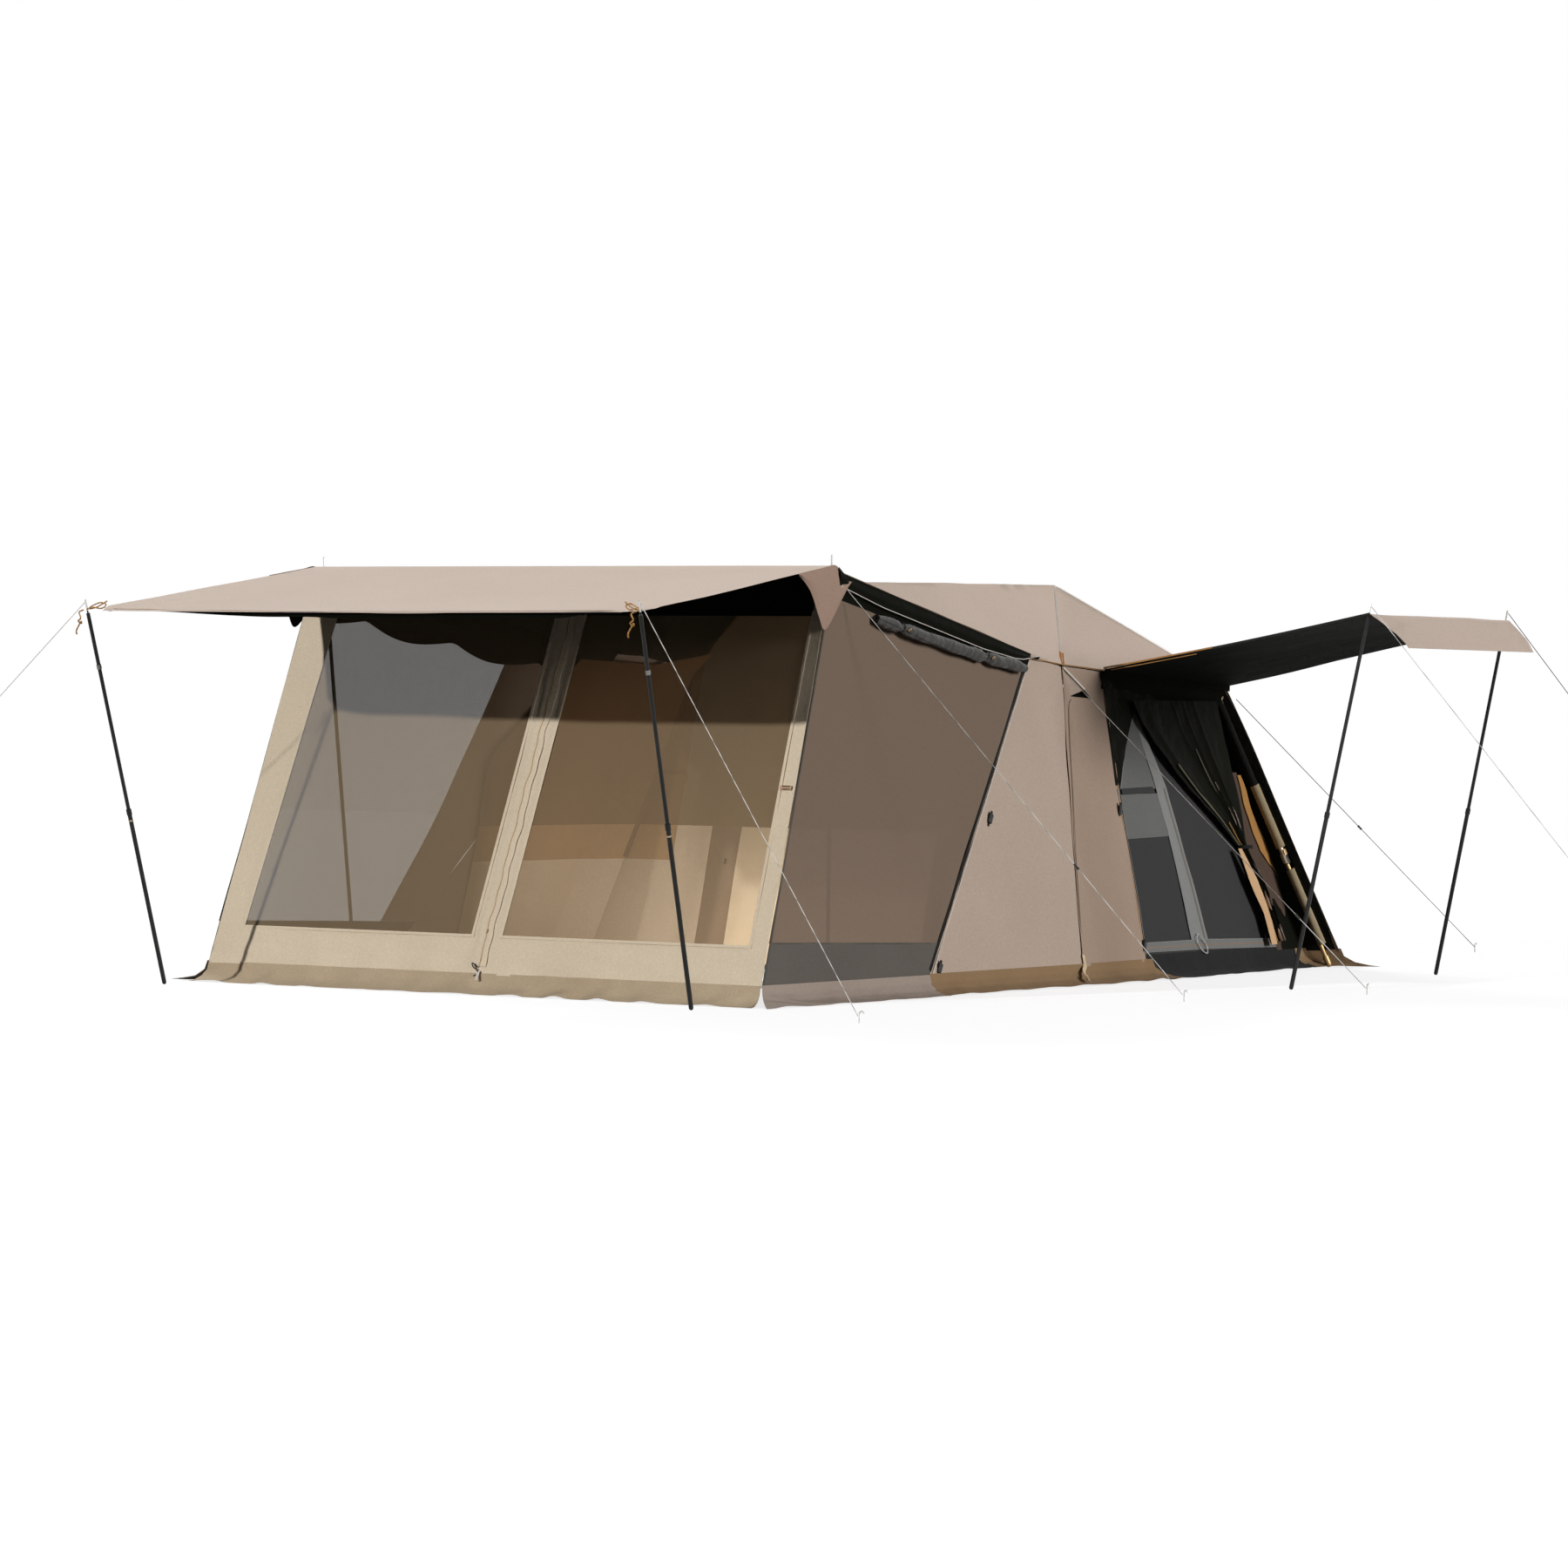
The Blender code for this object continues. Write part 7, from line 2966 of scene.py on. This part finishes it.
    def add_lining(self, wall: RuledWall) -> None:
        """Add the cover's pale edge band, its brown lining, and the tan strip beside the rear leg.

        Args:
            wall: the door's wall.
        """
        band = [
            [(0.895, 0.125), (0.970, 0.125)], [(0.870, 0.29), (0.955, 0.29)],
            [(0.760, 0.485), (0.870, 0.480)], [(0.700, 0.655), (0.745, 0.655)],
        ]
        lining = [
            [(1.06, 0.10), (1.44, 0.10)], [(1.03, 0.25), (1.37, 0.25)], [(0.93, 0.52), (1.27, 0.52)],
            [(0.85, 0.65), (1.12, 0.65)], [(0.83, 0.85), (1.03, 0.85)], [(0.82, 1.08), (0.965, 1.08)],
        ]
        strip = [
            [(1.430, 0.08), (1.500, 0.08)], [(1.352, 0.25), (1.400, 0.25)], [(1.290, 0.40), (1.340, 0.40)],
            [(1.190, 0.55), (1.260, 0.55)], [(1.055, 0.642), (1.20, 0.642)], [(1.020, 0.73), (1.14, 0.73)],
            [(0.985, 0.853), (1.07, 0.853)], [(0.955, 1.064), (1.00, 1.064)],
        ]
        for name, rows, finish, proud, slack in (
            ("cover_band", band, PEACH_BAND_CLOTH, 0.058, 0.003),
            ("cover_lining", lining, COVER_LINING, 0.012, 0.010),
            ("tan_strip", strip, TAN_CLOTH, 0.020, 0.010),
        ):
            cut = make_cloth(
                f"door_{name}", patch(wall, rows, [14], [8] * (len(rows) - 1), proud), (1, 0, 0.1), finish,
                creases=[Slack(slack, 0.12, 19.0)],
            )
            declare()


@dataclass
class RearWall:
    """The sleeping room's rear wall with its seams and skirt."""

    seams: tuple[float, float] = (-0.62, 0.62)

    def build(self) -> None:
        """Make the wall, its seams and its skirt."""
        wall = SHELL.rear()
        rows = [[wall.at(along, up) for along in (0.0, 1.0)] for up in (0.0, 1.0)]
        cut = make_cloth(
            "rear_wall_cloth", refine(rows, [90], [44]), (0, 1, 0.2), WALL_CLOTH,
            creases=[
                Slack(0.014, 0.55, 101.0), Ripple(Vector((1, 0, 0)), 0.7, 0.005, 2.0),
                *[Pull(wall.at(along, 1.0), 12, 0.006, 0.45, along) for along in (0.0, 1.0)],
                *[Pull(wall.at(along, 0.0), 10, 0.005, 0.40, along) for along in (0.0, 1.0)],
            ],
        )
        for number, x in enumerate(self.seams):
            path = line_on(wall, [(x * 1.05, 0.10), (x, 1.52)], 0.003)
            make_tape(
                f"rear_seam_{number + 1}", path, wall.normal(0.5, 0.5), 0.012, WALL_CLOTH,
                thickness=0.0014, proud=0.001, slot="wall",
            )
        declare(["rear_wall"])
        foot = [wall.at(share, 0.0, 0.002) for share in shares(8)]
        add_skirt("rear_skirt", foot, Vector((0, 1, 0)), PANEL_SKIRT, cut.piece.name, seed=43.0)


@dataclass
class Divider:
    """The cloth wall between the hall and the sleeping room, as seen through the hall's windows."""

    corners: tuple[tuple[float, float, float], ...] = (
        (1.52, -1.33, 0.02), (1.12, -0.90, 1.60), (0.78, -0.785, 2.03),
    )
    foot_z: float = 0.03
    low_z: float = 0.57
    seam_z: float = 0.76
    top_z: float = 2.03
    block_x: float = 1.04
    outermost: float = 9.0
    door_edges: tuple[float, float] = (0.62, 0.81)
    bar_z: float = 1.02
    sliver: float = 0.02

    def half(self, z: float) -> tuple[float, float]:
        """Half the wall's width and its y at a height."""
        low, eave, top = self.corners
        start, end = (low, eave) if z < eave[2] else (eave, top)
        share = (z - start[2]) / (end[2] - start[2])
        return start[0] + (end[0] - start[0]) * share, start[1] + (end[1] - start[1]) * share

    def zones(self) -> list[tuple[str, float, float, WovenCloth]]:
        """The wall's three tones at its sides, painted sunlight at the foot, a painted half-lit band and
        painted shade above: name, lowest and highest place, and cloth.
        """
        return [
            ("low", self.foot_z, self.low_z, INNER_SUNLIT_CLOTH),
            ("band", self.low_z, self.seam_z, INNER_HALF_LIT_CLOTH),
            ("upper", self.seam_z, self.top_z, INNER_SHADE_CLOTH),
        ]

    def panels(self) -> list[tuple[str, tuple[float, float], tuple[float, float], WovenCloth]]:
        """The wall's cloths: name, from which x to which, from which z to which, and cloth.

        Returns:
            The cloths, in the order that they are made in.
        """
        inner, outer = self.door_edges
        below, above = (self.foot_z, self.seam_z), (self.seam_z, self.top_z)
        panels = [
            ("door", (-inner, inner), below, INNER_CREAM_CLOTH),
            ("centre", (-self.block_x, self.block_x), above, INNER_PALE_CLOTH),
        ]
        for side in Side:
            for name, start, end, span, finish in (
                ("zip_band", inner, outer, below, INNER_MAUVE_CLOTH),
                ("post", outer, self.block_x, below, INNER_SUNLIT_CLOTH),
                *[(name, self.block_x, self.outermost, (low, high), finish)
                  for name, low, high, finish in self.zones()],
            ):
                reach = sorted((side.value * start, side.value * end))
                panels.append((f"{name}_{side.word}", (reach[0], reach[1]), span, finish))
        return panels

    def point(self, x: float, z: float, proud: float = 0.0) -> Vector:
        """A point of the wall by its x and height, kept within the wall's edges."""
        half, y = self.half(z)
        return Vector((clamp(x, -half, half), y - proud, z))

    def build(self) -> None:
        """Make the wall in its cloths, with its door zips and the seams that show as bars."""
        last = None
        for name, (left, right), (low, high), finish in self.panels():
            heights = np.linspace(low, high, max(4, round((high - low) / 0.05)) + 1)
            rows = []
            for z in heights:
                half, y = self.half(z)
                start, end = max(left, -half), min(right, half)
                if end - start < self.sliver:
                    start, end = (half - self.sliver, half) if left > 0 else (-half, -half + self.sliver)
                rows.append([Vector((start, y, z)), Vector((end, y, z))])
            cells = max(3, round((min(right, 1.5) - max(left, -1.5)) / 0.05))
            cut = make_cloth(
                f"divider_{name}", refine(rows, [cells], [1] * (len(rows) - 1)), (0, -1, 0), finish,
                thickness=THIN_CLOTH, creases=[Slack(0.010, 0.5, 111.0)],
            )
            if last is None:
                trims = self.add_trims()
                declare(["divider_wall"])
            else:
                declare()
            last = cut.piece.name

    def add_trims(self) -> list[bpy.types.Object]:
        """Add the door's black zip line and its pulls, and the bars of the window frames.

        Returns:
            The trims.
        """
        facing = Vector((0, -1, 0.3))
        inner, outer = self.door_edges
        middle = (inner + outer) / 2 - 0.03
        trims = []
        for side in Side:
            sign = side.value
            if side is Side.RIGHT:
                path = [self.point(sign * (middle + 0.02 * math.sin(z * 2.2)), z, 0.014)
                        for z in np.linspace(0.08, 1.66, 40)]
                trims.append(make_tape(
                    f"divider_zip_{side.word}", path, facing, 0.010, BLACK_TAPE, slot="light_wall",
                ))
            bar = [self.point(sign * x, self.bar_z, 0.012) for x in np.linspace(1.03, 1.22, 8)]
            corner = [self.point(sign * (self.half(z)[0] - 0.03), z, 0.014)
                      for z in np.linspace(0.58, 1.5, 20)]
            for name, path in (("bar", bar), ("corner", corner)):
                trims.append(make_tape(
                    f"divider_{name}_{side.word}", path, facing, 0.045, INNER_SHADE_CLOTH, slot="light_wall",
                ))
            knob = self.point(sign * middle, 0.588, 0.016)
            trims.append(make_turned(
                f"divider_zip_pull_{side.word}", TOGGLE, knob, Vector((0, -0.3, -1)), BLACK_PLASTIC,
            ))
        return trims


@dataclass
class Groundsheet:
    """The sleeping room's tub floor."""

    front: tuple[float, float] = (1.53, -1.28)
    rear: tuple[float, float] = (1.42, 1.06)
    inset: float = 0.012
    flare: float = 0.004
    floor_z: float = 0.0022
    rim: float = 0.07

    def row(self, half: float, y: float, z: float, rim: float) -> list[Vector]:
        """One row across, with its rim at both ends."""
        return [
            Vector((-half - self.flare, y, z + rim)), Vector((-half, y, z)), Vector((0, y, z)),
            Vector((half, y, z)), Vector((half + self.flare, y, z + rim)),
        ]

    def build(self) -> None:
        """Make the floor with its raised rim."""
        front_x, front_y = self.front[0] - self.inset, self.front[1] + self.inset
        rear_x, rear_y = self.rear[0] - self.inset, self.rear[1] - self.inset
        rows = [
            self.row(front_x, front_y - self.flare, self.rim, 0.0),
            self.row(front_x, front_y, self.floor_z, self.rim),
            self.row((front_x + rear_x) / 2, 0.0, self.floor_z, self.rim),
            self.row(rear_x, rear_y, self.floor_z, self.rim),
            self.row(rear_x, rear_y + self.flare, self.rim, 0.0),
        ]
        cut = make_cloth(
            "groundsheet_cloth", refine(rows, [2, 30, 30, 2], [2, 24, 24, 2]), (0, 0, 1), GROUND_CLOTH,
            creases=[Slack(0.0015, 0.3, 121.0)],
        )
        declare(["groundsheet"])


@dataclass
class FrameMetal:
    """The tubes, hubs, poles and their small fittings, and the sleeves round the rear legs."""

    plan: Plan
    ring: float = 0.02
    leg_half: float = 0.0125
    leg_travel: float = 0.3
    sleeve_start: float = 0.46
    sleeve_end: float = 0.97

    def build(self) -> None:
        """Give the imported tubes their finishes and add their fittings."""
        for side in Side:
            dress(f"ridge_hub_{side.word}", BLACK_PLASTIC)
            dress(f"hall_pole_{side.word}", BLACK_STEEL)
            for end in ("front", "rear"):
                dress(f"roof_rib_{end}_{side.word}", BLACK_STEEL)
                dress(f"leg_upper_{end}_{side.word}", BEIGE_TUBE)
                dress(f"leg_lower_{end}_{side.word}", BRASS_TUBE)
        dress("ridge_pole", BEIGE_TUBE)
        dress("front_zip_slider", BRASS_TUBE)
        for name, pole in awning_poles(self.plan).items():
            dress(f"{name}_upper", BLACK_STEEL)
            dress(f"{name}_lower", BLACK_STEEL)
            self.add_pin(name, pole)
        for side in Side:
            self.add_pin(f"hall_pole_{side.word}", hall_pole(self.plan, side))
            for end in ("front", "rear"):
                self.add_bracket(side, end)
        self.add_marks()

    def add_bracket(self, side: Side, end: str) -> None:
        """Add the black collar and brass tab at the lower end of a leg's upper tube, and a rear leg's cloth.

        Args:
            side: which side of the tent.
            end: front or rear.
        """
        low, high = (Vector(corner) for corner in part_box(f"leg_upper_{end}_{side.word}"))
        outer_x, inner_x = (high.x, low.x) if side is Side.RIGHT else (low.x, high.x)
        outer_y, inner_y = (high.y, low.y) if end == "rear" else (low.y, high.y)
        foot, head = Vector((outer_x, outer_y, low.z)), Vector((inner_x, inner_y, high.z))
        half = self.leg_half
        middle = Vector((-math.copysign(half, foot.x), -math.copysign(half, foot.y), 0))
        foot, head = foot + middle, head - middle
        along = (head - foot).normalized()
        collar = [(0.0150, 0.0), (0.0185, 0.003), (0.0185, 0.050), (0.0150, 0.055)]
        word = f"{end}_{side.word}"
        make_turned(f"leg_collar_{word}", collar, foot + along * 0.004, along, BLACK_PLASTIC)
        away = Vector((side.value, -0.2, 0.0)).normalized()
        tab = [foot + along * (0.062 + 0.004 * step) + away * 0.016 for step in range(9)]
        make_tape(
            f"leg_tab_{word}", tab, away, 0.020, BRASS_TUBE, thickness=0.004, proud=0.001, slot="brass_tube",
        )
        if end == "rear":
            length = (head - foot).length
            self.add_leg_cover(side, foot, along, length * self.sleeve_start + self.ring)
            sleeve = [
                0.021 + 0.004 * noise.noise(Vector((step * 0.7, side.value, 0)))
                for step in range(round(length * (self.sleeve_end - self.sleeve_start) / self.ring))
            ]
            make_turned(
                f"leg_sleeve_{word}", self.skin(sleeve, 0.002), foot.lerp(head, self.sleeve_start), along,
                SLEEVE_CLOTH, sides=16,
            )

    def skin(self, radii: Sequence[float], thickness: float) -> list[tuple[float, float]]:
        """The profile of a cloth sleeve, up its outer face and down its inner one.

        Args:
            radii: the outer radius of each ring, from the lowest up.
            thickness: how thick the cloth is.

        Returns:
            Radius and height of each point.
        """
        outer = [(radius, step * self.ring) for step, radius in enumerate(radii)]
        return outer + [(radius - thickness, height) for radius, height in reversed(outer)]

    def add_leg_cover(self, side: Side, foot: Vector, along: Vector, length: float) -> None:
        """Add the pale sleeve round a rear leg, in two lengths, and the black channel behind it.

        The lower length folds up as the leg slides in.

        Args:
            side: which side of the tent.
            foot: the lower end of the leg's upper tube.
            along: the leg's direction, upwards.
            length: how far up the pale cloth goes.
        """
        front = Vector((side.value * 0.5, -0.86, 0.0))
        front = (front - along * front.dot(along)).normalized()
        across = along.cross(front)
        down = (foot.z - 0.13) / along.z
        for name, start, end, radius in (("low", -down, -0.012, 0.0235), ("high", 0.105, length, 0.0255)):
            sleeve = [
                radius * (1 + 0.07 * noise.noise(Vector((step * 0.5, radius * 90, side.value))))
                for step in range(round((end - start) / self.ring))
            ]
            cover = make_turned(
                f"leg_cover_{name}_{side.word}", self.skin(sleeve, 0.0015), foot + along * start, along,
                LEG_CLOTH, sides=20,
            )
            if name == "low":
                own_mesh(cover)
        rows = []
        for share in shares(40):
            centre = foot + along * (-down + (length + down) * share)
            rows.append([
                centre + (front * math.cos(angle) * 0.7 + across * math.sin(angle)) * 0.034
                for angle in np.linspace(1.75, math.tau - 1.75, 25)
            ])
        cut = make_cloth(
            f"leg_channel_{side.word}", as_grid(rows), front, SLEEVE_CLOTH, thickness=THIN_CLOTH,
        )
        declare()

    def add_marks(self) -> None:
        """Add the reflective mark and the ring on the front awning's poles."""
        poles = awning_poles(self.plan)
        for side in Side:
            pole = poles[f"front_awning_pole_{side.word}"]
            for name, share, tall, finish in (
                ("mark", 0.845, 0.022, GREY_TAPE), ("ring", 0.437, 0.008, BEIGE_TUBE),
            ):
                band = [(0.0112, 0.0), (0.0120, 0.001), (0.0120, tall - 0.001), (0.0112, tall)]
                make_turned(
                    f"front_pole_{name}_{side.word}", band, pole.at(share), pole.along, finish,
                )

    def add_pin(self, name: str, pole: Pole) -> None:
        """Add the bright sleeve on a pole's pin.

        Args:
            name: the pole's name.
            pole: its line.
        """
        make_turned(
            f"{name}_pin_sleeve", [(0.0041, 0.002), (0.0047, 0.002), (0.0047, 0.054), (0.0041, 0.0545)],
            pole.tip, pole.along, SILVER_PIN,
        )


FAR_SIDE = HallSide(
    PLAN, Side.LEFT, net_front=(0.125, 0.085), net_rear=(0.82, 0.66), scallop=0.03, roll_start=0.22,
    head_low=0.905, head_proud=-0.012,
)


def main() -> None:
    """Build every piece in order, logging the size of each cloth and cord."""
    logging.basicConfig(level=logging.INFO, format="%(message)s")
    builders = [
        Studio(), Guylines(PLAN), Fly(PLAN), FrontAwning(PLAN), SideAwning(PLAN), FrontWall(PLAN),
        HallSide(PLAN, Side.RIGHT), FAR_SIDE, *[SidePanel(PLAN, side) for side in Side],
        *[DoorWall(PLAN, side) for side in Side], Curtain(), RearWall(), Divider(), Groundsheet(),
        FrameMetal(PLAN),
    ]
    for builder in builders:
        builder.build()
        LOG.info("%s done", type(builder).__name__)


if __name__ == "__main__":
    main()
